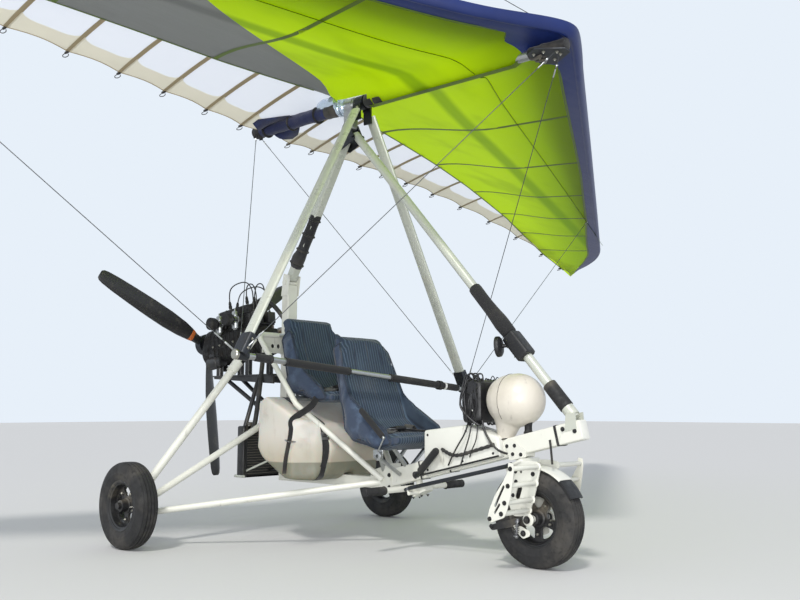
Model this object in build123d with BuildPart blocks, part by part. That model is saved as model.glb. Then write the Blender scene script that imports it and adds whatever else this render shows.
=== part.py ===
from build123d import *
import os
from math import cos, hypot, pi, radians, sin, tan

# Two-seat flex-wing microlight trike, parked on its wheels, in millimetres.
# X points forward to the nose wheel, Y to the left and Z up. The floor is Z = 0.
# The drawing is made from the point midway between the rear wheels, and each
# finished piece is then moved by ROW_SHIFT, which centres the outline's box.

os.makedirs("parts", exist_ok=True)

# Driving dimensions
TRACK = 1794.0
WHEELBASE = 1737.0
WHEEL_R = 205.0
TYRE_W = 104.0
RIM_R = 108.0
AXLE_R = 10.0
RUNNING_GAP = 0.05
SEAT_GAP = 0.3
SLEEVE_GAP = 0.1
HANG_X = 585.0
HANG_Z = 2155.0
KEEL_RISE = 115.0
WING_ROLL = -4.5
WING_PITCH = 1.5
MAST_X = 100.0
MAST_KNEE_Z = 1365.0
HALF_SPAN = 4950.0
SWEEP = 29.0
NOSE_REACH = 1370.0
ROOT_CHORD = 2055.0
BAR_DROP = 1437.0
BAR_REACH = 275.0
BAR_HALF = 776.0
SEAT_WIDTH = 440.0
PROP_R = 790.0
PROP_TILT = 7.0
STEER_RAKE = 25.0
HALF_TRACK = TRACK / 2


def plane_along(start, end, side=(0, 1, 0)):
    """A plane at start that faces end, with its own X along side."""
    reach = Vector(*end) - Vector(*start)
    across = Vector(*side)
    across = across - reach * (across.dot(reach) / reach.dot(reach))
    if across.length < 1e-6:
        across = Vector(1, 0, 0)
    return Plane(origin=start, x_dir=across, z_dir=reach)


def span(start, end):
    """The distance between two points."""
    return (Vector(*end) - Vector(*start)).length


def between(start, end, share):
    """The point that lies the given share of the way from start to end."""
    return tuple(a + (b - a) * share for a, b in zip(start, end))


def rod(start, end, radius, bore=0.0, mode=Mode.ADD):
    """A straight round bar or tube from start to end."""
    with BuildSketch(plane_along(start, end)) as section:
        Circle(radius)
        if bore:
            Circle(bore, mode=Mode.SUBTRACT)
    extrude(section.sketch, amount=span(start, end), mode=mode)


def box_bar(start, end, width, height, corner=6.0, mode=Mode.ADD):
    """A straight bar of rounded box section; width lies along Y."""
    with BuildSketch(plane_along(start, end)) as section:
        RectangleRounded(width, height, corner)
    extrude(section.sketch, amount=span(start, end), mode=mode)


def side_plate(points, y_low, y_high, holes=(), mode=Mode.ADD):
    """A plate whose outline is drawn in X and Z, from y_low to y_high; holes are (x, z, radius)."""
    with BuildSketch(Plane.XZ.offset(-y_low)) as outline:
        with BuildLine():
            Polyline(*points, close=True)
        make_face()
        for hole_x, hole_z, hole_r in holes:
            with Locations((hole_x, hole_z)):
                Circle(hole_r, mode=Mode.SUBTRACT)
    extrude(outline.sketch, amount=-(y_high - y_low), mode=mode)


def ahead_of_nose(table):
    """A table whose first column is measured ahead of the nose wheel's axle, in the drawing's X."""
    return [(WHEELBASE + ahead, *rest) for ahead, *rest in table]


def flat_sided(sections):
    """A solid through the sections, with a pair of flat triangles from each edge to the next section's."""
    sides = []
    for near, far in zip(sections, sections[1:]):
        for a, b, c, d in zip(near, near[1:] + near[:1], far[1:] + far[:1], far):
            sides.append(Face(Wire.make_polygon([a, b, c])))
            sides.append(Face(Wire.make_polygon([a, c, d])))
    for end in (sections[0][::-1], sections[-1]):
        sides.append(Face(Wire.make_polygon(end)))
    return Solid(Shell(sides)).fix()


pieces = {}


def keep(name, solid, place=None):
    """Remember a finished piece under its node name, at its place."""
    pieces[name] = place * solid if place else solid


def cut(solid, *tools):
    """The solid with each tool taken away."""
    with BuildPart() as trimmed:
        add(solid)
        for tool in tools:
            add(tool, mode=Mode.SUBTRACT)
    return trimmed.part


def join(*solids):
    """The solids as one part: those that touch are fused."""
    with BuildPart() as joined:
        for solid in solids:
            add(solid)
    return joined.part


# Wheels
# Each is drawn about its own centre, with the axle along Y.
TYRE_HALF = TYRE_W / 2
BEAD_HALF = 40.0
SHOULDER_R = WHEEL_R - 22
WHEEL_BELLY_R = (RIM_R + WHEEL_R) / 2
FLANGE_R = RIM_R + 11
FLANGE_T = 5.0
RIM_WALL = 10.0
WEB_T = 16.0
HUB_HALF = 44.0
HUB_R = 30.0
TYRE_PROFILE = [
    # radius and half width, from the bead to the crown
    (RIM_R + SEAT_GAP, BEAD_HALF), (FLANGE_R + 2, BEAD_HALF), (WHEEL_BELLY_R, TYRE_HALF),
    (SHOULDER_R, TYRE_HALF - 8), (WHEEL_R, 20)]
WHEEL_SPOKES = 5

with BuildPart() as tyre:
    with BuildSketch(Plane.XY) as tyre_section:
        with BuildLine():
            Polyline(*TYRE_PROFILE, *[(r, -y) for r, y in TYRE_PROFILE[::-1]], close=True)
        make_face()
    revolve(axis=Axis.Y)

with BuildPart() as rim:
    with BuildSketch(Plane.XY) as barrel_section:
        with Locations((RIM_R - RIM_WALL / 2, 0)):
            Rectangle(RIM_WALL, 2 * BEAD_HALF + 2 * SEAT_GAP)
        for flange_side in (-1, 1):
            flange_y = flange_side * (BEAD_HALF + SEAT_GAP + FLANGE_T / 2)
            with Locations(((RIM_R - RIM_WALL + FLANGE_R) / 2, flange_y)):
                Rectangle(FLANGE_R - RIM_R + RIM_WALL, FLANGE_T)
    revolve(axis=Axis.Y)
    with BuildSketch(Plane.XZ.offset(-WEB_T / 2)) as web_face:
        Circle(RIM_R - 6)
        with PolarLocations(0.5 * (HUB_R + RIM_R) + 1, WHEEL_SPOKES):
            SlotOverall(50, 34, rotation=90)
    extrude(web_face.sketch, amount=WEB_T)
    with BuildSketch(Plane.XZ.offset(-HUB_HALF)) as hub_face:
        Circle(HUB_R)
    extrude(hub_face.sketch, amount=2 * HUB_HALF)
    with BuildSketch(Plane.XZ.offset(-HUB_HALF)) as hub_bore:
        Circle(AXLE_R + RUNNING_GAP)
    extrude(hub_bore.sketch, amount=2 * HUB_HALF, mode=Mode.SUBTRACT)

# Rear knuckles, with the stub axle and its nut, and the three struts on each
KNUCKLE_Y = HALF_TRACK - HUB_HALF - 30
KNUCKLE_LOW = 132.0
KNUCKLE_HIGH = 312.0
NUT_W = 14.0
GEAR_STRUT_R = 20.0
AXLE_STRUT_R = 17.0
DRAG_STRUT_R = 15.0
FRAME_CORNER = (152.0, 255.0, 1056.0)
FRAME_TUBE_R = 14.0
MAST_W = 70.0
MAST_D = 56.0
KEEL_BOX_W = 60.0
KEEL_BOX_H = 56.0
KEEL_BOX_Z = 305.0
JUNCTION_X = 845.0


def across(point, side):
    """The point on the given side: 1 is left, -1 is right."""
    return (point[0], side * point[1], point[2])


STRUT_ENDS = {
    # strut: (point at the knuckle, point at the frame, radius)
    "gear_strut": ((0, KNUCKLE_Y, 268), (152, 270, 1028), GEAR_STRUT_R),
    "axle_strut": ((0, KNUCKLE_Y, 206), (92, 20, 652), AXLE_STRUT_R),
    "drag_strut": ((8, KNUCKLE_Y, 162), (856, 10, 312), DRAG_STRUT_R),
}

gear_pairs = {"rear_knuckles": [], "gear_struts": [], "axle_struts": [], "drag_struts": []}
for side in (1, -1):
    with BuildPart() as knuckle:
        side_plate([(-27, KNUCKLE_LOW), (27, KNUCKLE_LOW), (27, KNUCKLE_HIGH - 30),
                    (18, KNUCKLE_HIGH), (-18, KNUCKLE_HIGH), (-27, KNUCKLE_HIGH - 30)],
                   side * KNUCKLE_Y - 17, side * KNUCKLE_Y + 17)
        hub_inner = side * (HALF_TRACK - HUB_HALF - 0.5)
        hub_outer = side * (HALF_TRACK + HUB_HALF + 0.5)
        rod((0, side * KNUCKLE_Y, WHEEL_R), (0, hub_inner, WHEEL_R), 17)
        rod((0, side * KNUCKLE_Y, WHEEL_R), (0, hub_outer + side * NUT_W, WHEEL_R), AXLE_R)
        rod((0, hub_outer, WHEEL_R), (0, hub_outer + side * NUT_W, WHEEL_R), 16)
    gear_pairs["rear_knuckles"].append(knuckle.part)

    foot, head, strut_r = STRUT_ENDS["gear_strut"]
    foot, head = across(foot, side), across(head, side)
    with BuildPart() as gear_strut:
        rod(foot, between(foot, head, 0.80), strut_r)
        rod(between(foot, head, 0.77), between(foot, head, 0.84), strut_r + 7)
        rod(between(foot, head, 0.82), head, 11)
        add(knuckle.part, mode=Mode.SUBTRACT)
    gear_pairs["gear_struts"].append(gear_strut.part)

    foot, head, strut_r = STRUT_ENDS["axle_strut"]
    with BuildPart() as axle_strut:
        rod(across(foot, side), across(head, side), strut_r)
        add(knuckle.part, mode=Mode.SUBTRACT)
    gear_pairs["axle_struts"].append(axle_strut.part)

    foot, head, strut_r = STRUT_ENDS["drag_strut"]
    with BuildPart() as drag_strut:
        rod(across(foot, side), across(head, side), strut_r)
        add(knuckle.part, mode=Mode.SUBTRACT)
    gear_pairs["drag_struts"].append(drag_strut.part)

keep("rear_knuckles", join(*gear_pairs["rear_knuckles"]))

for side, hand in ((1, "left"), (-1, "right")):
    keep(f"rear_rim_{hand}", rim.part, Pos(0, side * HALF_TRACK, WHEEL_R))
    keep(f"rear_tyre_{hand}", tyre.part, Pos(0, side * HALF_TRACK, WHEEL_R))
keep("nose_rim", rim.part, Pos(WHEELBASE, 0, WHEEL_R))
keep("nose_tyre", tyre.part, Pos(WHEELBASE, 0, WHEEL_R))

# Fuselage
# The beam runs up and forward from the junction; a level tube runs back under
# the tank to the foot of the mast.
BEAM_W = 60.0
BEAM_H = 82.0
BEAM_SLOPE = 13.1
BEAM_NOSE_X = WHEELBASE + 228
BEAM_LOW_Z = 357.0
BEAM_LOW_X = 1195.0
BEAM_WALL = 4.0
TOW_BORE_R = 6.0


def beam_z(x, above=0.0):
    """Height of the beam's underside at x, or of a line that far above it."""
    return BEAM_LOW_Z + (x - BEAM_LOW_X) * tan(radians(BEAM_SLOPE)) + above / cos(radians(BEAM_SLOPE))


BEAM_REAR = (JUNCTION_X - 15, 0, beam_z(JUNCTION_X - 15, BEAM_H / 2))
BEAM_NOSE = (BEAM_NOSE_X, 0, beam_z(BEAM_NOSE_X, BEAM_H / 2))
TOW_BORE = (BEAM_NOSE_X - 30, 0, beam_z(BEAM_NOSE_X - 30, BEAM_H / 2))

with BuildPart() as beam_block:
    box_bar(BEAM_REAR, BEAM_NOSE, BEAM_W, BEAM_H)

with BuildPart() as beam:
    add(beam_block.part)
    box_bar(BEAM_REAR, between(BEAM_REAR, BEAM_NOSE, 1.01), BEAM_W - 2 * BEAM_WALL,
            BEAM_H - 2 * BEAM_WALL, mode=Mode.SUBTRACT)
    rod((TOW_BORE[0], -BEAM_W, TOW_BORE[2]), (TOW_BORE[0], BEAM_W, TOW_BORE[2]), TOW_BORE_R,
        mode=Mode.SUBTRACT)
keep("beam", beam.part)

with BuildPart() as keel_box:
    box_bar((MAST_X - MAST_D / 2, 0, KEEL_BOX_Z), (BEAM_REAR[0] - 12, 0, KEEL_BOX_Z),
            KEEL_BOX_W, KEEL_BOX_H)

JUNCTION_BACK = JUNCTION_X - 65
with BuildPart() as junction:
    side_plate([(JUNCTION_BACK, 268), (JUNCTION_X + 70, 262), (JUNCTION_X + 70, 400), (JUNCTION_BACK, 360)],
               -36, 36)
    add(keel_box.part, mode=Mode.SUBTRACT)
    add(beam_block.part, mode=Mode.SUBTRACT)
keep("rear_keel_box", join(keel_box.part, junction.part))

MAST_FOOT_Z = KEEL_BOX_Z + KEEL_BOX_H / 2
MAST_KNEE = (MAST_X + 10, 0, MAST_KNEE_Z)
MAST_TOP = (HANG_X - 40, 0, HANG_Z - 72)
with BuildPart() as lower_mast:
    box_bar((MAST_X, 0, MAST_FOOT_Z), (MAST_KNEE[0] - 2, 0, MAST_KNEE_Z - 22), MAST_W, MAST_D, 8)

with BuildPart() as upper_mast:
    box_bar(between(MAST_KNEE, MAST_TOP, 0.02), MAST_TOP, 50, 44, 8)
keep("upper_mast", upper_mast.part)

with BuildPart() as mast_knee:
    rod((MAST_KNEE[0] - 2, -44, MAST_KNEE_Z - 6), (MAST_KNEE[0] - 2, 44, MAST_KNEE_Z - 6), 15)
    for cheek in (-1, 1):
        side_plate([(MAST_KNEE[0] - 30, MAST_KNEE_Z - 80), (MAST_KNEE[0] + 26, MAST_KNEE_Z - 80),
                    (MAST_KNEE[0] + 42, MAST_KNEE_Z + 30), (MAST_KNEE[0] - 10, MAST_KNEE_Z + 44)],
                   *sorted((cheek * MAST_W / 2, cheek * (MAST_W / 2 + 5))))
    add(lower_mast.part, mode=Mode.SUBTRACT)
    add(upper_mast.part, mode=Mode.SUBTRACT)
keep("lower_mast", cut(join(lower_mast.part, mast_knee.part), keel_box.part))

COVER_LOW = 0.10
COVER_HIGH = 0.49
with BuildPart() as mast_cover:
    box_bar(between(MAST_KNEE, MAST_TOP, COVER_LOW), between(MAST_KNEE, MAST_TOP, COVER_HIGH), 66, 60, 16)
    box_bar(MAST_KNEE, MAST_TOP, 50 + SEAT_GAP, 44 + SEAT_GAP, 8, mode=Mode.SUBTRACT)

# Hang point: cheek plates on the mast's head, and the front strut
HANG = (HANG_X, 0, HANG_Z)
STRUT_HEAD = (HANG_X + 48, 0, HANG_Z - 62)
STRUT_FOOT = (BEAM_NOSE_X - 40, 0, beam_z(BEAM_NOSE_X - 40, BEAM_H) + 14)
CHEEK_IN = 31.0
CHEEK_OUT = 36.0
with BuildPart() as mast_head:
    for cheek in (-1, 1):
        with BuildSketch(Plane.XZ.offset(-min(cheek * CHEEK_IN, cheek * CHEEK_OUT))) as cheek_face:
            with BuildLine():
                Polyline((HANG_X - 24, HANG_Z + 4), (HANG_X - 80, HANG_Z - 110), (HANG_X - 40, HANG_Z - 128),
                         (HANG_X + 68, HANG_Z - 84), (HANG_X + 24, HANG_Z + 6), (HANG_X, HANG_Z + 24),
                         close=True)
            make_face()
            fillet(cheek_face.vertices(), 10)
        extrude(cheek_face.sketch, amount=-(CHEEK_OUT - CHEEK_IN))
    rod((HANG_X, -44, HANG_Z), (HANG_X, 44, HANG_Z), 8)
    rod((STRUT_HEAD[0], -42, STRUT_HEAD[2]), (STRUT_HEAD[0], 42, STRUT_HEAD[2]), 6)
    mast_bolt = (MAST_TOP[0] - 8, MAST_TOP[2] - 18)
    rod((mast_bolt[0], -42, mast_bolt[1]), (mast_bolt[0], 42, mast_bolt[1]), 6)
    for bolt_x, bolt_z in ((HANG_X, HANG_Z), (STRUT_HEAD[0], STRUT_HEAD[2]), mast_bolt):
        for cheek in (-1, 1):
            rod((bolt_x, cheek * CHEEK_OUT, bolt_z), (bolt_x, cheek * (CHEEK_OUT + 8), bolt_z), 12)
keep("mast_head", mast_head.part)
pieces["upper_mast"] = cut(upper_mast.part, mast_head.part, pieces["lower_mast"])

FRONT_STRUT_R = 22.0
with BuildPart() as front_strut:
    rod(between(STRUT_HEAD, STRUT_FOOT, -0.006), STRUT_FOOT, FRONT_STRUT_R)
    add(mast_head.part, mode=Mode.SUBTRACT)
    add(beam_block.part, mode=Mode.SUBTRACT)

with BuildPart() as strut_foot:
    rod(between(STRUT_HEAD, STRUT_FOOT, 0.93), between(STRUT_HEAD, STRUT_FOOT, 0.995), FRONT_STRUT_R + 6)
    for ear in (-1, 1):
        ear_face = [(STRUT_FOOT[0] + ahead, beam_z(STRUT_FOOT[0] + ahead, BEAM_H) + rise)
                    for ahead, rise in ((-30, -34), (25, -34), (19, 34), (-25, 34))]
        side_plate(ear_face, *sorted((ear * 26, ear * 34)))
    add(front_strut.part, mode=Mode.SUBTRACT)
    add(beam_block.part, mode=Mode.SUBTRACT)
keep("front_strut", join(front_strut.part, strut_foot.part))

FOAM_R = 30.0
with BuildPart() as strut_foam:
    rod(between(STRUT_HEAD, STRUT_FOOT, 0.60), between(STRUT_HEAD, STRUT_FOOT, 0.745), FOAM_R,
        FRONT_STRUT_R + SEAT_GAP)
keep("foam_covers", join(mast_cover.part, strut_foam.part))

MIRROR_STEM = between(STRUT_HEAD, STRUT_FOOT, 0.78)
MIRROR = (MIRROR_STEM[0] - 56, -38.0, MIRROR_STEM[2] - 13)
with BuildPart() as mirror_clamp:
    rod(between(STRUT_HEAD, STRUT_FOOT, 0.755), between(STRUT_HEAD, STRUT_FOOT, 0.82), 40)
    rod(MIRROR_STEM, MIRROR, 9)
    rod(MIRROR, (MIRROR[0] - 22, MIRROR[1] - 8, MIRROR[2] - 2), 46)
    rod(STRUT_HEAD, STRUT_FOOT, FRONT_STRUT_R + SEAT_GAP, mode=Mode.SUBTRACT)
keep("mirror_clamp", mirror_clamp.part)

# Seat and engine frame: one bent tube, from the junction over the rear seat
FRAME_KNEE = (477.0, 262.0, 686.0)
FRAME_FOOT = (868.0, 45.0, 322.0)
with BuildPart() as seat_frame:
    with BuildLine() as frame_path:
        FilletPolyline(across(FRAME_FOOT, -1), across(FRAME_KNEE, -1), across(FRAME_CORNER, -1),
                       across(FRAME_CORNER, 1), across(FRAME_KNEE, 1), across(FRAME_FOOT, 1), radius=45)
    with BuildSketch(plane_along(across(FRAME_FOOT, -1), across(FRAME_KNEE, -1))):
        Circle(FRAME_TUBE_R)
    sweep()

keep("gear_struts", cut(join(*gear_pairs["gear_struts"]), seat_frame.part))
keep("axle_struts", cut(join(*gear_pairs["axle_struts"]), pieces["lower_mast"]))
keep("drag_struts", cut(join(*gear_pairs["drag_struts"]), pieces["rear_keel_box"], beam_block.part))

with BuildPart() as frame_gusset:
    with BuildSketch(Plane.YZ.offset(FRAME_CORNER[0] - 6)) as gusset_face:
        with Locations((0, FRAME_CORNER[2] - FRAME_TUBE_R - 40)):
            Rectangle(440, 84)
        with Locations((-150, 998), (-110, 998), (-70, 998), (70, 998), (110, 998), (150, 998)):
            Circle(12, mode=Mode.SUBTRACT)
        with Locations((0, 1000)):
            Rectangle(MAST_W - 10, 200, mode=Mode.SUBTRACT)
    extrude(gusset_face.sketch, amount=5)
    for side in (-1, 1):
        side_plate([(MAST_X - 20, 960), (FRAME_CORNER[0] - 1, 960), (FRAME_CORNER[0] - 1, 1042),
                    (MAST_X - 20, 1042)], *sorted((side * MAST_W / 2, side * (MAST_W / 2 + 4))))
    add(pieces["gear_struts"], mode=Mode.SUBTRACT)
keep("seat_frame", cut(join(seat_frame.part, frame_gusset.part), pieces["rear_keel_box"],
                       pieces["drag_struts"], pieces["lower_mast"]))

# Fuel tank, with a tunnel for the level tube and two straps
TANK_HALF = 318.0
TANK_SIDE = [(237, 463), (246, 700), (300, 727), (527, 622), (600, 588), (640, 470), (610, 345), (560, 308),
             (446, 322), (279, 414)]
with BuildPart() as fuel_tank:
    side_plate(TANK_SIDE, -TANK_HALF, TANK_HALF)
    with BuildSketch(Plane.XY.offset(250)) as tank_plan:
        with BuildLine():
            Polyline((200, -TANK_HALF), (500, -TANK_HALF), (640, -150), (640, 150), (500, TANK_HALF),
                     (200, TANK_HALF), close=True)
        make_face()
    extrude(tank_plan.sketch, amount=520, mode=Mode.INTERSECT)
    chamfer(fuel_tank.edges(), 12)
    box_bar((200, 0, KEEL_BOX_Z), (700, 0, KEEL_BOX_Z), KEEL_BOX_W + 4, KEEL_BOX_H + 4, mode=Mode.SUBTRACT)
keep("fuel_tank", cut(fuel_tank.part, pieces["seat_frame"]))

STRAP_T = 3.0
STRAP_W = 38.0
with BuildPart() as tank_straps:
    for strap_y in (-190, 190):
        side_plate([(237 - STRAP_T, 463), (246 - STRAP_T, 702), (300, 727 + STRAP_T), (527, 622 + STRAP_T),
                    (602, 590), (640 + STRAP_T, 470), (611, 343), (560, 308 - STRAP_T), (446, 322 - STRAP_T),
                    (279, 414 - STRAP_T)], strap_y - STRAP_W / 2, strap_y + STRAP_W / 2)
    add(fuel_tank.part, mode=Mode.SUBTRACT)
    with BuildSketch(Plane.XY.offset(KEEL_BOX_Z)) as strap_trim:
        with Locations((440, 0)):
            Rectangle(600, 2 * STRAP_W)
    extrude(strap_trim.sketch, amount=10, both=True, mode=Mode.SUBTRACT)
keep("tank_straps", cut(tank_straps.part, pieces["seat_frame"]))

# Bucket seats: a padded shell with a side wing along each edge
SEAT_HALF = SEAT_WIDTH / 2
WING_T = 26.0
SEAT_TABLE = {
    # seat: pad outline and side wing outline, each of (x, z)
    "front_seat": (
        [(612, 1040), (655, 900), (722, 700), (770, 560), (830, 505), (990, 473), (1135, 508),
         (1135, 550), (1000, 535), (890, 548), (815, 615), (745, 800), (684, 1030), (650, 1048)],
        [(640, 950), (722, 700), (770, 560), (830, 505), (990, 473), (1080, 495), (1040, 590), (880, 690),
         (800, 745), (758, 820), (712, 950)]),
    "rear_seat": (
        [(222, 1150), (270, 980), (340, 800), (392, 742), (450, 728), (560, 700), (690, 706),
         (690, 742), (560, 738), (462, 762), (408, 825), (335, 1000), (292, 1150), (256, 1165)],
        [(262, 1010), (340, 800), (392, 742), (450, 728), (560, 700), (640, 703), (610, 785), (500, 860),
         (440, 910), (376, 1040), (330, 1060)]),
}
for seat_name, (pad_outline, wing_outline) in SEAT_TABLE.items():
    with BuildPart() as seat:
        side_plate(pad_outline, -SEAT_HALF + WING_T, SEAT_HALF - WING_T)
        for side in (-1, 1):
            side_plate(wing_outline, *sorted((side * (SEAT_HALF - WING_T), side * SEAT_HALF)))
        add(seat_frame.part, mode=Mode.SUBTRACT)
    keep(seat_name, seat.part)

with BuildPart() as seat_mount:
    rod((450, -FRAME_CORNER[1], 716), (450, FRAME_CORNER[1], 716), 12)
    for side in (-1, 1):
        rod((FRAME_CORNER[0], side * 110, FRAME_CORNER[2]), (270, side * 110, FRAME_CORNER[2]), 9)
        rod((860, side * 26, beam_z(860, BEAM_H)), (900, side * 120, 500), 10)
        rod((1000, side * 26, beam_z(1000, BEAM_H)), (1010, side * 120, 482), 10)
    for carrier in (pieces["front_seat"], pieces["rear_seat"], seat_frame.part, junction.part,
                    beam_block.part):
        add(carrier, mode=Mode.SUBTRACT)
keep("seat_mount", seat_mount.part)

# Console, instrument pod and panel on the beam
POD_X = WHEELBASE - 115
POD_Z = 700.0
POD_NECK_Z = POD_Z - 120
POD_PROFILE = [
    # distance ahead of the pod's middle, and radius
    (-120, 104), (-40, 127), (36, 138), (90, 120), (130, 80), (150, 34), (156, 0)]
with BuildPart() as pod:
    with BuildSketch(Plane.XZ) as pod_section:
        with BuildLine():
            Polyline((POD_X + POD_PROFILE[-1][0], POD_Z), (POD_X + POD_PROFILE[0][0], POD_Z),
                     *[(POD_X + ahead, POD_Z + radius) for ahead, radius in POD_PROFILE], close=True)
        make_face()
    revolve(axis=Axis((POD_X, 0, POD_Z), (1, 0, 0)))
    rod((POD_X - 20, 0, POD_NECK_Z), (POD_X - 45, 0, beam_z(POD_X - 45, BEAM_H)), 42)
    rod((POD_X + 70, 0, POD_NECK_Z + 10), (POD_X + 70, 0, beam_z(POD_X + 70, BEAM_H) - 4), 14)
    box_bar(BEAM_REAR, BEAM_NOSE, 4 * BEAM_W, BEAM_H, mode=Mode.SUBTRACT)
keep("instrument_pod", pod.part)

PANEL_T = 92.0
PANEL_X = POD_X + POD_PROFILE[0][0] - PANEL_T
with BuildPart() as panel:
    with BuildSketch(Plane.YZ.offset(PANEL_X)) as panel_face:
        with Locations((0, POD_Z - 4)):
            RectangleRounded(196, 190, 24)
    extrude(panel_face.sketch, amount=PANEL_T)
    with BuildSketch(Plane.YZ.offset(PANEL_X)) as dials:
        with Locations((-50, POD_Z + 40), (50, POD_Z + 40), (-50, POD_Z - 50), (50, POD_Z - 50)):
            Circle(38)
    extrude(dials.sketch, amount=-10)
keep("instrument_panel", panel.part)

CONSOLE_BACK = 1150.0
CONSOLE_HALF = 64.0
with BuildPart() as console:
    side_plate([(CONSOLE_BACK, beam_z(CONSOLE_BACK, 8)), (POD_X - 32, beam_z(POD_X - 32, 8)),
                (POD_X - 47, beam_z(POD_X - 47, BEAM_H + 14)), (POD_X - 222, beam_z(POD_X - 222, 182)),
                (CONSOLE_BACK, beam_z(CONSOLE_BACK, 211))], -CONSOLE_HALF, CONSOLE_HALF)
    add(beam_block.part, mode=Mode.SUBTRACT)
    add(panel.part, mode=Mode.SUBTRACT)
    add(pod.part, mode=Mode.SUBTRACT)
keep("console", console.part)

with BuildPart() as lever:
    rod((1120, -86, 350), (1262, -98, 480), 17)
    rod((1120, -BEAM_W / 2, 360), (1120, -86, 360), 9)
keep("hand_lever", lever.part)

# Steering: the fork turns on a raked axis, and a rod links it to the rear foot bar
RAKE = radians(STEER_RAKE)
STEER_X = WHEELBASE - 82
STEER_PIVOT = (STEER_X, 0.0, beam_z(STEER_X) - 26)
STEER_AXIS = (-sin(RAKE), 0.0, cos(RAKE))


def on_steer_axis(up, out=0.0, ahead=0.0, pivot=STEER_PIVOT):
    """A point measured up the steering axis, out to the left and ahead of it."""
    return (pivot[0] - up * sin(RAKE) + ahead * cos(RAKE), out, pivot[2] + up * cos(RAKE) + ahead * sin(RAKE))


HEAD_SIDE = [
    # distance ahead of the steering pivot, height above the beam's underside
    (-67, 70), (-27, 76), (45, 12), (45, -16), (-35, -14)]
with BuildPart() as steering_head:
    for cheek in (-1, 1):
        side_plate([(STEER_X + ahead, beam_z(STEER_X + ahead) + rise) for ahead, rise in HEAD_SIDE],
                   *sorted((cheek * 30.5, cheek * 35)))
    side_plate([(STEER_X + ahead, beam_z(STEER_X + ahead) + rise)
                for ahead, rise in ((-43, 0), (-43, -12), (45, -12), (45, 0))], -35, 35)

FORK_IN = 62.0
FORK_OUT = 70.0
FORK_SIDE = [
    # distance ahead of the nose wheel's axle, height over the floor
    (-115, 405), (-37, 446), (23, 420), (-7, 300), (-47, 215), (-177, 150), (-225, 160), (-217, 200),
    (-167, 300)]
FORK_HOLES = [
    # distance ahead of the axle, height, radius
    (-47, 405, 14), (-62, 352, 12), (-112, 340, 10), (-92, 290, 14), (-150, 262, 12), (-110, 228, 13),
    (-180, 190, 10)]
FORK_BRACE = [(-202, 160), (-177, 142), (25, 188), (25, 226), (-17, 230)]
with BuildPart() as fork:
    with BuildSketch(Plane(origin=on_steer_axis(-30), x_dir=(0, 1, 0), z_dir=STEER_AXIS)) as crown:
        RectangleRounded(2 * FORK_OUT, 96, 12)
    extrude(crown.sketch, amount=28)
    for cheek in (-1, 1):
        side_plate(ahead_of_nose(FORK_SIDE), *sorted((cheek * FORK_IN, cheek * FORK_OUT)),
                   holes=ahead_of_nose(FORK_HOLES))
        rod((WHEELBASE, cheek * (HUB_HALF + 0.5), WHEEL_R), (WHEELBASE, cheek * FORK_IN, WHEEL_R), 16)
        side_plate(ahead_of_nose(FORK_BRACE), *sorted((cheek * FORK_IN, cheek * (FORK_IN + 12))))
    rod((WHEELBASE, -FORK_OUT - 18, WHEEL_R), (WHEELBASE, FORK_OUT + 18, WHEEL_R), AXLE_R)
    for peg_end in (-1, 1):
        rod((WHEELBASE, peg_end * FORK_OUT, WHEEL_R), (WHEELBASE, peg_end * (FORK_OUT + 18), WHEEL_R), 15)

PEG_OUT = 272.0
PEG_R = 11.0
PEG_TABLE = [
    # distance of each foot peg ahead of the axle, height
    (35, 428), (27, 368), (15, 308), (1, 262)]
PEG_PLATE = [(53, 448), (13, 452), (-9, 330), (-47, 250), (-65, 196), (-37, 186), (15, 240), (41, 330)]
PEG_PLATE_HOLES = [(25, 398, 8), (15, 338, 8), (-21, 232, 8), (-43, 206, 7)]
PEG_ROOT = [(55, 448), (15, 452), (-15, 262), (15, 248)]
with BuildPart() as pegs:
    for side in (-1, 1):
        for peg_x, peg_z in ahead_of_nose(PEG_TABLE):
            rod((peg_x, side * FORK_OUT, peg_z), (peg_x, side * PEG_OUT, peg_z), PEG_R)
        side_plate(ahead_of_nose(PEG_PLATE), *sorted((side * PEG_OUT, side * (PEG_OUT + 5))),
                   holes=ahead_of_nose(PEG_PLATE_HOLES))
        side_plate(ahead_of_nose(PEG_ROOT), *sorted((side * FORK_OUT, side * (FORK_OUT + 5))))
keep("foot_pegs", pegs.part)

GUARD_R = WHEEL_R + 8
with BuildPart() as mudguard:
    with BuildSketch(Plane.XZ.offset(-46)) as guard_face:
        with Locations((WHEELBASE, WHEEL_R)):
            Circle(GUARD_R + 3)
            Circle(GUARD_R, mode=Mode.SUBTRACT)
        with Locations((WHEELBASE, WHEEL_R - 400 + 95)):
            Rectangle(800, 800, mode=Mode.SUBTRACT)
    extrude(guard_face.sketch, amount=92)
    for side in (-1, 1):
        side_plate([(WHEELBASE - 12, WHEEL_R + GUARD_R), (WHEELBASE + 12, WHEEL_R + GUARD_R),
                    (WHEELBASE + 12, WHEEL_R + GUARD_R + 3), (WHEELBASE - 12, WHEEL_R + GUARD_R + 3)],
                   *sorted((side * 46, side * FORK_IN)))
    add(fork.part, mode=Mode.SUBTRACT)
keep("mudguard", mudguard.part)

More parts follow.
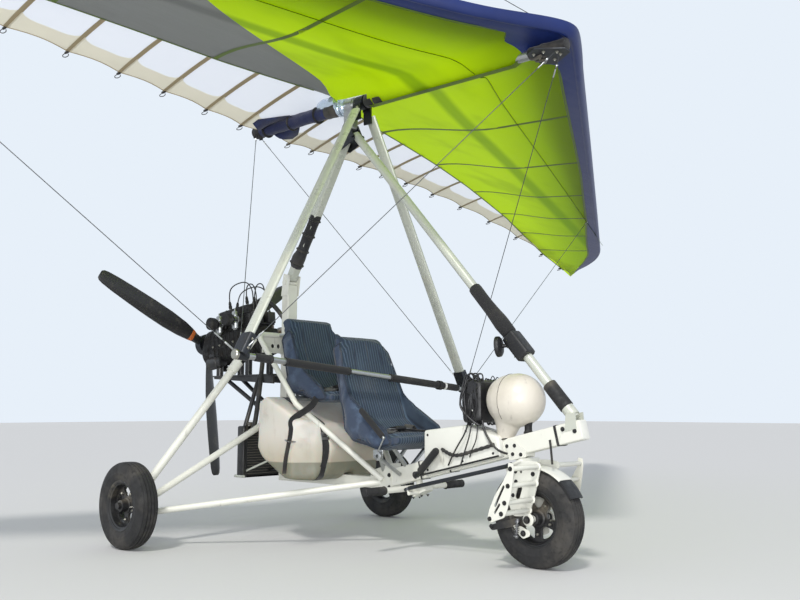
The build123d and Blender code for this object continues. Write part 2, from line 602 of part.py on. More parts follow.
ARM_OUT = -100.0
ARM_LOW = -32.0
ROD_BALL_R = 5.0
ROD_FRONT = on_steer_axis(ARM_LOW, ARM_OUT)
FOOT_BAR_PIVOT = (1075.0, 0.0, beam_z(1075) - 26)
ROD_REAR = on_steer_axis(ARM_LOW, ARM_OUT, pivot=FOOT_BAR_PIVOT)
with BuildPart() as steer_arm:
    rod(on_steer_axis(ARM_LOW, -FORK_IN), ROD_FRONT, 9)
    rod(on_steer_axis(ARM_LOW, ARM_OUT), on_steer_axis(-4, ARM_OUT), ROD_BALL_R)
    add(fork.part, mode=Mode.SUBTRACT)
keep("nose_fork", join(fork.part, steer_arm.part))

FOOT_BAR_HALF = 345.0
with BuildPart() as foot_bar:
    rod((FOOT_BAR_PIVOT[0] - 30, -FOOT_BAR_HALF, FOOT_BAR_PIVOT[2] - 12),
        (FOOT_BAR_PIVOT[0] - 30, FOOT_BAR_HALF, FOOT_BAR_PIVOT[2] - 12), 14)
    with BuildSketch(Plane(origin=on_steer_axis(ARM_LOW - 8, 0, pivot=FOOT_BAR_PIVOT), x_dir=(0, 1, 0),
                           z_dir=STEER_AXIS)):
        RectangleRounded(70, 84, 12)
    extrude(amount=32)
    rod(on_steer_axis(ARM_LOW, 0, pivot=FOOT_BAR_PIVOT), ROD_REAR, 9)
    rod(ROD_REAR, on_steer_axis(-4, ARM_OUT, pivot=FOOT_BAR_PIVOT), ROD_BALL_R)
keep("rear_foot_bar", foot_bar.part)

with BuildPart() as foot_bar_pivot:
    rod(on_steer_axis(-7.5, 0, pivot=FOOT_BAR_PIVOT), on_steer_axis(60, 0, pivot=FOOT_BAR_PIVOT), 16)
    add(beam_block.part, mode=Mode.SUBTRACT)

with BuildPart() as steer_pivot:
    rod(on_steer_axis(-1.5, 0), on_steer_axis(30, 0), 20)
    add(steering_head.part, mode=Mode.SUBTRACT)
    add(beam_block.part, mode=Mode.SUBTRACT)
keep("steering_head", join(steering_head.part, steer_pivot.part, foot_bar_pivot.part))

with BuildPart() as grips:
    for side in (-1, 1):
        rod((FOOT_BAR_PIVOT[0] - 30, side * 215, FOOT_BAR_PIVOT[2] - 12),
            (FOOT_BAR_PIVOT[0] - 30, side * FOOT_BAR_HALF, FOOT_BAR_PIVOT[2] - 12), 19, 14 + SEAT_GAP)
keep("foot_grips", grips.part)

with BuildPart() as steer_rod:
    rod(on_steer_axis(-12, ARM_OUT, 14, FOOT_BAR_PIVOT), on_steer_axis(-12, ARM_OUT, -14), 9)
    for eye in (FOOT_BAR_PIVOT, STEER_PIVOT):
        rod(on_steer_axis(-18, ARM_OUT, pivot=eye), on_steer_axis(-6, ARM_OUT, pivot=eye), 15)
        rod(on_steer_axis(-40, ARM_OUT, pivot=eye), on_steer_axis(10, ARM_OUT, pivot=eye),
            ROD_BALL_R + SEAT_GAP, mode=Mode.SUBTRACT)
keep("steering_rod", steer_rod.part)

# Engine, drawn in its own frame: X runs forward along the thrust line from the hub
HUB_LONG = 46.0
PROP_HUB = (-674.0, 0.0, 1052.0)
ENGINE_PLACE = Pos(*PROP_HUB) * Rot(0, -PROP_TILT, 0)
CRANK_Z = -72.0
with BuildPart() as engine:
    side_plate([(200, CRANK_Z - 78), (560, CRANK_Z - 78), (580, CRANK_Z - 40), (580, CRANK_Z + 40),
                (560, CRANK_Z + 78), (200, CRANK_Z + 78)], -105, 105)
    with BuildSketch(Plane.XY.offset(CRANK_Z + 78)) as jackets:
        with Locations((295, 0), (455, 0)):
            Rectangle(146, 150)
        chamfer(jackets.vertices(), 24)
    extrude(jackets.sketch, amount=96)
    with BuildSketch(Plane.XY.offset(CRANK_Z + 174)) as head_block:
        with Locations((375, 0)):
            Rectangle(310, 140)
        chamfer(head_block.vertices(), 24)
    extrude(head_block.sketch, amount=44)
keep("engine", engine.part, ENGINE_PLACE)

with BuildPart() as gearbox:
    with BuildSketch(Plane.YZ.offset(70)) as box_face:
        Circle(70)
        with Locations((0, CRANK_Z)):
            Circle(88)
    extrude(box_face.sketch, amount=130)
    rod((HUB_LONG / 2, 0, 0), (70, 0, 0), 34)
keep("gearbox", gearbox.part, ENGINE_PLACE)

with BuildPart() as silencer:
    rod((230, 175, -40), (560, 175, -40), 58)
    rod((300, 50, 55), (330, 160, 0), 20)
    rod((440, 50, 55), (420, 160, 0), 20)
    rod((560, 175, -40), (620, 175, -60), 22)
    add(engine.part, mode=Mode.SUBTRACT)
keep("silencer", silencer.part, ENGINE_PLACE)

with BuildPart() as intake:
    for carb_x in (300, 450):
        rod((carb_x, -66, 62), (carb_x, -140, 62), 22)
    rod((260, -180, 62), (490, -180, 62), 46)
    add(engine.part, mode=Mode.SUBTRACT)
keep("air_intake", intake.part, ENGINE_PLACE)

MOUNT_FACE = [(MAST_X - MAST_D / 2, 846), (-470, 846), (-470, 836), (MAST_X - MAST_D / 2, 800)]
with BuildPart() as engine_mount:
    for side in (-1, 1):
        side_plate(MOUNT_FACE, *sorted((side * 70, side * 80)))
    side_plate([(MAST_X - MAST_D / 2, 854), (-470, 854), (-470, 846), (MAST_X - MAST_D / 2, 846)], -90, 90)
    for rubber_x in (-420, -150):
        for side in (-1, 1):
            rod((rubber_x, side * 76, 854), (rubber_x, side * 76, 960), 20)
    for side in (-1, 1):
        rod((MAST_X, side * 22, 560), (-400, side * 60, 846), 12)
    add(lower_mast.part, mode=Mode.SUBTRACT)
    add(pieces["engine"], mode=Mode.SUBTRACT)
keep("engine_mount", engine_mount.part)

with BuildPart() as radiator:
    with BuildSketch(Plane.YZ.offset(-70)) as core_face:
        with Locations((0, 432)):
            Rectangle(420, 280)
    extrude(core_face.sketch, amount=58)
    for side in (-1, 1):
        rod((-40, side * 180, 572), (-40, side * 86, 846), 12)
    for side in (-1, 1):
        rod((-12, side * 24, 330), (MAST_X - MAST_D / 2, side * 24, 346), 9)
    add(engine_mount.part, mode=Mode.SUBTRACT)
    add(lower_mast.part, mode=Mode.SUBTRACT)
keep("radiator", radiator.part)

# Propeller, in the engine's frame
BLADE_TABLE = [
    # radius, chord, thickness, twist from the disc
    (60, 54, 40, 50), (170, 92, 24, 38), (420, 108, 16, 22), (680, 90, 11, 15), (PROP_R, 62, 7, 12)]
with BuildPart() as prop_hub:
    with BuildSketch(Plane.YZ.offset(-HUB_LONG / 2)) as hub_disc:
        Circle(62)
    extrude(hub_disc.sketch, amount=HUB_LONG - RUNNING_GAP)
    with BuildSketch(Plane.YZ.offset(-HUB_LONG / 2)) as bolt_heads:
        with PolarLocations(38, 6):
            RegularPolygon(8, 6)
    extrude(bolt_heads.sketch, amount=-8)
keep("propeller_hub", prop_hub.part, ENGINE_PLACE)



def blade_section(blade_r, chord, thick, twist):
    """The closed outline of a blade at one radius, turned by the twist."""
    turn = radians(twist)
    outline = [(-chord / 2, 0), (chord / 2, 0), (chord / 4, thick * 0.7), (-chord / 6, thick)]
    return [(u * sin(turn) + v * cos(turn), u * cos(turn) - v * sin(turn), blade_r) for u, v in outline]


blade = flat_sided([blade_section(*station) for station in BLADE_TABLE])
PROP_PHASE = 62.0
prop_blades = join(*[Rot(PROP_PHASE + 120 * turn, 0, 0) * blade for turn in range(3)])
keep("propeller_blades", cut(prop_blades, prop_hub.part), ENGINE_PLACE)

# Wing, drawn in its own frame: the origin is on the keel tube's axis over the
# hang bolt, X forward along the keel. It hangs rolled to the left.
HANG_PLACE = Pos(*HANG) * Rot(0, WING_PITCH, 0) * Pos(0, 0, KEEL_RISE)
WING_PLACE = HANG_PLACE * Rot(WING_ROLL, 0, 0)
KEEL_R = 25.0
KEEL_FRONT = 1335.0
KEEL_BACK = -805.0
BEARING_HALF = 34.0

with BuildPart() as keel_tube:
    rod((KEEL_BACK, 0, 0), (KEEL_FRONT, 0, 0), KEEL_R)
    for collar in (-1, 1):
        rod((collar * (BEARING_HALF + 1), 0, 0), (collar * (BEARING_HALF + 13), 0, 0), 34)
keep("keel_tube", keel_tube.part, WING_PLACE)

with BuildPart() as hang_block:
    rod((-BEARING_HALF, 0, 0), (BEARING_HALF, 0, 0), 38)
    with BuildSketch(Plane.XZ.offset(-26)) as block_face:
        with BuildLine():
            Polyline((-34, 0), (-24, -KEEL_RISE), (24, -KEEL_RISE), (34, 0), close=True)
        make_face()
        with Locations((0, -KEEL_RISE)):
            Circle(24)
    extrude(block_face.sketch, amount=52)
    rod((-60, 0, 0), (60, 0, 0), KEEL_R + RUNNING_GAP, mode=Mode.SUBTRACT)
    rod((0, -40, -KEEL_RISE), (0, 40, -KEEL_RISE), 8 + RUNNING_GAP, mode=Mode.SUBTRACT)
keep("hang_block", hang_block.part, HANG_PLACE)


def lead_edge(y):
    """The centre of the leading edge at y, in the wing's frame."""
    return (NOSE_REACH - abs(y) * tan(radians(SWEEP)), y, 30 + 0.037 * abs(y))


def trail_edge(y):
    """The trailing edge at y, in the wing's frame."""
    out = abs(y) / 1000
    return (NOSE_REACH - ROOT_CHORD - 152 * out - 12 * out * out, y, -48 + 136 * out - 20 * out * out)


TIP_RAKE = 240.0
STATION_TABLE = [
    # y, leading-edge radius, crest above the chord line, how far the edge is raked back
    (0, 46, 150, 0), (1300, 44, 120, 0), (3000, 38, 78, 0), (4400, 28, 36, 24), (HALF_SPAN, 18, 14, TIP_RAKE)]
SKIN = 7.0
UNDER_END = 0.76
UPPER_SHARES = (0.1, 0.25, 0.45, 0.7, 1.0)


def wing_section(y, edge_r, crest, rake):
    """The corners of the sail's outline at one station."""
    x_front, _, z_front = lead_edge(y)
    x_front -= rake
    x_back, _, z_back = trail_edge(y)
    chord = x_front - x_back

    def point(share, rise):
        return (x_front - share * chord, z_front + share * (z_back - z_front) + rise)

    rear_rise = 4 * crest * UNDER_END * (1 - UNDER_END) - 2 * SKIN
    upper = [point(share, 4 * crest * share * (1 - share)) for share in UPPER_SHARES]
    nose = [(x_front - 0.7 * edge_r, z_front + edge_r), (x_front, z_front + 0.3 * edge_r),
            (x_front - 0.3 * edge_r, z_front - 0.8 * edge_r)]
    under = [point(1, -SKIN), point(UNDER_END, rear_rise), point(0.56, -edge_r * 0.4)]
    return [(x, y, z) for x, z in nose[::-1] + upper + under]


stations = [(-y, *rest) for y, *rest in STATION_TABLE[:0:-1]] + STATION_TABLE
whole_sail = flat_sided([wing_section(*station) for station in stations])

KINGPOST_X = 100.0
KINGPOST_R = 18.0
KINGPOST_TOP = (60.0, 0, 1060.0)
APEX_X = 68.0
NOSE_WIRE = (1290.0, 0, -34)
TAIL_WIRE = (KEEL_BACK + 20, 0, 0)
SIDE_WIRE_Y = 3050.0
BAR_CENTRE = (BAR_REACH, 0, -BAR_DROP)
BAR_END = (BAR_REACH, BAR_HALF, -BAR_DROP)
WIRE_R = 1.8
WIRE_PEAK = between(KINGPOST_TOP, (KINGPOST_X, 0, 0), 0.03)
side_edge = lead_edge(SIDE_WIRE_Y)
SIDE_WIRE = (side_edge[0] - 60, SIDE_WIRE_Y, side_edge[2])
LOWER_WIRES = [
    # upper end of each wire on the left side; the lower end is the bar's corner
    (NOSE_WIRE[0], 20, NOSE_WIRE[2]), SIDE_WIRE, (TAIL_WIRE[0], 16, -26)]
UPPER_WIRES = [(1290, 0, 77.7), (SIDE_WIRE[0], SIDE_WIRE_Y, SIDE_WIRE[2] + 20),
               (SIDE_WIRE[0], -SIDE_WIRE_Y, SIDE_WIRE[2] + 20), (TAIL_WIRE[0], 0, KEEL_R - 4)]

with BuildPart() as sail:
    add(whole_sail)
    with BuildSketch(Plane.YZ.offset(KEEL_BACK - 100)) as groove:
        with Locations((0, -30)):
            Rectangle(72, 140)
    extrude(groove.sketch, amount=NOSE_REACH - KEEL_BACK + 200, mode=Mode.SUBTRACT)
    with BuildSketch(Plane.XY.offset(-200)) as hang_hole:
        with Locations((30, 0)):
            Rectangle(230, 150)
    extrude(hang_hole.sketch, amount=250, mode=Mode.SUBTRACT)
    with BuildSketch(Plane.XY) as post_hole:
        with Locations((KINGPOST_X - 4, 0)):
            Rectangle(3 * KINGPOST_R, 3 * KINGPOST_R)
    extrude(post_hole.sketch, amount=300, mode=Mode.SUBTRACT)
keep("sail", sail.part, WING_PLACE)

with BuildPart() as kingpost:
    rod((KINGPOST_X, 0, 0), KINGPOST_TOP, KINGPOST_R)
    rod((KEEL_BACK, 0, 0), (KEEL_FRONT, 0, 0), KEEL_R, mode=Mode.SUBTRACT)
    with BuildSketch(Plane.XY.offset(-KEEL_R)):
        with Locations((KINGPOST_X, 0)):
            Rectangle(100, 100)
    extrude(amount=KEEL_R, mode=Mode.SUBTRACT)
keep("kingpost", kingpost.part, WING_PLACE)

with BuildPart() as nose_plate:
    with BuildSketch(Plane.XY.offset(-KEEL_R - 5)) as plate_face:
        with BuildLine():
            Polyline((1345, -22), (1345, 22), (1230, 90), (1170, 60), (1170, -60), (1230, -90), close=True)
        make_face()
    extrude(plate_face.sketch, amount=5)

with BuildPart() as apex:
    rod((APEX_X - 8, 0, 0), (APEX_X + 46, 0, 0), 37, KEEL_R + SLEEVE_GAP)
    for side in (-1, 1):
        side_plate([(APEX_X - 8, -30), (APEX_X + 46, -30), (APEX_X + 56, -110), (APEX_X + 2, -110)],
                   *sorted((side * 36, side * 44)))
        side_plate([(APEX_X - 8, -18), (APEX_X + 46, -18), (APEX_X + 46, -40), (APEX_X - 8, -40)],
                   *sorted((side * 30, side * 44)))
    rod((KEEL_BACK, 0, 0), (KEEL_FRONT, 0, 0), KEEL_R + SLEEVE_GAP, mode=Mode.SUBTRACT)
    rod((KINGPOST_X, 0, 0), KINGPOST_TOP, KINGPOST_R + SEAT_GAP, mode=Mode.SUBTRACT)

UPRIGHT_CHORD = 66.0
UPRIGHT_THICK = 28.0
UPRIGHT_TOP = (APEX_X + 28, 58, -64)
upright_solids = {}
for side, hand in ((1, "left"), (-1, "right")):
    top, low = across(UPRIGHT_TOP, side), across(BAR_END, side)
    with BuildPart() as upright:
        with BuildSketch(plane_along(top, low, (1, 0, 0))) as tube_section:
            Ellipse(UPRIGHT_CHORD / 2, UPRIGHT_THICK / 2)
        extrude(tube_section.sketch, amount=span(top, low) * 0.975)
    upright_solids[hand] = upright.part
uprights = join(*upright_solids.values())
keep("uprights", uprights, WING_PLACE)

BAR_R = 14.0
GRIP_TABLE = [
    # start and end of each foam sleeve along the bar, from the right end
    (-690, -545), (-440, 60), (190, 700)]
with BuildPart() as base_bar:
    rod((BAR_REACH, -BAR_HALF - 14, -BAR_DROP), (BAR_REACH, BAR_HALF + 14, -BAR_DROP), BAR_R)
keep("base_bar", base_bar.part, WING_PLACE)

with BuildPart() as bar_grips:
    for start_y, end_y in GRIP_TABLE:
        rod((BAR_REACH, start_y, -BAR_DROP), (BAR_REACH, end_y, -BAR_DROP), 18, BAR_R + SEAT_GAP)
keep("bar_grips", bar_grips.part, WING_PLACE)

corner_solids = []
for side, hand in ((1, "left"), (-1, "right")):
    corner = across(BAR_END, side)
    top = across(UPRIGHT_TOP, side)
    with BuildPart() as bar_corner:
        rod((BAR_REACH, side * (BAR_HALF - 40), -BAR_DROP),
            (BAR_REACH, side * (BAR_HALF + 22), -BAR_DROP), 22)
        with BuildSketch(plane_along(corner, top, (1, 0, 0))) as socket:
            RectangleRounded(UPRIGHT_CHORD + 10, UPRIGHT_THICK + 12, 14)
        extrude(socket.sketch, amount=105)
        add(upright_solids[hand], mode=Mode.SUBTRACT)
        add(base_bar.part, mode=Mode.SUBTRACT)
    corner_solids.append(bar_corner.part)
fittings = join(nose_plate.part, cut(apex.part, uprights), *corner_solids)
keep("wing_fittings", fittings, WING_PLACE)

with BuildPart() as lower_rigging:
    for side in (-1, 1):
        for wire_top in LOWER_WIRES:
            rod(across(wire_top, side), across(BAR_END, side), WIRE_R)
    for carrier in (uprights, base_bar.part, fittings, keel_tube.part, sail.part):
        add(carrier, mode=Mode.SUBTRACT)

with BuildPart() as upper_rigging:
    for end in UPPER_WIRES:
        post_share = (KINGPOST_R + 1.4) / hypot(end[0] - WIRE_PEAK[0], end[1])
        rod(between(WIRE_PEAK, end, post_share), end, WIRE_R)
    for carrier in (keel_tube.part, sail.part):
        add(carrier, mode=Mode.SUBTRACT)
keep("rigging", join(lower_rigging.part, upper_rigging.part), WING_PLACE)

with BuildPart() as keel_pocket:
    rod((KEEL_BACK + 40, 0, 0), (-190, 0, 0), 33, KEEL_R + SLEEVE_GAP)
keep("keel_pocket", keel_pocket.part, WING_PLACE)

# The row's origin is under the centre of the outline
ROW_SHIFT = Pos(-400, 0, 0)

for piece_name, piece in pieces.items():
    row_piece = ROW_SHIFT * piece
    row_piece.label = piece_name
    export_step(row_piece, f"parts/{piece_name}.step")
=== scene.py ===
import random
from math import atan2, cos, exp, hypot, pi, radians, sin, sqrt, tan

import bmesh
import bpy
from mathutils import Matrix, Vector, noise
from mathutils.bvhtree import BVHTree
from mathutils.geometry import convex_hull_2d


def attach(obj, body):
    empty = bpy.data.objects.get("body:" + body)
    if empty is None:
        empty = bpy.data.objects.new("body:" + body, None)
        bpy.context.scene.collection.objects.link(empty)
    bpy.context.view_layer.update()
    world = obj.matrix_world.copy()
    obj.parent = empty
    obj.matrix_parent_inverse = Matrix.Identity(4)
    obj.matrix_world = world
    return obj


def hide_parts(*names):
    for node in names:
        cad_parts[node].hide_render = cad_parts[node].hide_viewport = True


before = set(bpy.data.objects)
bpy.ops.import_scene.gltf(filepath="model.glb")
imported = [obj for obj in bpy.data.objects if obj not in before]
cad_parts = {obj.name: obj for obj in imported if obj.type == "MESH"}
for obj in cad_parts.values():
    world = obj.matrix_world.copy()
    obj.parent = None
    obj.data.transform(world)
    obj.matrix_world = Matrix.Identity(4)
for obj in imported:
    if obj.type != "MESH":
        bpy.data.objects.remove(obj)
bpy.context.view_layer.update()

# Two-seat flex-wing microlight trike, in metres. X points forward, Y to the left and Z up.
# Points are given in one of three frames, and its matrix moves them into the packed
# frame. TRIKE is the frame of the drawings, whose origin lies midway between the rear
# wheels. WING has its origin on the keel tube over the hang bolt, and ENGINE has its
# origin in the propeller's hub.

scene = bpy.context.scene
SHIFT = 0.4
HANG_BOLT = (0.585 - SHIFT, 0, 2.155)
KEEL_OVER_BOLT = (0, 0, 0.115)
WING_PITCH = radians(1.5)
WING_ROLL = radians(-4.5)
HUB = (-0.674 - SHIFT, 0, 1.052)
THRUST_TILT = radians(-7)

TRIKE = Matrix.Translation((-SHIFT, 0, 0))
WING = (Matrix.Translation(HANG_BOLT) @ Matrix.Rotation(WING_PITCH, 4, 'Y')
        @ Matrix.Translation(KEEL_OVER_BOLT) @ Matrix.Rotation(WING_ROLL, 4, 'X'))
ENGINE = Matrix.Translation(HUB) @ Matrix.Rotation(THRUST_TILT, 4, 'Y')

# Camera

CAM_POS = TRIKE @ Vector((3.931, -3.246, 0.662))
YAW = radians(42.634)
PITCH = radians(6.9)
FOCAL_PX = 900.0
FRAME_PX = 800.0
SENSOR = 36.0
VIEW_END = 120


def make_camera():
    """The camera at the place that the photo was taken from."""
    data = bpy.data.cameras.new("camera")
    data.sensor_width = SENSOR
    data.lens = FOCAL_PX / FRAME_PX * SENSOR
    data.clip_end = VIEW_END
    camera = bpy.data.objects.new("camera", data)
    scene.collection.objects.link(camera)
    look = Vector((-sin(YAW) * cos(PITCH), cos(YAW) * cos(PITCH), sin(PITCH)))
    right = look.cross(Vector((0, 0, 1))).normalized()
    up = right.cross(look)
    camera.matrix_world = Matrix.Translation(CAM_POS) @ Matrix((right, up, -look)).transposed().to_4x4()
    scene.camera = camera


make_camera()

# Stage and light

scene.view_settings.view_transform = 'Standard'
SKY_LIGHT = (0.86, 0.91, 1.0, 1)
SKY_POWER = 0.72
BACKDROP = (0.80, 0.87, 0.95, 1)
FLOOR_COLOUR = (0.60, 0.60, 0.59, 1)
FLOOR_ROUGH = 0.9
FLOOR_HALF = 40.0


def make_world():
    """Soft light from all round, behind a plain pale backdrop that only the eye and mirrors see."""
    world = bpy.data.worlds.new("world")
    scene.world = world
    world.use_nodes = True
    nodes, links = world.node_tree.nodes, world.node_tree.links
    nodes.clear()
    out = nodes.new("ShaderNodeOutputWorld")
    mix = nodes.new("ShaderNodeMixShader")
    lit = nodes.new("ShaderNodeBackground")
    lit.inputs[0].default_value = SKY_LIGHT
    lit.inputs[1].default_value = SKY_POWER
    seen = nodes.new("ShaderNodeBackground")
    seen.inputs[0].default_value = BACKDROP
    path = nodes.new("ShaderNodeLightPath")
    eye = nodes.new("ShaderNodeMath")
    eye.operation = 'MAXIMUM'
    links.new(path.outputs["Is Camera Ray"], eye.inputs[0])
    links.new(path.outputs["Is Glossy Ray"], eye.inputs[1])
    either = nodes.new("ShaderNodeMath")
    either.operation = 'MAXIMUM'
    links.new(eye.outputs[0], either.inputs[0])
    links.new(path.outputs["Is Transmission Ray"], either.inputs[1])
    links.new(either.outputs[0], mix.inputs[0])
    links.new(lit.outputs[0], mix.inputs[1])
    links.new(seen.outputs[0], mix.inputs[2])
    links.new(mix.outputs[0], out.inputs[0])


def lamp(name, kind, place, target, power, size, colour):
    """A lamp that points at the target; size is a sun's angle or the width of an area lamp."""
    data = bpy.data.lights.new(name, kind)
    data.energy = power
    data.color = colour
    if kind == 'AREA':
        data.size = size
    else:
        data.angle = size
    ob = bpy.data.objects.new(name, data)
    scene.collection.objects.link(ob)
    ob.location = place
    ob.rotation_euler = (Vector(target) - Vector(place)).to_track_quat('-Z', 'Y').to_euler()


def make_floor():
    """A plain floor that reaches far past the picture."""
    half = FLOOR_HALF
    mesh = bpy.data.meshes.new("floor")
    mesh.from_pydata([(-half, -half, 0), (half, -half, 0), (half, half, 0), (-half, half, 0)], [],
                     [(0, 1, 2, 3)])
    floor = bpy.data.objects.new("floor", mesh)
    scene.collection.objects.link(floor)
    mat = bpy.data.materials.new("floor")
    mat.use_nodes = True
    shader = mat.node_tree.nodes["Principled BSDF"]
    shader.inputs["Base Color"].default_value = FLOOR_COLOUR
    shader.inputs["Roughness"].default_value = FLOOR_ROUGH
    mesh.materials.append(mat)


SUN_COLOUR = (1.0, 0.97, 0.93)
WHITE = (1, 1, 1)
LAMPS = [
    # name, kind, place, target, power, size, colour
    ("sun", 'SUN', (3.0, -6.0, 7.5), (0, 0, 0), 1.75, radians(7), SUN_COLOUR),
    ("front", 'AREA', (6.8, -6.4, 3.6), (0, 0, 0.8), 100, 4.5, WHITE),
    ("under", 'AREA', (4.7, -4.9, 1.2), (0, 0, 2.4), 210, 2.0, WHITE),
]
make_world()
for lamp_values in LAMPS:
    lamp(*lamp_values)
make_floor()


# Materials


def srgb(r, g, b):
    """A colour given as it is seen, 0 to 255, as the linear colour that Blender takes."""
    def part(value):
        value /= 255
        return value / 12.92 if value <= 0.04045 else ((value + 0.055) / 1.055) ** 2.4
    return (part(r), part(g), part(b), 1.0)


NOISE_ROUGH = 0.55
BAND_SCALE = 2 * pi / 20


def darker(colour, share):
    """That share of a colour's brightness."""
    return tuple(c * share for c in colour[:3]) + (1,)


class Finish:
    """A procedural material, built up layer by layer from its base colour."""

    def __init__(self, name, colour, rough, metallic=0.0, on_wing=False, **sockets):
        self.mat = bpy.data.materials.new(name)
        self.mat.use_nodes = True
        self.nodes = self.mat.node_tree.nodes
        self.links = self.mat.node_tree.links
        self.shader = self.nodes["Principled BSDF"]
        self.shader.inputs["Base Color"].default_value = colour
        self.shader.inputs["Roughness"].default_value = rough
        self.shader.inputs["Metallic"].default_value = metallic
        for socket, value in sockets.items():
            self.shader.inputs[socket.replace("_", " ")].default_value = value
        self.place = self.nodes.new("ShaderNodeTexCoord").outputs["Object"]
        if on_wing:
            mapping = self.nodes.new("ShaderNodeMapping")
            mapping.vector_type = 'TEXTURE'
            mapping.inputs["Location"].default_value = WING.to_translation()
            mapping.inputs["Rotation"].default_value = WING.to_euler()
            self.links.new(self.place, mapping.inputs["Vector"])
            self.place = mapping.outputs[0]
        self.base = colour
        self.colour = None
        self.normal = None

    def stretched(self, scale):
        """The object's own coordinates, stretched by three factors."""
        mapping = self.nodes.new("ShaderNodeMapping")
        mapping.inputs["Scale"].default_value = scale
        self.links.new(self.place, mapping.inputs["Vector"])
        return mapping.outputs[0]

    def noise(self, scale, detail=4.0, stretch=None):
        """Cloudy noise, finer as the scale grows."""
        tex = self.nodes.new("ShaderNodeTexNoise")
        tex.inputs["Scale"].default_value = scale
        tex.inputs["Detail"].default_value = detail
        tex.inputs["Roughness"].default_value = NOISE_ROUGH
        self.links.new(self.stretched(stretch) if stretch else self.place, tex.inputs["Vector"])
        return tex.outputs[0]

    def cells(self, scale):
        """Distance from the middle of small cells, as in foam."""
        tex = self.nodes.new("ShaderNodeTexVoronoi")
        tex.inputs["Scale"].default_value = scale
        self.links.new(self.place, tex.inputs["Vector"])
        return tex.outputs["Distance"]

    def bands(self, period, axis, distort=0.0):
        """Soft bands across one axis, a given distance apart in metres."""
        tex = self.nodes.new("ShaderNodeTexWave")
        tex.wave_type = 'BANDS'
        tex.bands_direction = axis
        tex.inputs["Scale"].default_value = BAND_SCALE / period
        tex.inputs["Distortion"].default_value = distort
        self.links.new(self.place, tex.inputs["Vector"])
        return tex.outputs["Fac"]

    def axis(self, name):
        """One coordinate of the point."""
        split = self.nodes.new("ShaderNodeSeparateXYZ")
        self.links.new(self.place, split.inputs[0])
        return split.outputs[name]

    def math(self, kind, a, b=None):
        """A sum on one or two values, each a number or another node's output."""
        node = self.nodes.new("ShaderNodeMath")
        node.operation = kind
        for socket, value in zip(node.inputs, (a, b)):
            if value is None:
                continue
            if isinstance(value, (int, float)):
                socket.default_value = value
            else:
                self.links.new(value, socket)
        return node.outputs[0]

    def ramp(self, value, low, high, start, end):
        """The value mapped from low..high to start..end, and held there."""
        node = self.nodes.new("ShaderNodeMapRange")
        node.interpolation_type = 'SMOOTHSTEP'
        node.inputs["From Min"].default_value = low
        node.inputs["From Max"].default_value = high
        node.inputs["To Min"].default_value = start
        node.inputs["To Max"].default_value = end
        self.links.new(value, node.inputs["Value"])
        return node.outputs[0]

    def tint(self, colour, share):
        """Lays another colour over what is there, where share is 1."""
        node = self.nodes.new("ShaderNodeMix")
        node.data_type = 'RGBA'
        self.links.new(share, node.inputs[0])
        if self.colour is None:
            node.inputs[6].default_value = self.base
        else:
            self.links.new(self.colour, node.inputs[6])
        node.inputs[7].default_value = colour
        self.colour = node.outputs[2]
        return self

    def spots(self, colour, scale, detail, low, high, share, stretch=None):
        """Lays a colour over cloudy spots: none where the noise is below low, that share of it above high."""
        return self.tint(colour, self.ramp(self.noise(scale, detail, stretch), low, high, 0, share))

    def roughness(self, value, low, high, start, end):
        """Lets the roughness follow a value: start at low, end at high."""
        self.links.new(self.ramp(value, low, high, start, end), self.shader.inputs["Roughness"])
        return self

    def bump(self, height, strength, distance):
        """Adds relief to what is there."""
        node = self.nodes.new("ShaderNodeBump")
        node.inputs["Strength"].default_value = strength
        node.inputs["Distance"].default_value = distance
        self.links.new(height, node.inputs["Height"])
        if self.normal is not None:
            self.links.new(self.normal, node.inputs["Normal"])
        self.normal = node.outputs[0]
        return self

    def done(self):
        """Links what was built to the shader, and gives the material."""
        if self.colour is not None:
            self.links.new(self.colour, self.shader.inputs["Base Color"])
        if self.normal is not None:
            self.links.new(self.normal, self.shader.inputs["Normal"])
        return self.mat

    def glow_through(self, share):
        """Lets that share of the light pass through the cloth, in the cloth's own colour."""
        mat = self.done()
        cloth = self.nodes.new("ShaderNodeBsdfTranslucent")
        if self.colour is None:
            cloth.inputs["Color"].default_value = self.base
        else:
            self.links.new(self.colour, cloth.inputs["Color"])
        if self.normal is not None:
            self.links.new(self.normal, cloth.inputs["Normal"])
        mix = self.nodes.new("ShaderNodeMixShader")
        mix.inputs[0].default_value = share
        self.links.new(self.shader.outputs[0], mix.inputs[1])
        self.links.new(cloth.outputs[0], mix.inputs[2])
        self.links.new(mix.outputs[0], self.nodes["Material Output"].inputs["Surface"])
        return mat


DUST = srgb(168, 158, 138)
GRIME = srgb(74, 66, 54)


def paint(name, colour, rough, dust, grime, metallic=0.0):
    """Gloss paint or powder coat, with dust, dull streaks and a few rubbed marks."""
    f = Finish(name, colour, rough, metallic, Coat_Weight=0.15, Coat_Roughness=0.25)
    f.spots(DUST, 5.0, 6, 0.52, 0.75, dust)
    f.spots(GRIME, 34.0, 5, 0.62, 0.76, grime, (1, 1, 0.25))
    f.roughness(f.noise(14.0, 4), 0.35, 0.7, rough * 0.8, min(1, rough * 1.5))
    f.bump(f.noise(420.0, 2), 0.06, 0.0006)
    return f.done()


def metal(name, colour, rough, streak, grime, bump=0.08):
    """Bare metal with drawn streaks, dull patches and grime in places."""
    f = Finish(name, colour, rough, 1.0)
    f.spots(GRIME, 11.0, 6, 0.55, 0.78, grime)
    lines = f.noise(160.0, 3, streak)
    f.roughness(lines, 0.3, 0.7, rough * 0.7, min(1, rough * 1.5))
    f.bump(lines, bump, 0.0008)
    return f.done()


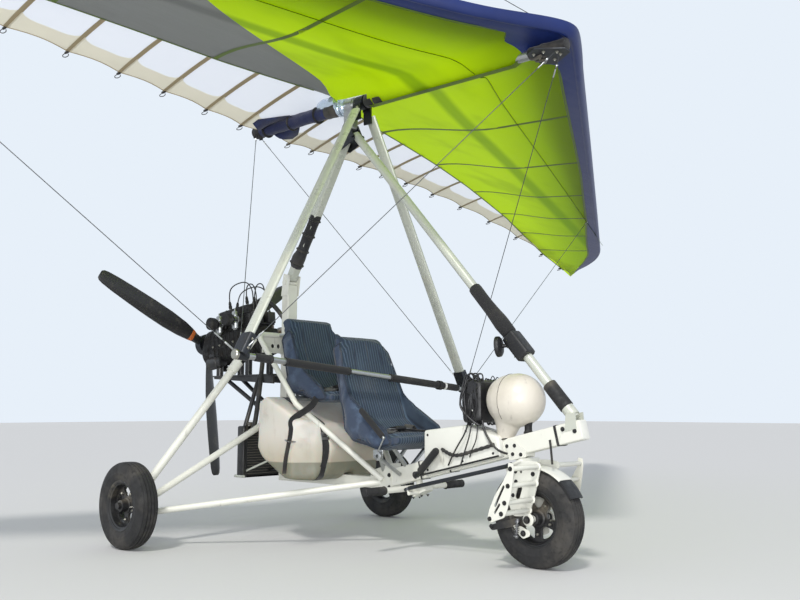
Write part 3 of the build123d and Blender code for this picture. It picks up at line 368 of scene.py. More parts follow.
def moulded(name, colour, rough, dust):
    """Moulded plastic or rubber with a fine grain and dust."""
    f = Finish(name, colour, rough)
    f.spots(DUST, 7.0, 6, 0.5, 0.8, dust)
    f.roughness(f.noise(40.0, 3), 0.3, 0.7, rough * 0.85, min(1, rough * 1.25))
    f.bump(f.noise(900.0, 2), 0.14, 0.0006)
    return f.done()


def foam(name, colour):
    """Closed-cell foam: small pores, pressed dents and a dusty bloom."""
    f = Finish(name, colour, 0.9, Sheen_Weight=0.06, Sheen_Roughness=0.6)
    f.spots(DUST, 9.0, 6, 0.5, 0.8, 0.08)
    f.tint((0, 0, 0, 1), f.ramp(f.cells(520.0), 0.5, 0.75, 0, 0.5))
    f.bump(f.cells(520.0), 0.35, 0.0009)
    f.bump(f.noise(26.0, 3), 0.4, 0.004)
    return f.done()


def woven(name, colour, thread, wear, dust, axes):
    """Woven cloth or webbing: two sets of threads, worn lighter in places."""
    f = Finish(name, colour, 0.85, Sheen_Weight=0.15, Sheen_Roughness=0.5)
    warp, weft = (f.bands(thread, axis) for axis in axes)
    weave = f.math('MULTIPLY', warp, weft)
    f.tint(darker(colour, 0.55), f.ramp(weave, 0.0, 0.5, 0.55, 0.0))
    f.spots(wear, 13.0, 6, 0.48, 0.72, 0.6)
    f.spots(DUST, 4.0, 5, 0.5, 0.8, dust)
    f.bump(weave, 0.3, thread * 0.5)
    return f.done()


def rubber_tyre():
    """Dusty tyre rubber, with darker scuffs."""
    f = Finish("tyre_rubber", srgb(32, 32, 33), 0.82)
    f.spots(srgb(82, 78, 72), 8.0, 6, 0.42, 0.72, 0.5)
    f.spots(srgb(16, 16, 16), 55.0, 4, 0.5, 0.75, 0.7)
    f.roughness(f.noise(20.0, 4), 0.3, 0.7, 0.7, 0.95)
    f.bump(f.noise(700.0, 3), 0.25, 0.0008)
    return f.done()


NOSE_X = 1.37
# EDGE_SWEEP: the leading edge's sweep, along which the sail's painted shade lies.
EDGE_SWEEP = 0.554
# The crossbar's line in the wing's frame, along which the sail's painted shadow lies.
CROSSBAR_X = 0.52
CROSSBAR_SWEEP = 0.355


def sail_cloth(name, colour, through, shade_colour, dirt, crossbar_shadow, front_shade=0.0):
    """Woven polyester sailcloth. The tubes inside the wing show on it as soft painted shadows: a band along
    the crossbar, and shade towards the leading edge.

    Its coordinates are the wing's: X forward along the keel and Y across the span.
    """
    f = Finish(name, colour, 0.45, on_wing=True)
    across = f.math('ABSOLUTE', f.axis("Y"))
    # Painted shadow: the cloth is darkened in a soft band along the line of the crossbar inside the wing.
    if crossbar_shadow:
        bar_line = f.math('SUBTRACT', CROSSBAR_X, f.math('MULTIPLY', across, CROSSBAR_SWEEP))
        from_bar = f.math('ABSOLUTE', f.math('SUBTRACT', f.axis("X"), bar_line))
        f.tint(shade_colour, f.ramp(from_bar, 0.02, 0.075, crossbar_shadow, 0.0))
    # Painted shade: the cloth grows darker towards the leading edge, where less light comes through it.
    if front_shade:
        edge_line = f.math('SUBTRACT', NOSE_X, f.math('MULTIPLY', across, EDGE_SWEEP))
        from_edge = f.math('SUBTRACT', edge_line, f.axis("X"))
        f.tint(shade_colour, f.ramp(from_edge, 0.12, 0.75, front_shade, 0.0))
    # Cloudy patches of the painted shade colour, stretched along the span.
    f.spots(shade_colour, 2.6, 3, 0.5, 0.75, 0.28, (1.0, 0.5, 1.0))
    f.spots(DUST, 1.4, 6, 0.5, 0.8, dirt)
    weave = f.math('MULTIPLY', f.bands(0.0016, 'X'), f.bands(0.0016, 'Y'))
    f.bump(weave, 0.16, 0.0005)
    f.bump(f.noise(5.5, 3, (1.0, 0.35, 1.0)), 0.35, 0.02)
    if through:
        return f.glow_through(through)
    return f.done()


FUEL_TOP = 0.400
FUEL_EDGE = 0.003


def tank_plastic():
    """Milky moulded plastic, with the fuel showing dark behind it up to its level."""
    f = Finish("tank_plastic", srgb(206, 202, 192), 0.42, Subsurface_Weight=0.3, Subsurface_Scale=0.03,
               Transmission_Weight=0.08, IOR=1.5)
    f.tint(srgb(160, 148, 118), f.ramp(f.axis("Z"), FUEL_TOP, FUEL_TOP + 0.16, 0.55, 0.0))
    f.tint(srgb(104, 106, 88), f.ramp(f.axis("Z"), FUEL_TOP - FUEL_EDGE, FUEL_TOP + FUEL_EDGE, 0.8, 0.0))
    f.spots(GRIME, 7.0, 7, 0.58, 0.82, 0.35)
    f.spots(DUST, 28.0, 5, 0.55, 0.8, 0.35, (1, 1, 0.3))
    f.roughness(f.noise(24.0, 4), 0.3, 0.7, 0.34, 0.6)
    f.bump(f.noise(60.0, 3), 0.12, 0.003)
    return f.done()


def exhaust_steel():
    """Steel that heat and rust have browned."""
    f = Finish("exhaust_steel", srgb(150, 138, 124), 0.45, 1.0)
    f.spots(srgb(98, 62, 38), 12.0, 7, 0.45, 0.7, 0.85)
    f.spots(srgb(60, 44, 36), 60.0, 5, 0.55, 0.7, 0.7)
    f.roughness(f.noise(30.0, 4), 0.3, 0.7, 0.35, 0.75)
    f.bump(f.noise(180.0, 4), 0.3, 0.0012)
    return f.done()


def cast_alloy(name, colour, rough):
    """Rough cast metal with oily dirt in its pores."""
    f = Finish(name, colour, rough, 0.9)
    f.spots(srgb(52, 46, 38), 16.0, 7, 0.48, 0.74, 0.8)
    f.roughness(f.noise(50.0, 4), 0.3, 0.7, rough * 0.8, min(1, rough * 1.5))
    f.bump(f.noise(330.0, 4), 0.3, 0.0012)
    return f.done()


def denim(name, colour, pale):
    """Ribbed seat cloth: fine vertical cords with a twill between them, faded on the crowns."""
    f = Finish(name, colour, 0.9, Sheen_Weight=0.12, Sheen_Roughness=0.45)
    cords = f.bands(0.017, 'Y')
    f.tint(pale, f.ramp(cords, 0.35, 0.95, 0.0, 0.6))
    twill = f.bands(0.0016, 'DIAGONAL')
    f.tint(darker(colour, 0.5), f.ramp(twill, 0.1, 0.6, 0.12, 0.0))
    f.spots(pale, 9.0, 6, 0.5, 0.8, 0.3)
    f.spots(DUST, 3.5, 6, 0.5, 0.8, 0.08)
    f.bump(cords, 0.5, 0.0025)
    f.bump(twill, 0.12, 0.0006)
    return f.done()


def blade_composite():
    """Dark composite under a clear coat."""
    f = Finish("blade_composite", srgb(26, 26, 28), 0.4, Coat_Weight=0.3, Coat_Roughness=0.2)
    f.tint(srgb(66, 64, 62), f.ramp(f.bands(0.004, 'DIAGONAL', 2.0), 0.3, 0.8, 0, 0.2))
    f.spots(DUST, 18.0, 6, 0.55, 0.8, 0.15)
    f.bump(f.noise(240.0, 3), 0.1, 0.0008)
    return f.done()


def radiator_core():
    """Fine fins between rows of tubes, with painted shade in the gaps between the fins."""
    f = Finish("radiator_core", srgb(46, 46, 46), 0.55, 0.6)
    fins = f.bands(0.004, 'Y')
    rows = f.bands(0.014, 'Z')
    f.tint(srgb(120, 116, 106), f.ramp(rows, 0.75, 0.95, 0, 0.8))
    # Painted shade: near black in the gaps between the fins.
    f.tint(srgb(10, 10, 10), f.ramp(fins, 0.0, 0.45, 0.8, 0.0))
    f.spots(DUST, 6.0, 5, 0.5, 0.8, 0.35)
    f.bump(fins, 0.6, 0.002)
    f.bump(rows, 0.6, 0.003)
    return f.done()


def wire_steel():
    """Laid steel wire."""
    f = Finish("wire_steel", srgb(92, 94, 96), 0.45, 0.85)
    f.tint(srgb(36, 36, 36), f.ramp(f.bands(0.004, 'DIAGONAL'), 0.2, 0.7, 0.5, 0.0))
    f.bump(f.bands(0.004, 'DIAGONAL'), 0.4, 0.0006)
    return f.done()


M = {
    "white": paint("white_paint", srgb(212, 212, 202), 0.36, 0.35, 0.45),
    "tube": paint("tube_paint", srgb(184, 187, 176), 0.32, 0.25, 0.35, 0.15),
    "panel": paint("white_panel", srgb(214, 214, 206), 0.42, 0.3, 0.5),
    "pod": paint("pod_gelcoat", srgb(204, 198, 186), 0.36, 0.3, 0.3),
    "black_paint": paint("black_paint", srgb(24, 24, 26), 0.42, 0.25, 0.2),
    "rubber": moulded("rubber", srgb(26, 26, 27), 0.7, 0.25),
    "plastic": moulded("black_plastic", srgb(22, 22, 24), 0.5, 0.22),
    "glass": Finish("dial_glass", srgb(20, 22, 26), 0.08, Coat_Weight=1.0).done(),
    "dial": moulded("dial_face", srgb(16, 16, 18), 0.4, 0.1),
    "mark": moulded("dial_mark", srgb(225, 225, 220), 0.5, 0.05),
    "foam": foam("black_foam", srgb(24, 24, 26)),
    "cover": woven("black_cover", srgb(30, 30, 33), 0.0014, srgb(58, 58, 62), 0.2, "YZ"),
    "web": woven("strap_web", srgb(28, 28, 30), 0.0018, srgb(64, 62, 60), 0.3, "YZ"),
    "alloy": metal("bare_aluminium", srgb(178, 180, 180), 0.34, (1, 8, 1), 0.35),
    "steel": metal("steel", srgb(140, 140, 142), 0.4, (8, 1, 1), 0.4),
    "bolt": metal("zinc_bolt", srgb(168, 166, 156), 0.36, (1, 1, 6), 0.5, 0.15),
    "dark_steel": metal("dark_steel", srgb(70, 72, 76), 0.42, (6, 1, 1), 0.45),
    "tyre": rubber_tyre(),
    "rim": paint("black_rim", srgb(26, 26, 27), 0.45, 0.55, 0.3),
    "tank": tank_plastic(),
    # The engine's castings: cast metal made very dark as painted shade, for the shadow that the engine lies
    # in.
    "cast_shade_dark": cast_alloy("engine_shade_dark", srgb(58, 58, 58), 0.6),
    "exhaust": exhaust_steel(),
    "core": radiator_core(),
    "blade": blade_composite(),
    "band": moulded("orange_band", srgb(176, 92, 40), 0.45, 0.2),
    "lead": moulded("plug_lead", srgb(30, 30, 32), 0.4, 0.1),
    "hose": moulded("hose_rubber", srgb(34, 34, 34), 0.6, 0.3),
    "wire": wire_steel(),
    "cloth_blue": denim("seat_cloth", srgb(34, 48, 64), srgb(78, 96, 114)),
    "cloth_side": woven("seat_side", srgb(48, 62, 84), 0.0016, srgb(82, 100, 124), 0.08, "XZ"),
    "piping": moulded("piping", srgb(34, 44, 60), 0.6, 0.2),
    # Sail cloths: colour, share of light let through, painted shade colour, dust, then the strength of the
    # painted crossbar shadow and of the painted shade near the leading edge.
    "mylar": sail_cloth("sail_blue", srgb(6, 32, 92), 0.0, srgb(3, 16, 56), 0.03, 0.0),
    "yellow": sail_cloth("sail_yellow", srgb(212, 244, 0), 0.68, srgb(112, 156, 0), 0.0, 0.6, 0.6),
    "grey": sail_cloth("sail_grey", srgb(128, 130, 126), 0.3, srgb(72, 74, 72), 0.08, 0.5),
    "white_cloth": sail_cloth("sail_white", srgb(232, 234, 240), 0.55, srgb(204, 208, 222), 0.03, 0.0),
    "hem": sail_cloth("sail_hem", srgb(238, 232, 212), 0.5, srgb(206, 194, 164), 0.12, 0.0),
    "tape": sail_cloth("batten_tape", srgb(172, 156, 124), 0.3, srgb(120, 104, 76), 0.15, 0.0),
    # Olive: the yellow darkened as painted shade, for pockets, seams and the keel's line, where doubled cloth
    # or the keel tube lets less light through; it also takes the painted crossbar shadow and edge shade.
    "olive_shade": sail_cloth("pocket_olive", srgb(92, 118, 0), 0.2, srgb(62, 84, 0), 0.0, 0.6, 0.4),
    "pocket": woven("pocket_cloth", srgb(10, 24, 70), 0.0014, srgb(24, 42, 98), 0.1, "XZ"),
    "clear": Finish("clear_plastic", srgb(190, 206, 224), 0.12, 0.6, Coat_Weight=1.0).done(),
}


# Mesh helpers


CREASE = radians(38)


def piece(bm, name, material, body, place, replaces=()):
    """Makes an object of the mesh, puts it in place, and hangs it on its body."""
    mesh = bpy.data.meshes.new(name)
    bmesh.ops.recalc_face_normals(bm, faces=bm.faces)
    bm.to_mesh(mesh)
    bm.free()
    mesh.transform(place)
    for polygon in mesh.polygons:
        polygon.use_smooth = True
    ob = bpy.data.objects.new(name, mesh)
    scene.collection.objects.link(ob)
    mesh.materials.append(M[material])
    crease = ob.modifiers.new("edges", 'EDGE_SPLIT')
    crease.split_angle = CREASE
    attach(ob, body)
    if replaces:
        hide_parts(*replaces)
    return ob


def frame_at(origin, direction, side=(0, 1, 0)):
    """A matrix whose Z runs along the direction and whose X lies along side."""
    z = Vector(direction).normalized()
    x = Vector(side) - z * Vector(side).dot(z)
    if x.length < 1e-5:
        x = Vector((1, 0, 0)) - z * z.x
    x.normalize()
    y = z.cross(x)
    return Matrix.Translation(origin) @ Matrix((x, y, z)).transposed().to_4x4()


def lathe(bm, place, profile, sides):
    """Turns a profile of (along, radius) points about the Z axis of place."""
    rings = []
    for along, radius in profile:
        outline = disc(radius, sides) if radius > 1e-6 else [(0, 0)]
        rings.append([bm.verts.new(place @ Vector((x, y, along))) for x, y in outline])
    for low, high in zip(rings, rings[1:]):
        for i in range(sides):
            j = (i + 1) % sides
            corners = [low[i % len(low)], low[j % len(low)], high[j % len(high)], high[i % len(high)]]
            corners = list(dict.fromkeys(corners))
            if len(corners) > 2:
                bm.faces.new(corners)


def bezel(half, radius, soft):
    """The profile of a closed round bar of that half length with softened ends."""
    points = [(-half, 0), (-half, radius - soft), (-half + soft * 0.3, radius - soft * 0.3),
              (-half + soft, radius)]
    return points + [(-along, r) for along, r in points[::-1]]


def bar(bm, start, end, radius, sides, soft=0.0015):
    """A straight round bar with softened ends."""
    start, end = Vector(start), Vector(end)
    lathe(bm, frame_at((start + end) / 2, end - start), bezel((end - start).length / 2, radius, soft), sides)


def smooth_path(points, steps=6):
    """A smooth line through the points."""
    points = [Vector(p) for p in points]
    if len(points) < 3:
        return points
    line = []
    ends = [2 * points[0] - points[1]] + points + [2 * points[-1] - points[-2]]
    for a, b, c, d in zip(ends, ends[1:], ends[2:], ends[3:]):
        for i in range(steps):
            t = i / steps
            line.append(0.5 * (2 * b + (c - a) * t + (2 * a - 5 * b + 4 * c - d) * t * t
                               + (3 * b - a - 3 * c + d) * t ** 3))
    return line + [points[-1]]


def join_rings(bm, rings):
    """Faces between closed rings of vertices that all have the same count."""
    for low, high in zip(rings, rings[1:]):
        for k in range(len(low)):
            m = (k + 1) % len(low)
            bm.faces.new((low[k], low[m], high[m], high[k]))


def hose(bm, points, radius, sides=12, section=None, closed=False):
    """A tube, or a band of the given section, along a line of points."""
    points = [Vector(p) for p in points]
    count = len(points)
    radii = radius if hasattr(radius, "__len__") else [radius] * count
    side = None
    rings = []
    for i, point in enumerate(points):
        ahead = points[(i + 1) % count] if closed else points[min(i + 1, count - 1)]
        back = points[i - 1] if (closed or i) else points[0]
        along = (ahead - back).normalized()
        if side is None:
            side = along.orthogonal() if section is None else Vector((0, 1, 0))
        side = (side - along * side.dot(along)).normalized()
        up = along.cross(side)
        ring = disc(radii[i], sides) if section is None else section
        rings.append([bm.verts.new(point + side * u + up * v) for u, v in ring])
    join_rings(bm, rings + rings[:1] if closed else rings)
    if not closed:
        bm.faces.new(rings[0][::-1])
        bm.faces.new(rings[-1])


def ridge(foot, crest, high):
    """The section of a low seam that hangs below its line, by half widths."""
    return [(-foot, 0), (-crest, -high), (crest, -high), (foot, 0)]


def flat_band(half, thin):
    """The section of a flat band, by half its width and half its thickness."""
    return [(-half, -thin), (half, -thin), (half, thin), (-half, thin)]


def spin(bm, at, way, profile, sides, side=(0, 1, 0)):
    """Turns a profile about the axis that starts at a point and runs one way."""
    lathe(bm, frame_at(at, way, side), profile, sides)


def upside_down(at):
    """A place whose Z points down."""
    return Matrix.Translation(at) @ Matrix.Rotation(pi, 4, 'X')


def block(bm, place, size, soft, segments=2):
    """A box with softened edges, about a point or about the origin of place."""
    if not isinstance(place, Matrix):
        place = Matrix.Translation(place)
    made = bmesh.ops.create_cube(bm, size=1.0)
    verts = made["verts"]
    for v in verts:
        v.co = Vector((v.co.x * size[0], v.co.y * size[1], v.co.z * size[2]))
    edges = list({e for v in verts for e in v.link_edges})
    if soft:
        out = bmesh.ops.bevel(bm, geom=edges, offset=soft, segments=segments, affect='EDGES', profile=0.5)
        verts = list({v for f in out["faces"] for v in f.verts} | {v for v in verts if v.is_valid})
    bmesh.ops.transform(bm, matrix=place, verts=verts)


def hex_bolt(bm, place, size, height=0.006, washer=True):
    """A hexagon head on a washer, standing on the XY plane of place."""
    if washer:
        lathe(bm, place, [(0, 0), (0, size * 1.3), (0.0015, size * 1.3), (0.0015, 0)], 18)
    lathe(bm, place, [(0.001, size), (height, size), (height + 0.0012, size * 0.82), (height + 0.0012, 0)], 6)
    lathe(bm, place, [(height, size * 0.5), (height + 0.004, size * 0.5), (height + 0.005, size * 0.4),
                      (height + 0.005, 0)], 12)


def rounded(points, radius, steps=4):
    """An outline whose corners are rounded."""
    line = []
    count = len(points)
    for i, point in enumerate(points):
        p, a, b = Vector(point), Vector(points[i - 1]), Vector(points[(i + 1) % count])
        r = radius[i] if hasattr(radius, "__len__") else radius
        r = min(r, (a - p).length * 0.45, (b - p).length * 0.45)
        start, end = p + (a - p).normalized() * r, p + (b - p).normalized() * r
        for k in range(steps + 1):
            t = k / steps
            line.append(start * (1 - t) ** 2 + p * 2 * t * (1 - t) + end * t * t)
    return [tuple(v) for v in line]


def even(low, high, count):
    """That many equal steps from low to high, both ends among them."""
    return [low + (high - low) * i / count for i in range(count + 1)]


def round_angles(count):
    """Angles in equal steps once round, with the last step left open."""
    return even(0, 2 * pi, count)[:-1]


def disc(radius, sides):
    """A round outline about the origin."""
    return [(radius * cos(2 * pi * k / sides), radius * sin(2 * pi * k / sides)) for k in range(sides)]


def slot_of(start, end, radius):
    """A slot's outline between two centres."""
    start, end = Vector(start), Vector(end)
    turn = atan2(end.y - start.y, end.x - start.x)
    line = []
    for centre, first in ((end, turn - pi / 2), (start, turn + pi / 2)):
        for k in range(9):
            a = first + pi * k / 8
            line.append((centre.x + radius * cos(a), centre.y + radius * sin(a)))
    return line


def sheet_metal(bm, place, outline, holes, thick, soft):
    """A plate with holes through it, drawn in the XY plane of place, with softened edges."""
    curve = bpy.data.curves.new("outline", 'CURVE')
    curve.dimensions = '2D'
    curve.fill_mode = 'BOTH'
    curve.extrude = max(thick / 2 - soft, 0.0001)
    curve.bevel_depth = soft
    curve.bevel_resolution = 1
    curve.offset = -soft
    for loop in [outline] + list(holes):
        spline = curve.splines.new('POLY')
        spline.points.add(len(loop) - 1)
        for point, (u, v) in zip(spline.points, loop):
            point.co = (u, v, 0, 1)
        spline.use_cyclic_u = True
    carrier = bpy.data.objects.new("outline", curve)
    mesh = bpy.data.meshes.new_from_object(carrier)
    mesh.transform(place)
    bm.from_mesh(mesh)
    bpy.data.objects.remove(carrier)
    bpy.data.curves.remove(curve)
    bpy.data.meshes.remove(mesh)


def table_at(table, y, column):
    """A column of a station table at y, by straight lines between its rows."""
    for low, high in zip(table, table[1:]):
        if y <= high[0]:
            share = (y - low[0]) / (high[0] - low[0])
            return low[column] + (high[column] - low[column]) * share
    return table[-1][column]


def repaint(node, material):
    """Gives a CAD node its procedural material."""
    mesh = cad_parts[node].data
    if not len(mesh.materials):
        mesh.materials.append(M[material])
    for i in range(len(mesh.materials)):
        mesh.materials[i] = M[material]


# Wing, in its own frame: the origin is on the keel tube over the hang bolt

HALF_SPAN = 4.95
ROOT_CHORD = 2.055
SWEEP = tan(radians(29))
RAKE_FROM = 4.15
TIP_RAKE = 0.26
KEEL_R = 0.025
KEEL_BORE = 0.0255
STATIONS = [
    # y, leading-edge radius, crest above the chord line
    (0.0, 0.046, 0.150),
    (1.3, 0.044, 0.120),
    (3.0, 0.038, 0.078),
    (4.4, 0.028, 0.036),
    (HALF_SPAN, 0.018, 0.014)
]
BORDER = [
    # y, share of the chord where the lower cloth ends
    (0.0, 0.745), (0.6, 0.775), (1.4, 0.79), (2.0, 0.81), (2.9, 0.86), (3.9, 0.965), (4.1, 0.985),
    (HALF_SPAN, 0.985)]
BLUE_UNDER = [
    # y, share of the chord where the blue edge ends below
    (0.0, 0.105),
    (0.13, 0.095),
    (0.2, 0.045),
    (1.8, 0.042),
    (3.0, 0.075),
    (4.2, 0.19),
    (4.6, 0.30),
    (HALF_SPAN, 0.52)
]
BLUE_OVER = 0.13
GREY_FROM = -0.130
GREY_SLANT = 0.345
BATTENS = [0.18, 0.40, 0.65, 0.90, 1.17, 1.47, 1.85, 2.30, 2.83, 3.42, 4.07, 4.62]
UNDER_BATTENS = [0.63, 1.40, 2.12, 2.76, 3.35, 3.92]
SKIN_GAP = 0.006
BEND_FROM = 0.03


def edge_at(y):
    """The leading edge's centre line."""
    out = abs(y)
    rake = TIP_RAKE * max(0.0, (out - RAKE_FROM) / (HALF_SPAN - RAKE_FROM)) ** 2
    rise = 0.045 * exp(-(out / 0.3) ** 2)
    return Vector((NOSE_X - hypot(out * SWEEP, 0.035) - rake, y, 0.030 + 0.037 * out + rise))


def trail_at(y):
    """The trailing edge, where a batten holds it out."""
    out = abs(y)
    return Vector((NOSE_X - ROOT_CHORD - 0.152 * out - 0.012 * out * out, y,
                   -0.048 + 0.136 * out - 0.020 * out * out))


def scallop(y):
    """How far the trailing edge draws in between two battens, in metres."""
    out = abs(y)
    stops = [0.0] + BATTENS + [HALF_SPAN]
    for low, high in zip(stops, stops[1:]):
        if out <= high:
            share = (out - low) / (high - low)
            return 0.034 * sin(pi * share) * min(1.0, (high - low) / 0.3)
    return 0.0


def over_skin(y, s):
    """A point of the upper cloth at a share of the chord."""
    out = abs(y)
    front, back = edge_at(y), trail_at(y)
    rise = 4 * table_at(STATIONS, out, 2) * s * (1 - s)
    radius = table_at(STATIONS, out, 1)
    point = front.lerp(back, s)
    point.x += scallop(y) * max(0.0, s / 0.15 - 5.667)
    point.z += rise + radius * max(0.0, 1 - s / 0.16) ** 2 * 0.9
    if s > 0.3:
        lift = max(0.0, KEEL_R + 0.012 - point.z)
        point.z += lift * exp(-(out / 0.06) ** 2)
    return point


def under_skin(y, s):
    """A point of the lower cloth: straight from the edge, then up to meet the upper cloth."""
    out = abs(y)
    front, back = edge_at(y), trail_at(y)
    radius = table_at(STATIONS, out, 1)
    end = table_at(BORDER, out, 1)
    point = front.lerp(back, s)
    meet = over_skin(y, end).z - SKIN_GAP - front.lerp(back, end).z
    share = min(1.0, s / end)
    blend = share * share * (3 - 2 * share)
    low = -radius * (0.85 - 0.5 * share)
    point.z += low + (meet - low) * max(0.0, (blend - 0.35) / 0.65) ** 1.6
    keel = -KEEL_R - 0.010
    if s < 0.74:
        dip = max(0.0, point.z - keel)
        before_end = min(1.0, (0.74 - s) / 0.06)
        past_nose = min(1.0, max(0.0, s - 0.09) / 0.04)
        point.z -= dip * exp(-(out / 0.075) ** 2) * before_end * past_nose
    return point


def span_steps(low, high, step=0.055):
    """Values of y from low to high, with each batten among them."""
    values = {low, high}
    count = max(2, int((high - low) / step))
    values |= set(even(low, high, count))
    for batten in BATTENS:
        for y in (batten, -batten):
            if low < y < high:
                values.add(y)
    ordered = sorted(values)
    kept = [ordered[0]]
    for y in ordered[1:]:
        if y - kept[-1] > 0.004:
            kept.append(y)
    kept[-1] = high
    return kept


def cloth_grid(bm, ys, shares, surface, skip):
    """A grid over the wing; shares(y) gives the chord shares of one column."""
    columns = []
    for y in ys:
        columns.append([bm.verts.new(surface(y, s)) for s in shares(y)])
    for left, right in zip(columns, columns[1:]):
        for k in range(len(left) - 1):
            middle = (left[k].co + right[k + 1].co) / 2
            if skip(middle):
                continue
            bm.faces.new((left[k], right[k], right[k + 1], left[k + 1]))
    loose = [v for v in bm.verts if not v.link_faces]
    bmesh.ops.delete(bm, geom=loose, context='VERTS')


def hang_opening(point):
    """Whether a point of the lower cloth falls in the opening round the hang point."""
    return abs(point.y) < 0.075 and -0.10 < point.x < 0.13


def post_opening(point):
    """Whether a point of the upper cloth falls in the hole for the kingpost."""
    return hypot(point.x - 0.09, point.y) < 0.03


def grey_border(y):
    """On the right wing the yellow ends at a slanting line, where this share of the chord is."""
    if y >= 0:
        return 9.0
    front, back = edge_at(y).x, trail_at(y).x
    return max(0.0, (front - GREY_FROM + GREY_SLANT * y) / (front - back))


def stitch(bm, rows):
    """Faces between rows of vertices that all have the same count."""
    for low, high in zip(rows, rows[1:]):
        for k in range(len(low) - 1):
            bm.faces.new((low[k], high[k], high[k + 1], low[k + 1]))


def nose_bend(front, radius):
    """Points round the front of the leading edge, from above to below."""
    line = []
    for k in range(1, 8):
        a = pi * (0.35 + 0.95 * k / 8)
        line.append(front + Vector((radius * (0.15 + sin(a) * 0.6), 0, radius * cos(a) * 0.92)))
    return line


def make_sail():
    """The sail's cloths: the upper skin, two colours of lower skin and the blue leading edge."""
    over = bmesh.new()
    cloth_grid(over, span_steps(-HALF_SPAN, HALF_SPAN), lambda y: even(BLUE_OVER, 1.0, 26), over_skin,
               post_opening)
    upper = piece(over, "sail_upper", "white_cloth", "wing", WING, replaces=("sail",))

    def yellow_shares(y):
        end = table_at(BORDER, abs(y), 1)
        return even(table_at(BLUE_UNDER, abs(y), 1), max(end, table_at(BLUE_UNDER, abs(y), 1) + 0.01), 22)

    left = bmesh.new()
    cloth_grid(left, span_steps(0.0, HALF_SPAN), yellow_shares, under_skin, hang_opening)

    def right_yellow(y):
        first, end = table_at(BLUE_UNDER, abs(y), 1), table_at(BORDER, abs(y), 1)
        return even(first, min(max(grey_border(y), first + 0.001), end), 22)

    def right_grey(y):
        first, end = table_at(BLUE_UNDER, abs(y), 1), table_at(BORDER, abs(y), 1)
        return even(min(max(grey_border(y), first), end - 0.002), end, 22)

    cloth_grid(left, span_steps(-1.72, 0.0), right_yellow, under_skin, hang_opening)
    bmesh.ops.remove_doubles(left, verts=left.verts, dist=0.0005)
    yellow = piece(left, "sail_lower_yellow", "yellow", "wing", WING)
    grey = bmesh.new()
    cloth_grid(grey, span_steps(-HALF_SPAN, -0.004), right_grey, under_skin, hang_opening)
    right = piece(grey, "sail_lower_grey", "grey", "wing", WING)

    edge = bmesh.new()
    columns = []
    for y in span_steps(-HALF_SPAN, HALF_SPAN):
        blue = table_at(BLUE_UNDER, abs(y), 1)
        column = [over_skin(y, s) for s in even(BLUE_OVER, BEND_FROM, 5)]
        column += nose_bend(edge_at(y), table_at(STATIONS, abs(y), 1))
        column += [under_skin(y, s) for s in even(min(BEND_FROM, blue * 0.5), blue, 5)]
        columns.append([edge.verts.new(p) for p in column])
    stitch(edge, columns)
    for column in (columns[0], columns[-1]):
        edge.faces.new(column)
    front = piece(edge, "sail_leading_edge", "mylar", "wing", WING)
    return upper


POCKET_SECTION = [(-0.013, 0), (-0.009, -0.006), (0, -0.0085), (0.009, -0.006), (0.013, 0)]


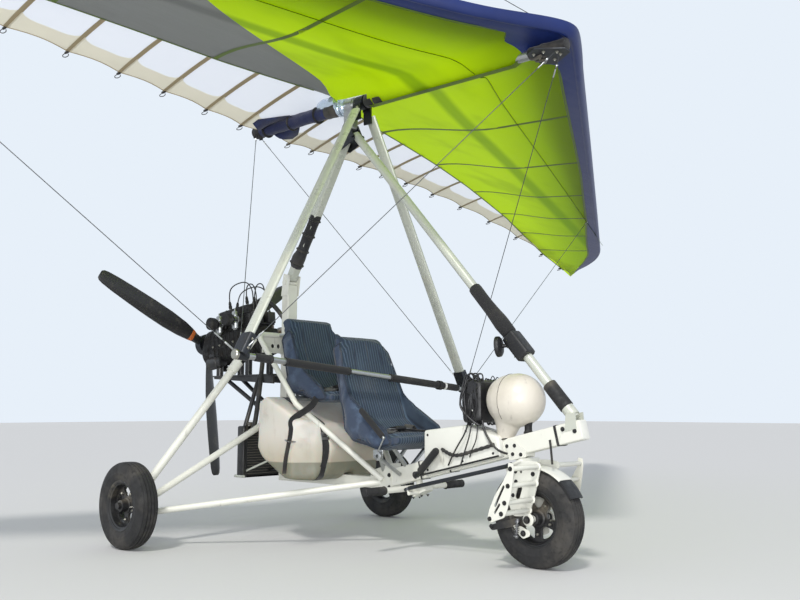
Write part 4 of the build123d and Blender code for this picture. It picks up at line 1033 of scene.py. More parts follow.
def make_sail_trim():
    """Hems, batten pockets and their ties, and the seams between the cloths."""
    hem = bmesh.new()
    for side in (-1, 1):
        for low, high in zip([0.03] + BATTENS, BATTENS + [HALF_SPAN - 0.02]):
            rows = []
            for y in even(low, high, 10):
                chord = edge_at(y).x - trail_at(y).x
                share = (y - low) / (high - low)
                corner = 0.055 * (abs(2 * share - 1) ** 4)
                depth = min((0.105 + corner) / chord, 0.5)
                cells = []
                for s in even(1 - depth, 1.0, 3):
                    point = over_skin(side * y, s)
                    point.z -= 0.0016
                    cells.append(hem.verts.new(point))
                rows.append(cells)
            stitch(hem, rows)
    piece(hem, "sail_hem", "hem", "wing", WING)

    rope = bmesh.new()
    for side in (-1, 1):
        line = [over_skin(side * y, 1.0) + Vector((0.001, 0, -0.001))
                for y in span_steps(0.02, HALF_SPAN - 0.01, 0.04)]
        hose(rope, line, 0.0028, 6)
    piece(rope, "sail_edge_cord", "tape", "wing", WING)

    pockets = bmesh.new()
    lower = bmesh.new()
    seams = bmesh.new()
    for side in (-1, 1):
        for y in BATTENS:
            start = table_at(BORDER, y, 1) - 0.01
            line = [over_skin(side * y, s) + Vector((0, 0, -0.003)) for s in even(start, 1.0, 10)]
            hose(pockets, line, 0, section=POCKET_SECTION)
        for y in UNDER_BATTENS:
            first, end = table_at(BLUE_UNDER, y, 1), table_at(BORDER, y, 1)
            front_y = y + 0.14
            line = []
            for k in range(13):
                t = k / 12
                line.append(under_skin(side * (front_y + (y - front_y) * t), first + (end - first) * t)
                            + Vector((0, 0, -0.001)))
            hose(lower, line, 0, section=ridge(0.012, 0.006, 0.004))
        line = []
        for y in even(0.02, 3.9, 60):
            x = 0.86 - 0.41 * y
            front, back = edge_at(y), trail_at(y)
            share = (front.x - x) / (front.x - back.x)
            line.append(under_skin(side * y, share) + Vector((0, 0, -0.0008)))
        hose(seams, line, 0, section=ridge(0.006, 0.003, 0.0018))
        for table in (BLUE_UNDER, BORDER):
            line = [under_skin(side * y, table_at(table, y, 1)) + Vector((0, 0, -0.0012))
                    for y in even(0.1, 4.7, 90)
                    if not hang_opening(under_skin(side * y, table_at(table, y, 1)))]
            hose(seams, line, 0, section=ridge(0.007, 0.004, 0.0024))
    # A low ridge along the keel in the olive of painted shade: the keel tube's shadow through the lower
    # cloth.
    keel_line = [under_skin(0.0, s) + Vector((0, 0, -0.001)) for s in even(0.12, 0.585, 30)]
    hose(lower, keel_line, 0, section=ridge(0.016, 0.008, 0.005))
    # The lower pockets and the seams are real; their olive colour is painted shade.
    piece(pockets, "batten_pockets", "tape", "wing", WING)
    piece(lower, "lower_batten_pockets", "olive_shade", "wing", WING)
    piece(seams, "sail_seams", "olive_shade", "wing", WING)

    ties = bmesh.new()
    for side in (-1, 1):
        for y in BATTENS:
            tip = over_skin(side * y, 1.0)
            spin(ties, tip + Vector((-0.010, 0, -0.004)), (1, 0, 0),
                 [(-0.016, 0), (-0.014, 0.006), (0.0, 0.0075), (0.014, 0.0065), (0.018, 0.0)], 10)
            loop = []
            for a in even(0.4, 5.8, 12):
                away = (-0.018 + 0.020 * cos(a), 0.012 * sin(a) * side, -0.010 - 0.012 * sin(a / 2))
                loop.append(tip + Vector(away))
            hose(ties, loop, 0.0022, 6)
    piece(ties, "batten_ties", "web", "wing", WING)


def make_nose_cover():
    """The blue cover over the nose, lying just outside the edge cloth, and the nose wires' strap."""
    bm = bmesh.new()
    half = 0.34
    rows = []
    for y in even(-half, half, 30):
        out = abs(y)
        lift = 0.004 * (1 - (out / half) ** 4) + 0.0006
        over, under = (0.20 - 0.42 * out) * 0.45, table_at(BLUE_UNDER, out, 1) + 0.001
        raised = Vector((0, 0, lift))
        column = [over_skin(y, s) + raised for s in even(over, BEND_FROM, 5)]
        column += nose_bend(edge_at(y), table_at(STATIONS, out, 1) + lift)
        column += [under_skin(y, s) - raised for s in even(min(BEND_FROM, under * 0.5), under, 5)]
        rows.append([bm.verts.new(p) for p in column])
    stitch(bm, rows)
    cover = piece(bm, "nose_cover", "mylar", "wing", WING)

    strap_piece = bmesh.new()
    spin(strap_piece, (1.150, 0, 0), (1, 0, 0),
         [(0.0, KEEL_BORE), (0.0, 0.028), (0.006, 0.0295), (0.020, 0.0285), (0.060, 0.0285),
          (0.066, 0.031), (0.084, 0.031), (0.090, 0.0285), (0.180, 0.0285), (0.190, 0.026), (0.193, 0.018),
          (0.193, 0.0)], 26)
    for side in (-1, 1):
        block(strap_piece, Matrix.Translation((1.200, side * 0.016, -0.034))
              @ Matrix.Rotation(side * 0.30, 4, 'Z'), (0.055, 0.012, 0.012), 0.002)
        hex_bolt(strap_piece, upside_down((1.212, side * 0.016, -0.038)), 0.006)
    piece(strap_piece, "nose_straps", "web", "wing", WING)


def make_keel_end():
    """Keel pocket of blue cloth with its web up to the sail, and the keel's black cap."""
    bm = bmesh.new()
    ring = 22
    rows = []
    for x in even(-0.765, -0.19, 24):
        column = []
        for a in round_angles(ring):
            swell = 0.034 + 0.0028 * noise.noise(Vector((x * 14, cos(a) * 2, sin(a) * 2)))
            swell *= 1.0 + (0.10 if abs((x * 1000) % 190 - 95) < 8 else 0.0)
            z = sin(a) * swell
            if sin(a) > 0.6:
                z += 0.010 * (sin(a) - 0.6) / 0.4
            column.append(bm.verts.new((x, cos(a) * swell, z)))
        rows.append(column)
    join_rings(bm, rows)
    for column in (rows[0], rows[-1]):
        bm.faces.new(column)
    piece(bm, "keel_pocket_cloth", "pocket", "wing", WING, replaces=("keel_pocket",))

    flaps = bmesh.new()
    for side in (-1, 1):
        rows = []
        for out in even(0.024, 0.150, 7):
            reach = (out - 0.024) / 0.126
            front, back = edge_at(out).x, trail_at(out).x
            first, last = -0.44 - 0.17 * reach, min(-0.735 + 0.075 * reach, -0.44)
            row = [Vector((first, side * 0.020, 0.020)).lerp(Vector((last, side * 0.020, 0.020)), t)
                   for t in even(0, 1, 6)]
            if reach > 0:
                row = [over_skin(side * out, (front - x) / (front - back)) - Vector((0, 0, 0.007))
                       for x in even(first, last, 6)]
            rows.append([flaps.verts.new(p) for p in row])
        stitch(flaps, rows)
    piece(flaps, "keel_pocket_web", "pocket", "wing", WING)

    wrap = bmesh.new()
    spin(wrap, (-0.185, 0, 0), (1, 0, 0),
         [(0.0, KEEL_BORE), (0.0, 0.036), (0.004, 0.038), (0.030, 0.0365), (0.060, 0.039), (0.092, 0.038),
          (0.096, 0.036), (0.096, KEEL_BORE)], 26)
    for x in (0.055, 0.120, 0.185):
        spin(wrap, (x, 0, 0), (1, 0, 0),
             [(0.0, KEEL_BORE), (0.0, 0.033), (0.004, 0.036), (0.052, 0.036), (0.056, 0.033),
              (0.056, KEEL_BORE)], 26)
    piece(wrap, "keel_padding", "web", "wing", WING)
    clamp = bmesh.new()
    spin(clamp, (-0.265, 0, 0.040), (1, 0, 0),
         [(0.0, 0.0), (0.002, 0.014), (0.010, 0.026), (0.028, 0.036), (0.050, 0.040), (0.056, 0.042),
          (0.070, 0.042), (0.076, 0.040), (0.110, 0.041), (0.116, 0.043), (0.130, 0.043), (0.136, 0.041),
          (0.158, 0.040), (0.162, 0.0)], 34)
    for x in (-0.085, -0.052):
        spin(clamp, (x, 0, 0), (1, 0, 0),
             [(0.0, KEEL_BORE), (0.0, 0.043), (0.003, 0.046), (0.021, 0.046), (0.024, 0.043),
              (0.024, KEEL_BORE)], 30)
    for side in (-1, 1):
        for x in (-0.073, -0.040):
            block(clamp, (x, side * 0.048, 0), (0.020, 0.014, 0.022), 0.002)
            hex_bolt(clamp, upside_down((x, side * 0.049, -0.011)), 0.006)
    piece(clamp, "keel_clamps", "clear", "wing", WING)

    cap = bmesh.new()
    spin(cap, (-0.805, 0, 0), (1, 0, 0),
         [(-0.010, 0), (-0.010, 0.022), (-0.004, 0.034), (0.006, 0.038), (0.050, 0.039), (0.056, 0.036),
          (0.060, 0.027), (0.012, 0.027)], 28)
    for side in (-1, 1):
        block(cap, (-0.785, side * 0.022, -0.026), (0.030, 0.006, 0.030), 0.002)
        hex_bolt(cap, frame_at((-0.785, side * 0.025, -0.03), (0, side, 0)), 0.007, 0.005)
    piece(cap, "keel_cap", "rubber", "wing", WING)

    straps = bmesh.new()
    for x in (-0.70, -0.48, -0.26):
        line = [Vector((x, 0.0375 * cos(a), 0.0375 * sin(a))) for a in round_angles(28)]
        hose(straps, line, 0, section=flat_band(0.010, 0.0012), closed=True)
    piece(straps, "keel_pocket_straps", "web", "wing", WING)


# The base bar's left end, and the inner radius of what is sleeved on it and on the foot bar
BAR = Vector((0.275, 0.776, -1.437))
BAR_BORE = 0.0143
POST_TOP = Vector((0.060, 0, 1.060))


def make_wing_hardware():
    """Bolts, tangs and thimbles where the wires end, the bar's caps and the kingpost's top."""
    bolts = bmesh.new()
    tangs = bmesh.new()
    tops = {"nose": Vector((1.29, 0.020, -0.034)),
            "side": Vector((edge_at(3.05).x - 0.06, 3.05, edge_at(3.05).z)),
            "tail": Vector((-0.785, 0.016, -0.026))}
    for side in (-1, 1):
        corner = Vector((BAR.x, side * BAR.y, BAR.z))
        for end in tops.values():
            far = Vector((end.x, side * end.y, end.z))
            way = (far - corner).normalized()
            bar(tangs, corner + way * 0.035, corner + way * 0.085, 0.0045, 10)
            bar(tangs, corner + way * 0.10, corner + way * 0.145, 0.0034, 8)
            bar(tangs, far - way * 0.10, far - way * 0.06, 0.0034, 8)
            spin(tangs, far - way * 0.045, way.orthogonal(),
                 [(-0.003, 0.006), (-0.003, 0.010), (0.003, 0.010), (0.003, 0.006), (-0.003, 0.006)], 14)
        for t in (0.035, 0.082):
            up = Vector((0.096, side * 0.058, -0.064)) - corner
            place = corner + up.normalized() * t
            for face in (-1, 1):
                hex_bolt(bolts, frame_at(place + Vector((face * 0.036, 0, 0)), (face, 0, 0)), 0.006, 0.005)
        spin(bolts, corner + Vector((0, side * 0.014, 0)), (0, side, 0),
             [(0, 0.023), (0.012, 0.0225), (0.016, 0.019), (0.017, 0)], 22)
        for z in (-0.042, -0.088):
            hex_bolt(bolts, frame_at((0.096 + 0.01 * z, side * 0.0445, z), (0, side, 0)), 0.007, 0.005)
    for k, along_x in enumerate((1.20, 1.25, 1.30)):
        for side in (-1, 1):
            hex_bolt(bolts, upside_down((along_x, side * 0.045 * (1 if k < 2 else 0.3), -0.030)), 0.006,
                     0.004)
    spin(tangs, POST_TOP, POST_TOP - Vector((0.1, 0, 0)),
         [(-0.060, 0.0185), (-0.058, 0.024), (-0.012, 0.024), (-0.006, 0.021), (0.002, 0.012), (0.004, 0)],
         22)
    piece(bolts, "wing_bolts", "bolt", "wing", WING)
    piece(tangs, "wire_ends", "alloy", "wing", WING)


upper_sail = make_sail()
make_sail_trim()
make_nose_cover()
make_keel_end()
make_wing_hardware()


# More mesh helpers, for the trike


def settle(ob):
    """Works the object's modifiers into its mesh."""
    graph = bpy.context.evaluated_depsgraph_get()
    mesh = bpy.data.meshes.new_from_object(ob.evaluated_get(graph), depsgraph=graph)
    old = ob.data
    ob.modifiers.clear()
    ob.data = mesh
    bpy.data.meshes.remove(old)


def slab(bm, outline, low, high, soft=0.0, segments=3, clip=()):
    """A plate drawn in X and Z, from Y low to Y high; clip holds planes as (point, outward normal)."""
    made = bmesh.new()
    face = made.faces.new([made.verts.new((x, low, z)) for x, z in outline])
    grown = bmesh.ops.extrude_face_region(made, geom=[face])
    for v in grown["geom"]:
        if isinstance(v, bmesh.types.BMVert):
            v.co.y = high
    for point, normal in clip:
        cut = bmesh.ops.bisect_plane(made, geom=made.verts[:] + made.edges[:] + made.faces[:], plane_co=point,
                                     plane_no=normal, clear_outer=True)
        rim = [e for e in cut["geom_cut"] if isinstance(e, bmesh.types.BMEdge)]
        bmesh.ops.edgeloop_fill(made, edges=rim)
    bmesh.ops.recalc_face_normals(made, faces=made.faces)
    if soft:
        sharp = [e for e in made.edges if e.calc_face_angle(0) > 0.3]
        bmesh.ops.bevel(made, geom=sharp, offset=soft, segments=segments, affect='EDGES', profile=0.5,
                        clamp_overlap=True)
    pour(made, bm)


def pour(made, bm):
    """Adds one mesh to another and frees it."""
    mesh = bpy.data.meshes.new("poured")
    made.to_mesh(mesh)
    made.free()
    bm.from_mesh(mesh)
    bpy.data.meshes.remove(mesh)


def loft(bm, rings):
    """A skin over closed rings of points that all have the same count."""
    made = [[bm.verts.new(p) for p in ring] for ring in rings]
    join_rings(bm, made)
    bm.faces.new(made[0][::-1])
    bm.faces.new(made[-1])


def round_box(width, depth, corner, steps=4):
    """The outline of a box with round corners, about its middle."""
    u, v = width / 2, depth / 2
    return rounded([(-u, -v), (u, -v), (u, v), (-u, v)], corner, steps)


def fuse(bm, name, voxel, smooth):
    """The closed forms as one smooth skin: remeshed in voxels and smoothed."""
    mesh = bpy.data.meshes.new(name)
    bmesh.ops.recalc_face_normals(bm, faces=bm.faces)
    bm.to_mesh(mesh)
    bm.free()
    ob = bpy.data.objects.new(name, mesh)
    scene.collection.objects.link(ob)
    remesh = ob.modifiers.new("remesh", 'REMESH')
    remesh.mode = 'VOXEL'
    remesh.voxel_size = voxel
    soft = ob.modifiers.new("smooth", 'SMOOTH')
    soft.factor = 0.5
    soft.iterations = smooth
    settle(ob)
    return ob


PRESSURE = 4.0


def puff(ob, cap, frames):
    """Blows the cover up a little from inside, as cloth, and holds each point within the cap."""
    before = [v.co.copy() for v in ob.data.vertices]
    cloth = ob.modifiers.new("cloth", 'CLOTH')
    cloth.settings.quality = 4
    cloth.settings.mass = 0.25
    cloth.settings.tension_stiffness = 12
    cloth.settings.compression_stiffness = 12
    cloth.settings.shear_stiffness = 4
    cloth.settings.bending_stiffness = 0.4
    cloth.settings.use_pressure = True
    cloth.settings.uniform_pressure_force = PRESSURE
    cloth.settings.effector_weights.gravity = 0
    cloth.collision_settings.use_collision = False
    for number in range(1, frames + 1):
        scene.frame_set(number)
    settle(ob)
    for v, old in zip(ob.data.vertices, before):
        move = v.co - old
        if move.length > cap:
            v.co = old + move.normalized() * cap
    scene.frame_set(1)


def finish_soft(ob, material, body, place, replaces, materials=(), subdivide=1, share=None):
    """Gives a soft form its cloth, one subdivision and its body; share picks a face's material."""
    ob.data.materials.clear()
    for name in (material,) + tuple(materials):
        ob.data.materials.append(M[name])
    if share:
        for polygon in ob.data.polygons:
            polygon.material_index = share(polygon)
    for polygon in ob.data.polygons:
        polygon.use_smooth = True
    if subdivide:
        finer = ob.modifiers.new("finer", 'SUBSURF')
        finer.levels = finer.render_levels = subdivide
        settle(ob)
    ob.matrix_world = place
    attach(ob, body)
    if replaces:
        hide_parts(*replaces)
    return ob


def closest_on(ob):
    """A search for the nearest point on the object's skin, in its own frame, with its normal."""
    tree = BVHTree.FromPolygons([v.co for v in ob.data.vertices], [p.vertices for p in ob.data.polygons])

    def find(point, lift=0.0):
        spot, normal, _, _ = tree.find_nearest(Vector(point))
        return spot + normal * lift
    return find


# CAD nodes that keep their shape

REPAINTED = {
    "white": ["gear_struts", "axle_struts", "drag_struts", "beam", "lower_mast", "seat_frame",
              "rear_foot_bar", "foot_pegs", "nose_fork", "rear_keel_box", "steering_head"],
    "tube": ["kingpost", "uprights", "front_strut", "upper_mast"],
    "black_paint": ["rear_knuckles", "engine_mount"],
    "alloy": ["keel_tube", "base_bar", "hang_block", "seat_mount"],
    "dark_steel": ["wing_fittings", "mast_head", "steering_rod", "propeller_hub"],
    "wire": ["rigging"],
}
for finish_name, node_names in REPAINTED.items():
    for node_name in node_names:
        repaint(node_name, finish_name)


# Wheels

TRACK_HALF = 0.897
AXLE_X = 1.737
WHEEL_Z = 0.205
TYRE_PROFILE = [
    # half width and radius, from the middle of the tread out to the bead
    (0.0, 0.2004),
    (0.0018, 0.2004),
    (0.0026, 0.2047),
    (0.0143, 0.2046),
    (0.0151, 0.2002),
    (0.0187, 0.2002),
    (0.0195, 0.2043),
    (0.0300, 0.2031),
    (0.0330, 0.2018),
    (0.0338, 0.1985),
    (0.0372, 0.1972),
    (0.0385, 0.1990),
    (0.0425, 0.1935),
    (0.0468, 0.1850),
    (0.0497, 0.1750),
    (0.0514, 0.1640),
    (0.0519, 0.1530),
    (0.0525, 0.1515),
    (0.0517, 0.1495),
    (0.0508, 0.1400),
    (0.0480, 0.1290),
    (0.0452, 0.1215),
    (0.0458, 0.1200),
    (0.0440, 0.1188),
    (0.0385, 0.1160),
    (0.0370, 0.1090)
]
RIM_PROFILE = [(-0.0453, 0.1172), (-0.0446, 0.1150), (-0.0400, 0.1115), (-0.0330, 0.1010),
               (-0.0130, 0.0978), (0.0130, 0.0978), (0.0330, 0.1010), (0.0400, 0.1115), (0.0446, 0.1150),
               (0.0453, 0.1172), (0.0448, 0.1190), (0.0422, 0.1188), (0.0400, 0.1085), (0.0300, 0.1050),
               (-0.0300, 0.1050), (-0.0400, 0.1085), (-0.0422, 0.1188), (-0.0448, 0.1190),
               (-0.0453, 0.1172)]
HUB_PROFILE = [(-0.0440, 0.0102), (-0.0440, 0.0245), (-0.0425, 0.0265), (-0.0140, 0.0300),
               (-0.0105, 0.0370), (0.0105, 0.0370), (0.0140, 0.0300), (0.0425, 0.0265), (0.0440, 0.0245),
               (0.0440, 0.0102), (-0.0440, 0.0102)]
WINDOWS = 5
BOLT_RADIUS = 0.066


def window(middle):
    """One opening of the rim's web, with round corners."""
    corners = []
    for radius, half in ((0.047, -15), (0.088, -24), (0.092, 0), (0.088, 24), (0.047, 15), (0.043, 0)):
        a = middle + radians(half)
        corners.append((radius * cos(a), radius * sin(a)))
    return rounded(corners, [0.008, 0.010, 0.05, 0.010, 0.008, 0.03], 5)


CAD_WHEEL = {"left": "rear", "right": "rear", "nose": "nose"}
HAND = {"left": "_left", "right": "_right", "nose": ""}


def web_spots(place, turn, high):
    """Places on both faces of the rim's web, midway between its windows."""
    spots = []
    for k in range(WINDOWS):
        a = turn + 2 * pi * (k + 0.5) / WINDOWS
        for face in (-1, 1):
            foot = place @ Matrix.Translation((BOLT_RADIUS * cos(a), BOLT_RADIUS * sin(a), face * high))
            spots.append(foot @ Matrix.Rotation(pi, 4, 'X') if face < 0 else foot)
    return spots


def make_wheel(name, centre, body, outer):
    """A tyre with four ribs round it, and its pressed rim with five windows."""
    place = frame_at(Vector(centre), (0, outer, 0), (1, 0, 0))
    tyre = bmesh.new()
    lathe(tyre, place, [(-a, r) for a, r in TYRE_PROFILE[::-1]] + TYRE_PROFILE[1:], 96)
    piece(tyre, name + "_tyre_rubber", "tyre", body, TRIKE,
          replaces=(CAD_WHEEL[name] + "_tyre" + HAND[name],))

    rim = bmesh.new()
    lathe(rim, place, RIM_PROFILE, 72)
    turn = radians(18)
    sheet_metal(rim, place, disc(0.0985, 72),
                [window(turn + 2 * pi * k / WINDOWS) for k in range(WINDOWS)], 0.013, 0.0022)
    lathe(rim, place, HUB_PROFILE, 36)
    for foot in web_spots(place, turn, 0.0062):
        lathe(rim, foot, [(0, 0.0115), (0.004, 0.0105), (0.004, 0)], 18)
    piece(rim, name + "_rim_metal", "rim", body, TRIKE,
          replaces=(CAD_WHEEL[name] + "_rim" + HAND[name],))

    bolts = bmesh.new()
    for foot in web_spots(place, turn, 0.0098):
        hex_bolt(bolts, foot, 0.0062, 0.005, False)
    stem = frame_at(place @ Vector((0.0945, 0, 0.012)), place.to_3x3() @ Vector((-0.45, 0, 1)), (0, 1, 0))
    lathe(bolts, stem, [(-0.006, 0.0), (-0.004, 0.0055), (0.004, 0.0048), (0.006, 0.0034), (0.022, 0.0034),
                        (0.022, 0.0042), (0.030, 0.0040), (0.031, 0.0)], 14)
    piece(bolts, name + "_rim_bolts", "bolt", body, TRIKE)


make_wheel("left", (0, TRACK_HALF, WHEEL_Z), "wheel_rear_left", 1)
make_wheel("right", (0, -TRACK_HALF, WHEEL_Z), "wheel_rear_right", -1)
make_wheel("nose", (AXLE_X, 0, WHEEL_Z), "wheel_nose", -1)


# Seats

SEAT_HALF = 0.220
SEAT_SIDE = 0.026
SEATS = {
    # seat: pad outline and side wing outline, as (x, z) in the drawings' frame
    "front_seat": (
        [(0.617, 1.032), (0.660, 0.898), (0.727, 0.702), (0.775, 0.565), (0.833, 0.512), (0.990, 0.480),
         (1.128, 0.512), (1.130, 0.543), (1.000, 0.527), (0.886, 0.541), (0.810, 0.608), (0.738, 0.798),
         (0.680, 1.024), (0.650, 1.042)],
        [(0.637, 0.975), (0.727, 0.702), (0.775, 0.565), (0.833, 0.512), (0.990, 0.480), (1.078, 0.500),
         (1.034, 0.584), (0.875, 0.684), (0.795, 0.741), (0.754, 0.816), (0.706, 0.960), (0.672, 1.005)]),
    "rear_seat": (
        [(0.229, 1.142), (0.275, 0.982), (0.345, 0.802), (0.395, 0.747), (0.452, 0.734), (0.560, 0.706),
         (0.684, 0.711), (0.686, 0.736), (0.560, 0.732), (0.458, 0.757), (0.403, 0.822), (0.329, 0.998),
         (0.287, 1.145), (0.257, 1.158)],
        [(0.262, 1.030), (0.345, 0.802), (0.395, 0.747), (0.452, 0.734), (0.560, 0.706), (0.634, 0.709),
         (0.604, 0.779), (0.496, 0.854), (0.436, 0.904), (0.371, 1.034), (0.330, 1.075), (0.300, 1.085)]),
}
SEAT_SWELL = 0.008
SEAT_CAP = 0.016
SEAT_VOXEL = 0.0075
# Points of a line that are closer than this count as one.
NEAR = 0.002


TOP_WIDTH = {
    # height, share of the half width that is left there
    "front_seat": [(0.4, 1.0), (0.80, 1.0), (0.92, 0.95), (1.00, 0.80), (1.06, 0.62)],
    "rear_seat": [(0.6, 1.0), (0.95, 1.0), (1.06, 0.93), (1.12, 0.82), (1.18, 0.70)],
}


def make_seat(name):
    """A bucket seat: ribbed denim over padding, with paler cloth outside its wings."""
    pad, wing = SEATS[name]
    form = bmesh.new()
    inner = SEAT_HALF - SEAT_SIDE
    slab(form, pad, -inner - 0.006, inner + 0.006)
    for side in (-1, 1):
        slab(form, wing, *sorted((side * (inner + SEAT_SWELL * 0.5), side * (SEAT_HALF - SEAT_SWELL))))
    for v in form.verts:
        v.co.y *= table_at(TOP_WIDTH[name], v.co.z, 1)
    seat = fuse(form, name + "_cloth", SEAT_VOXEL, 6)
    puff(seat, SEAT_CAP, 20)

    def side_or_front(polygon):
        outside = abs(polygon.normal.y) > 0.72 and abs(polygon.center.y) > inner * 0.72
        return 1 if outside and polygon.normal.y * polygon.center.y > 0 else 0
    finish_soft(seat, "cloth_blue", "trike", TRIKE, (name,), ("cloth_side",), 1, side_or_front)

    skin = closest_on(seat)
    piping = bmesh.new()
    stitches = bmesh.new()
    for side in (-1, 1):
        for y, lift in ((SEAT_HALF - 0.002, 0.0015), (inner + 0.004, 0.001)):
            line = []
            for x, z in rounded(wing, 0.03, 5):
                spot = Vector((x, side * y * table_at(TOP_WIDTH[name], z, 1), z))
                line.append(skin(spot, lift))
            line = [p for p, q in zip(line, line[1:] + line[:1]) if (p - q).length > NEAR]
            hose(piping, line, 0.0036 if lift > 0.0012 else 0.0024, 8, closed=True)
    path = pad[7:]
    for y in (-0.10, 0.0, 0.10):
        line = [skin((v.x + 0.012, y * table_at(TOP_WIDTH[name], v.y, 1), v.y + 0.004), 0.0003)
                for v in smooth_path([(p[0], p[1], 0) for p in path[:-1]], 8)]
        line = [p for p, q in zip(line, line[1:]) if (p - q).length > NEAR]
        hose(stitches, line, 0, section=[(-0.0035, 0), (0, -0.0012), (0.0035, 0), (0, 0.0012)])
    piece(piping, name + "_piping", "piping", "trike", TRIKE)
    piece(stitches, name + "_seams", "piping", "trike", TRIKE)
    return skin


STRAP_HALF = 0.023
STRAP_THIN = 0.0012


def web_section(half, thin, inner):
    """The section of a webbing strap, thicker by half from its inner width on."""
    thick = thin * 1.5
    return [(-half, -thin), (-inner, -thick), (inner, -thick), (half, -thin), (half, thin), (inner, thick),
            (-inner, thick), (-half, thin)]


def strap(bm, points, half=STRAP_HALF, thin=STRAP_THIN, flat_side=(0, 1, 0)):
    """A flat strap through the points, lying across flat_side."""
    line = smooth_path(points)
    section = web_section(half, thin, half * 0.9)
    side = Vector(flat_side)
    rings = []
    for i, point in enumerate(line):
        way = (line[min(i + 1, len(line) - 1)] - line[max(i - 1, 0)]).normalized()
        side = (side - way * side.dot(way)).normalized()
        up = way.cross(side)
        rings.append([point + side * u + up * v for u, v in section])
    loft(bm, rings)


def buckle(bm, place, width=0.052, height=0.034):
    """A stamped strap buckle: a frame with a bar across it."""
    sheet_metal(bm, place, round_box(width, height, 0.006),
                [round_box(width - 0.010, height * 0.30, 0.002, 2)], 0.0035, 0.0008)
    bar(bm, place @ Vector((-width / 2, 0, 0.002)), place @ Vector((width / 2, 0, 0.002)), 0.0025, 10)


def make_belts(skins):
    """Lap belts: two webs from the seat's sides that meet in a latch on the pan."""
    webs = bmesh.new()
    metal_parts = bmesh.new()
    latches = bmesh.new()
    lap = {"front_seat": [(0.862, 0.205, 0.50), (0.862, 0.150, 0.545), (0.905, 0.085, 0.548),
                          (0.930, 0.018, 0.540)],
           "rear_seat": [(0.470, 0.205, 0.745), (0.470, 0.150, 0.752), (0.500, 0.085, 0.745),
                         (0.520, 0.018, 0.740)]}
    for name, points in lap.items():
        for side in (-1, 1):
            line = []
            for k, (x, y, z) in enumerate(points):
                spot = skins[name]((x, side * y, z + 0.02), 0.0045 + 0.004 * (k % 2))
                line.append(spot)
            strap(webs, line, flat_side=(1, 0, 0.1))
            tail = line[2] + Vector((0.02, 0, 0.006))
            tail_line = [line[3] + Vector((0.0, -side * 0.002, 0.006)), tail,
                         tail + Vector((0.06, side * 0.05, -0.002)),
                         tail + Vector((0.10, side * 0.04, -0.004))]
            strap(webs, [skins[name](p, 0.009) for p in tail_line], flat_side=(1, 0.2, 0.1))
        middle = (line[-1] + skins[name]((points[-1][0], points[-1][1], points[-1][2] + 0.02), 0.006)) / 2
        middle.y = 0.0
        place = Matrix.Translation(middle + Vector((0, 0, 0.009))) @ Matrix.Rotation(radians(-8), 4, 'Y')
        block(latches, place, (0.052, 0.070, 0.018), 0.005, 3)
        block(latches, place @ Matrix.Translation((0.006, 0, 0.009)), (0.022, 0.026, 0.005), 0.0015, 2)
        for y in (0.048, -0.048):
            buckle(metal_parts, place @ Matrix.Translation((0, y, -0.003)) @ Matrix.Rotation(pi / 2, 4, 'Z'))
    piece(webs, "lap_belts", "web", "trike", TRIKE)
    piece(latches, "belt_latches", "plastic", "trike", TRIKE)
    piece(metal_parts, "belt_buckles", "steel", "trike", TRIKE)


seat_skins = {seat_name: make_seat(seat_name) for seat_name in SEATS}
make_belts(seat_skins)


# Mast cover, strut foam and the clamp with the mirror

KNEE = Vector((0.110, 0, 1.365))
MAST_TOP = Vector((0.545, 0, 2.083))
COVER_VOXEL = 0.0055
COVER_CAP = 0.006
STRUT_HEAD = Vector((0.633, 0, 2.093))
STRUT_BORE = 0.0223
BEAM_SLOPE = radians(13.1)


def beam_z(x, above=0.0):
    """Height of the beam's underside at x, or of a line that far above it."""
    return 0.357 + (x - 1.195) * tan(BEAM_SLOPE) + above / cos(BEAM_SLOPE)


STRUT_FOOT = Vector((1.925, 0, beam_z(1.925, 0.082) + 0.014))


def make_mast_cover():
    """The padded black cover on the mast, with a lump at its lower end and four bands round it; its lacing
    behind is not built.
    """
    form = bmesh.new()
    start, end = KNEE.lerp(MAST_TOP, 0.10), KNEE.lerp(MAST_TOP, 0.49)
    place = frame_at(start, end - start)
    long = (end - start).length
    rings = []
    for t, grow in ((0.0, 0.80), (0.03, 1.0), (0.10, 1.12), (0.20, 1.16), (0.30, 1.0), (0.45, 0.97),
                    (0.62, 1.0), (0.80, 0.96), (0.95, 0.95), (1.0, 0.86)):
        ring = [place @ Vector((u * grow, v * grow + (0.006 if 0.05 < t < 0.25 else 0), t * long))
                for u, v in round_box(0.058, 0.056, 0.018)]
        rings.append(ring)
    loft(form, rings)
    cover = fuse(form, "mast_cover", COVER_VOXEL, 4)
    puff(cover, COVER_CAP, 14)
    finish_soft(cover, "cover", "trike", TRIKE, ("foam_covers",))
    skin = closest_on(cover)
    bands = bmesh.new()
    for t in (0.08, 0.34, 0.62, 0.90):
        ring = [skin(place @ Vector((0.05 * cos(a), 0.05 * sin(a), t * long)), 0.0015)
                for a in round_angles(32)]
        hose(bands, ring, 0.0052, 8, closed=True)
    piece(bands, "mast_cover_bands", "web", "trike", TRIKE)


def on_strut(share):
    """A point of the front strut, from its head to its foot."""
    return STRUT_HEAD.lerp(STRUT_FOOT, share)


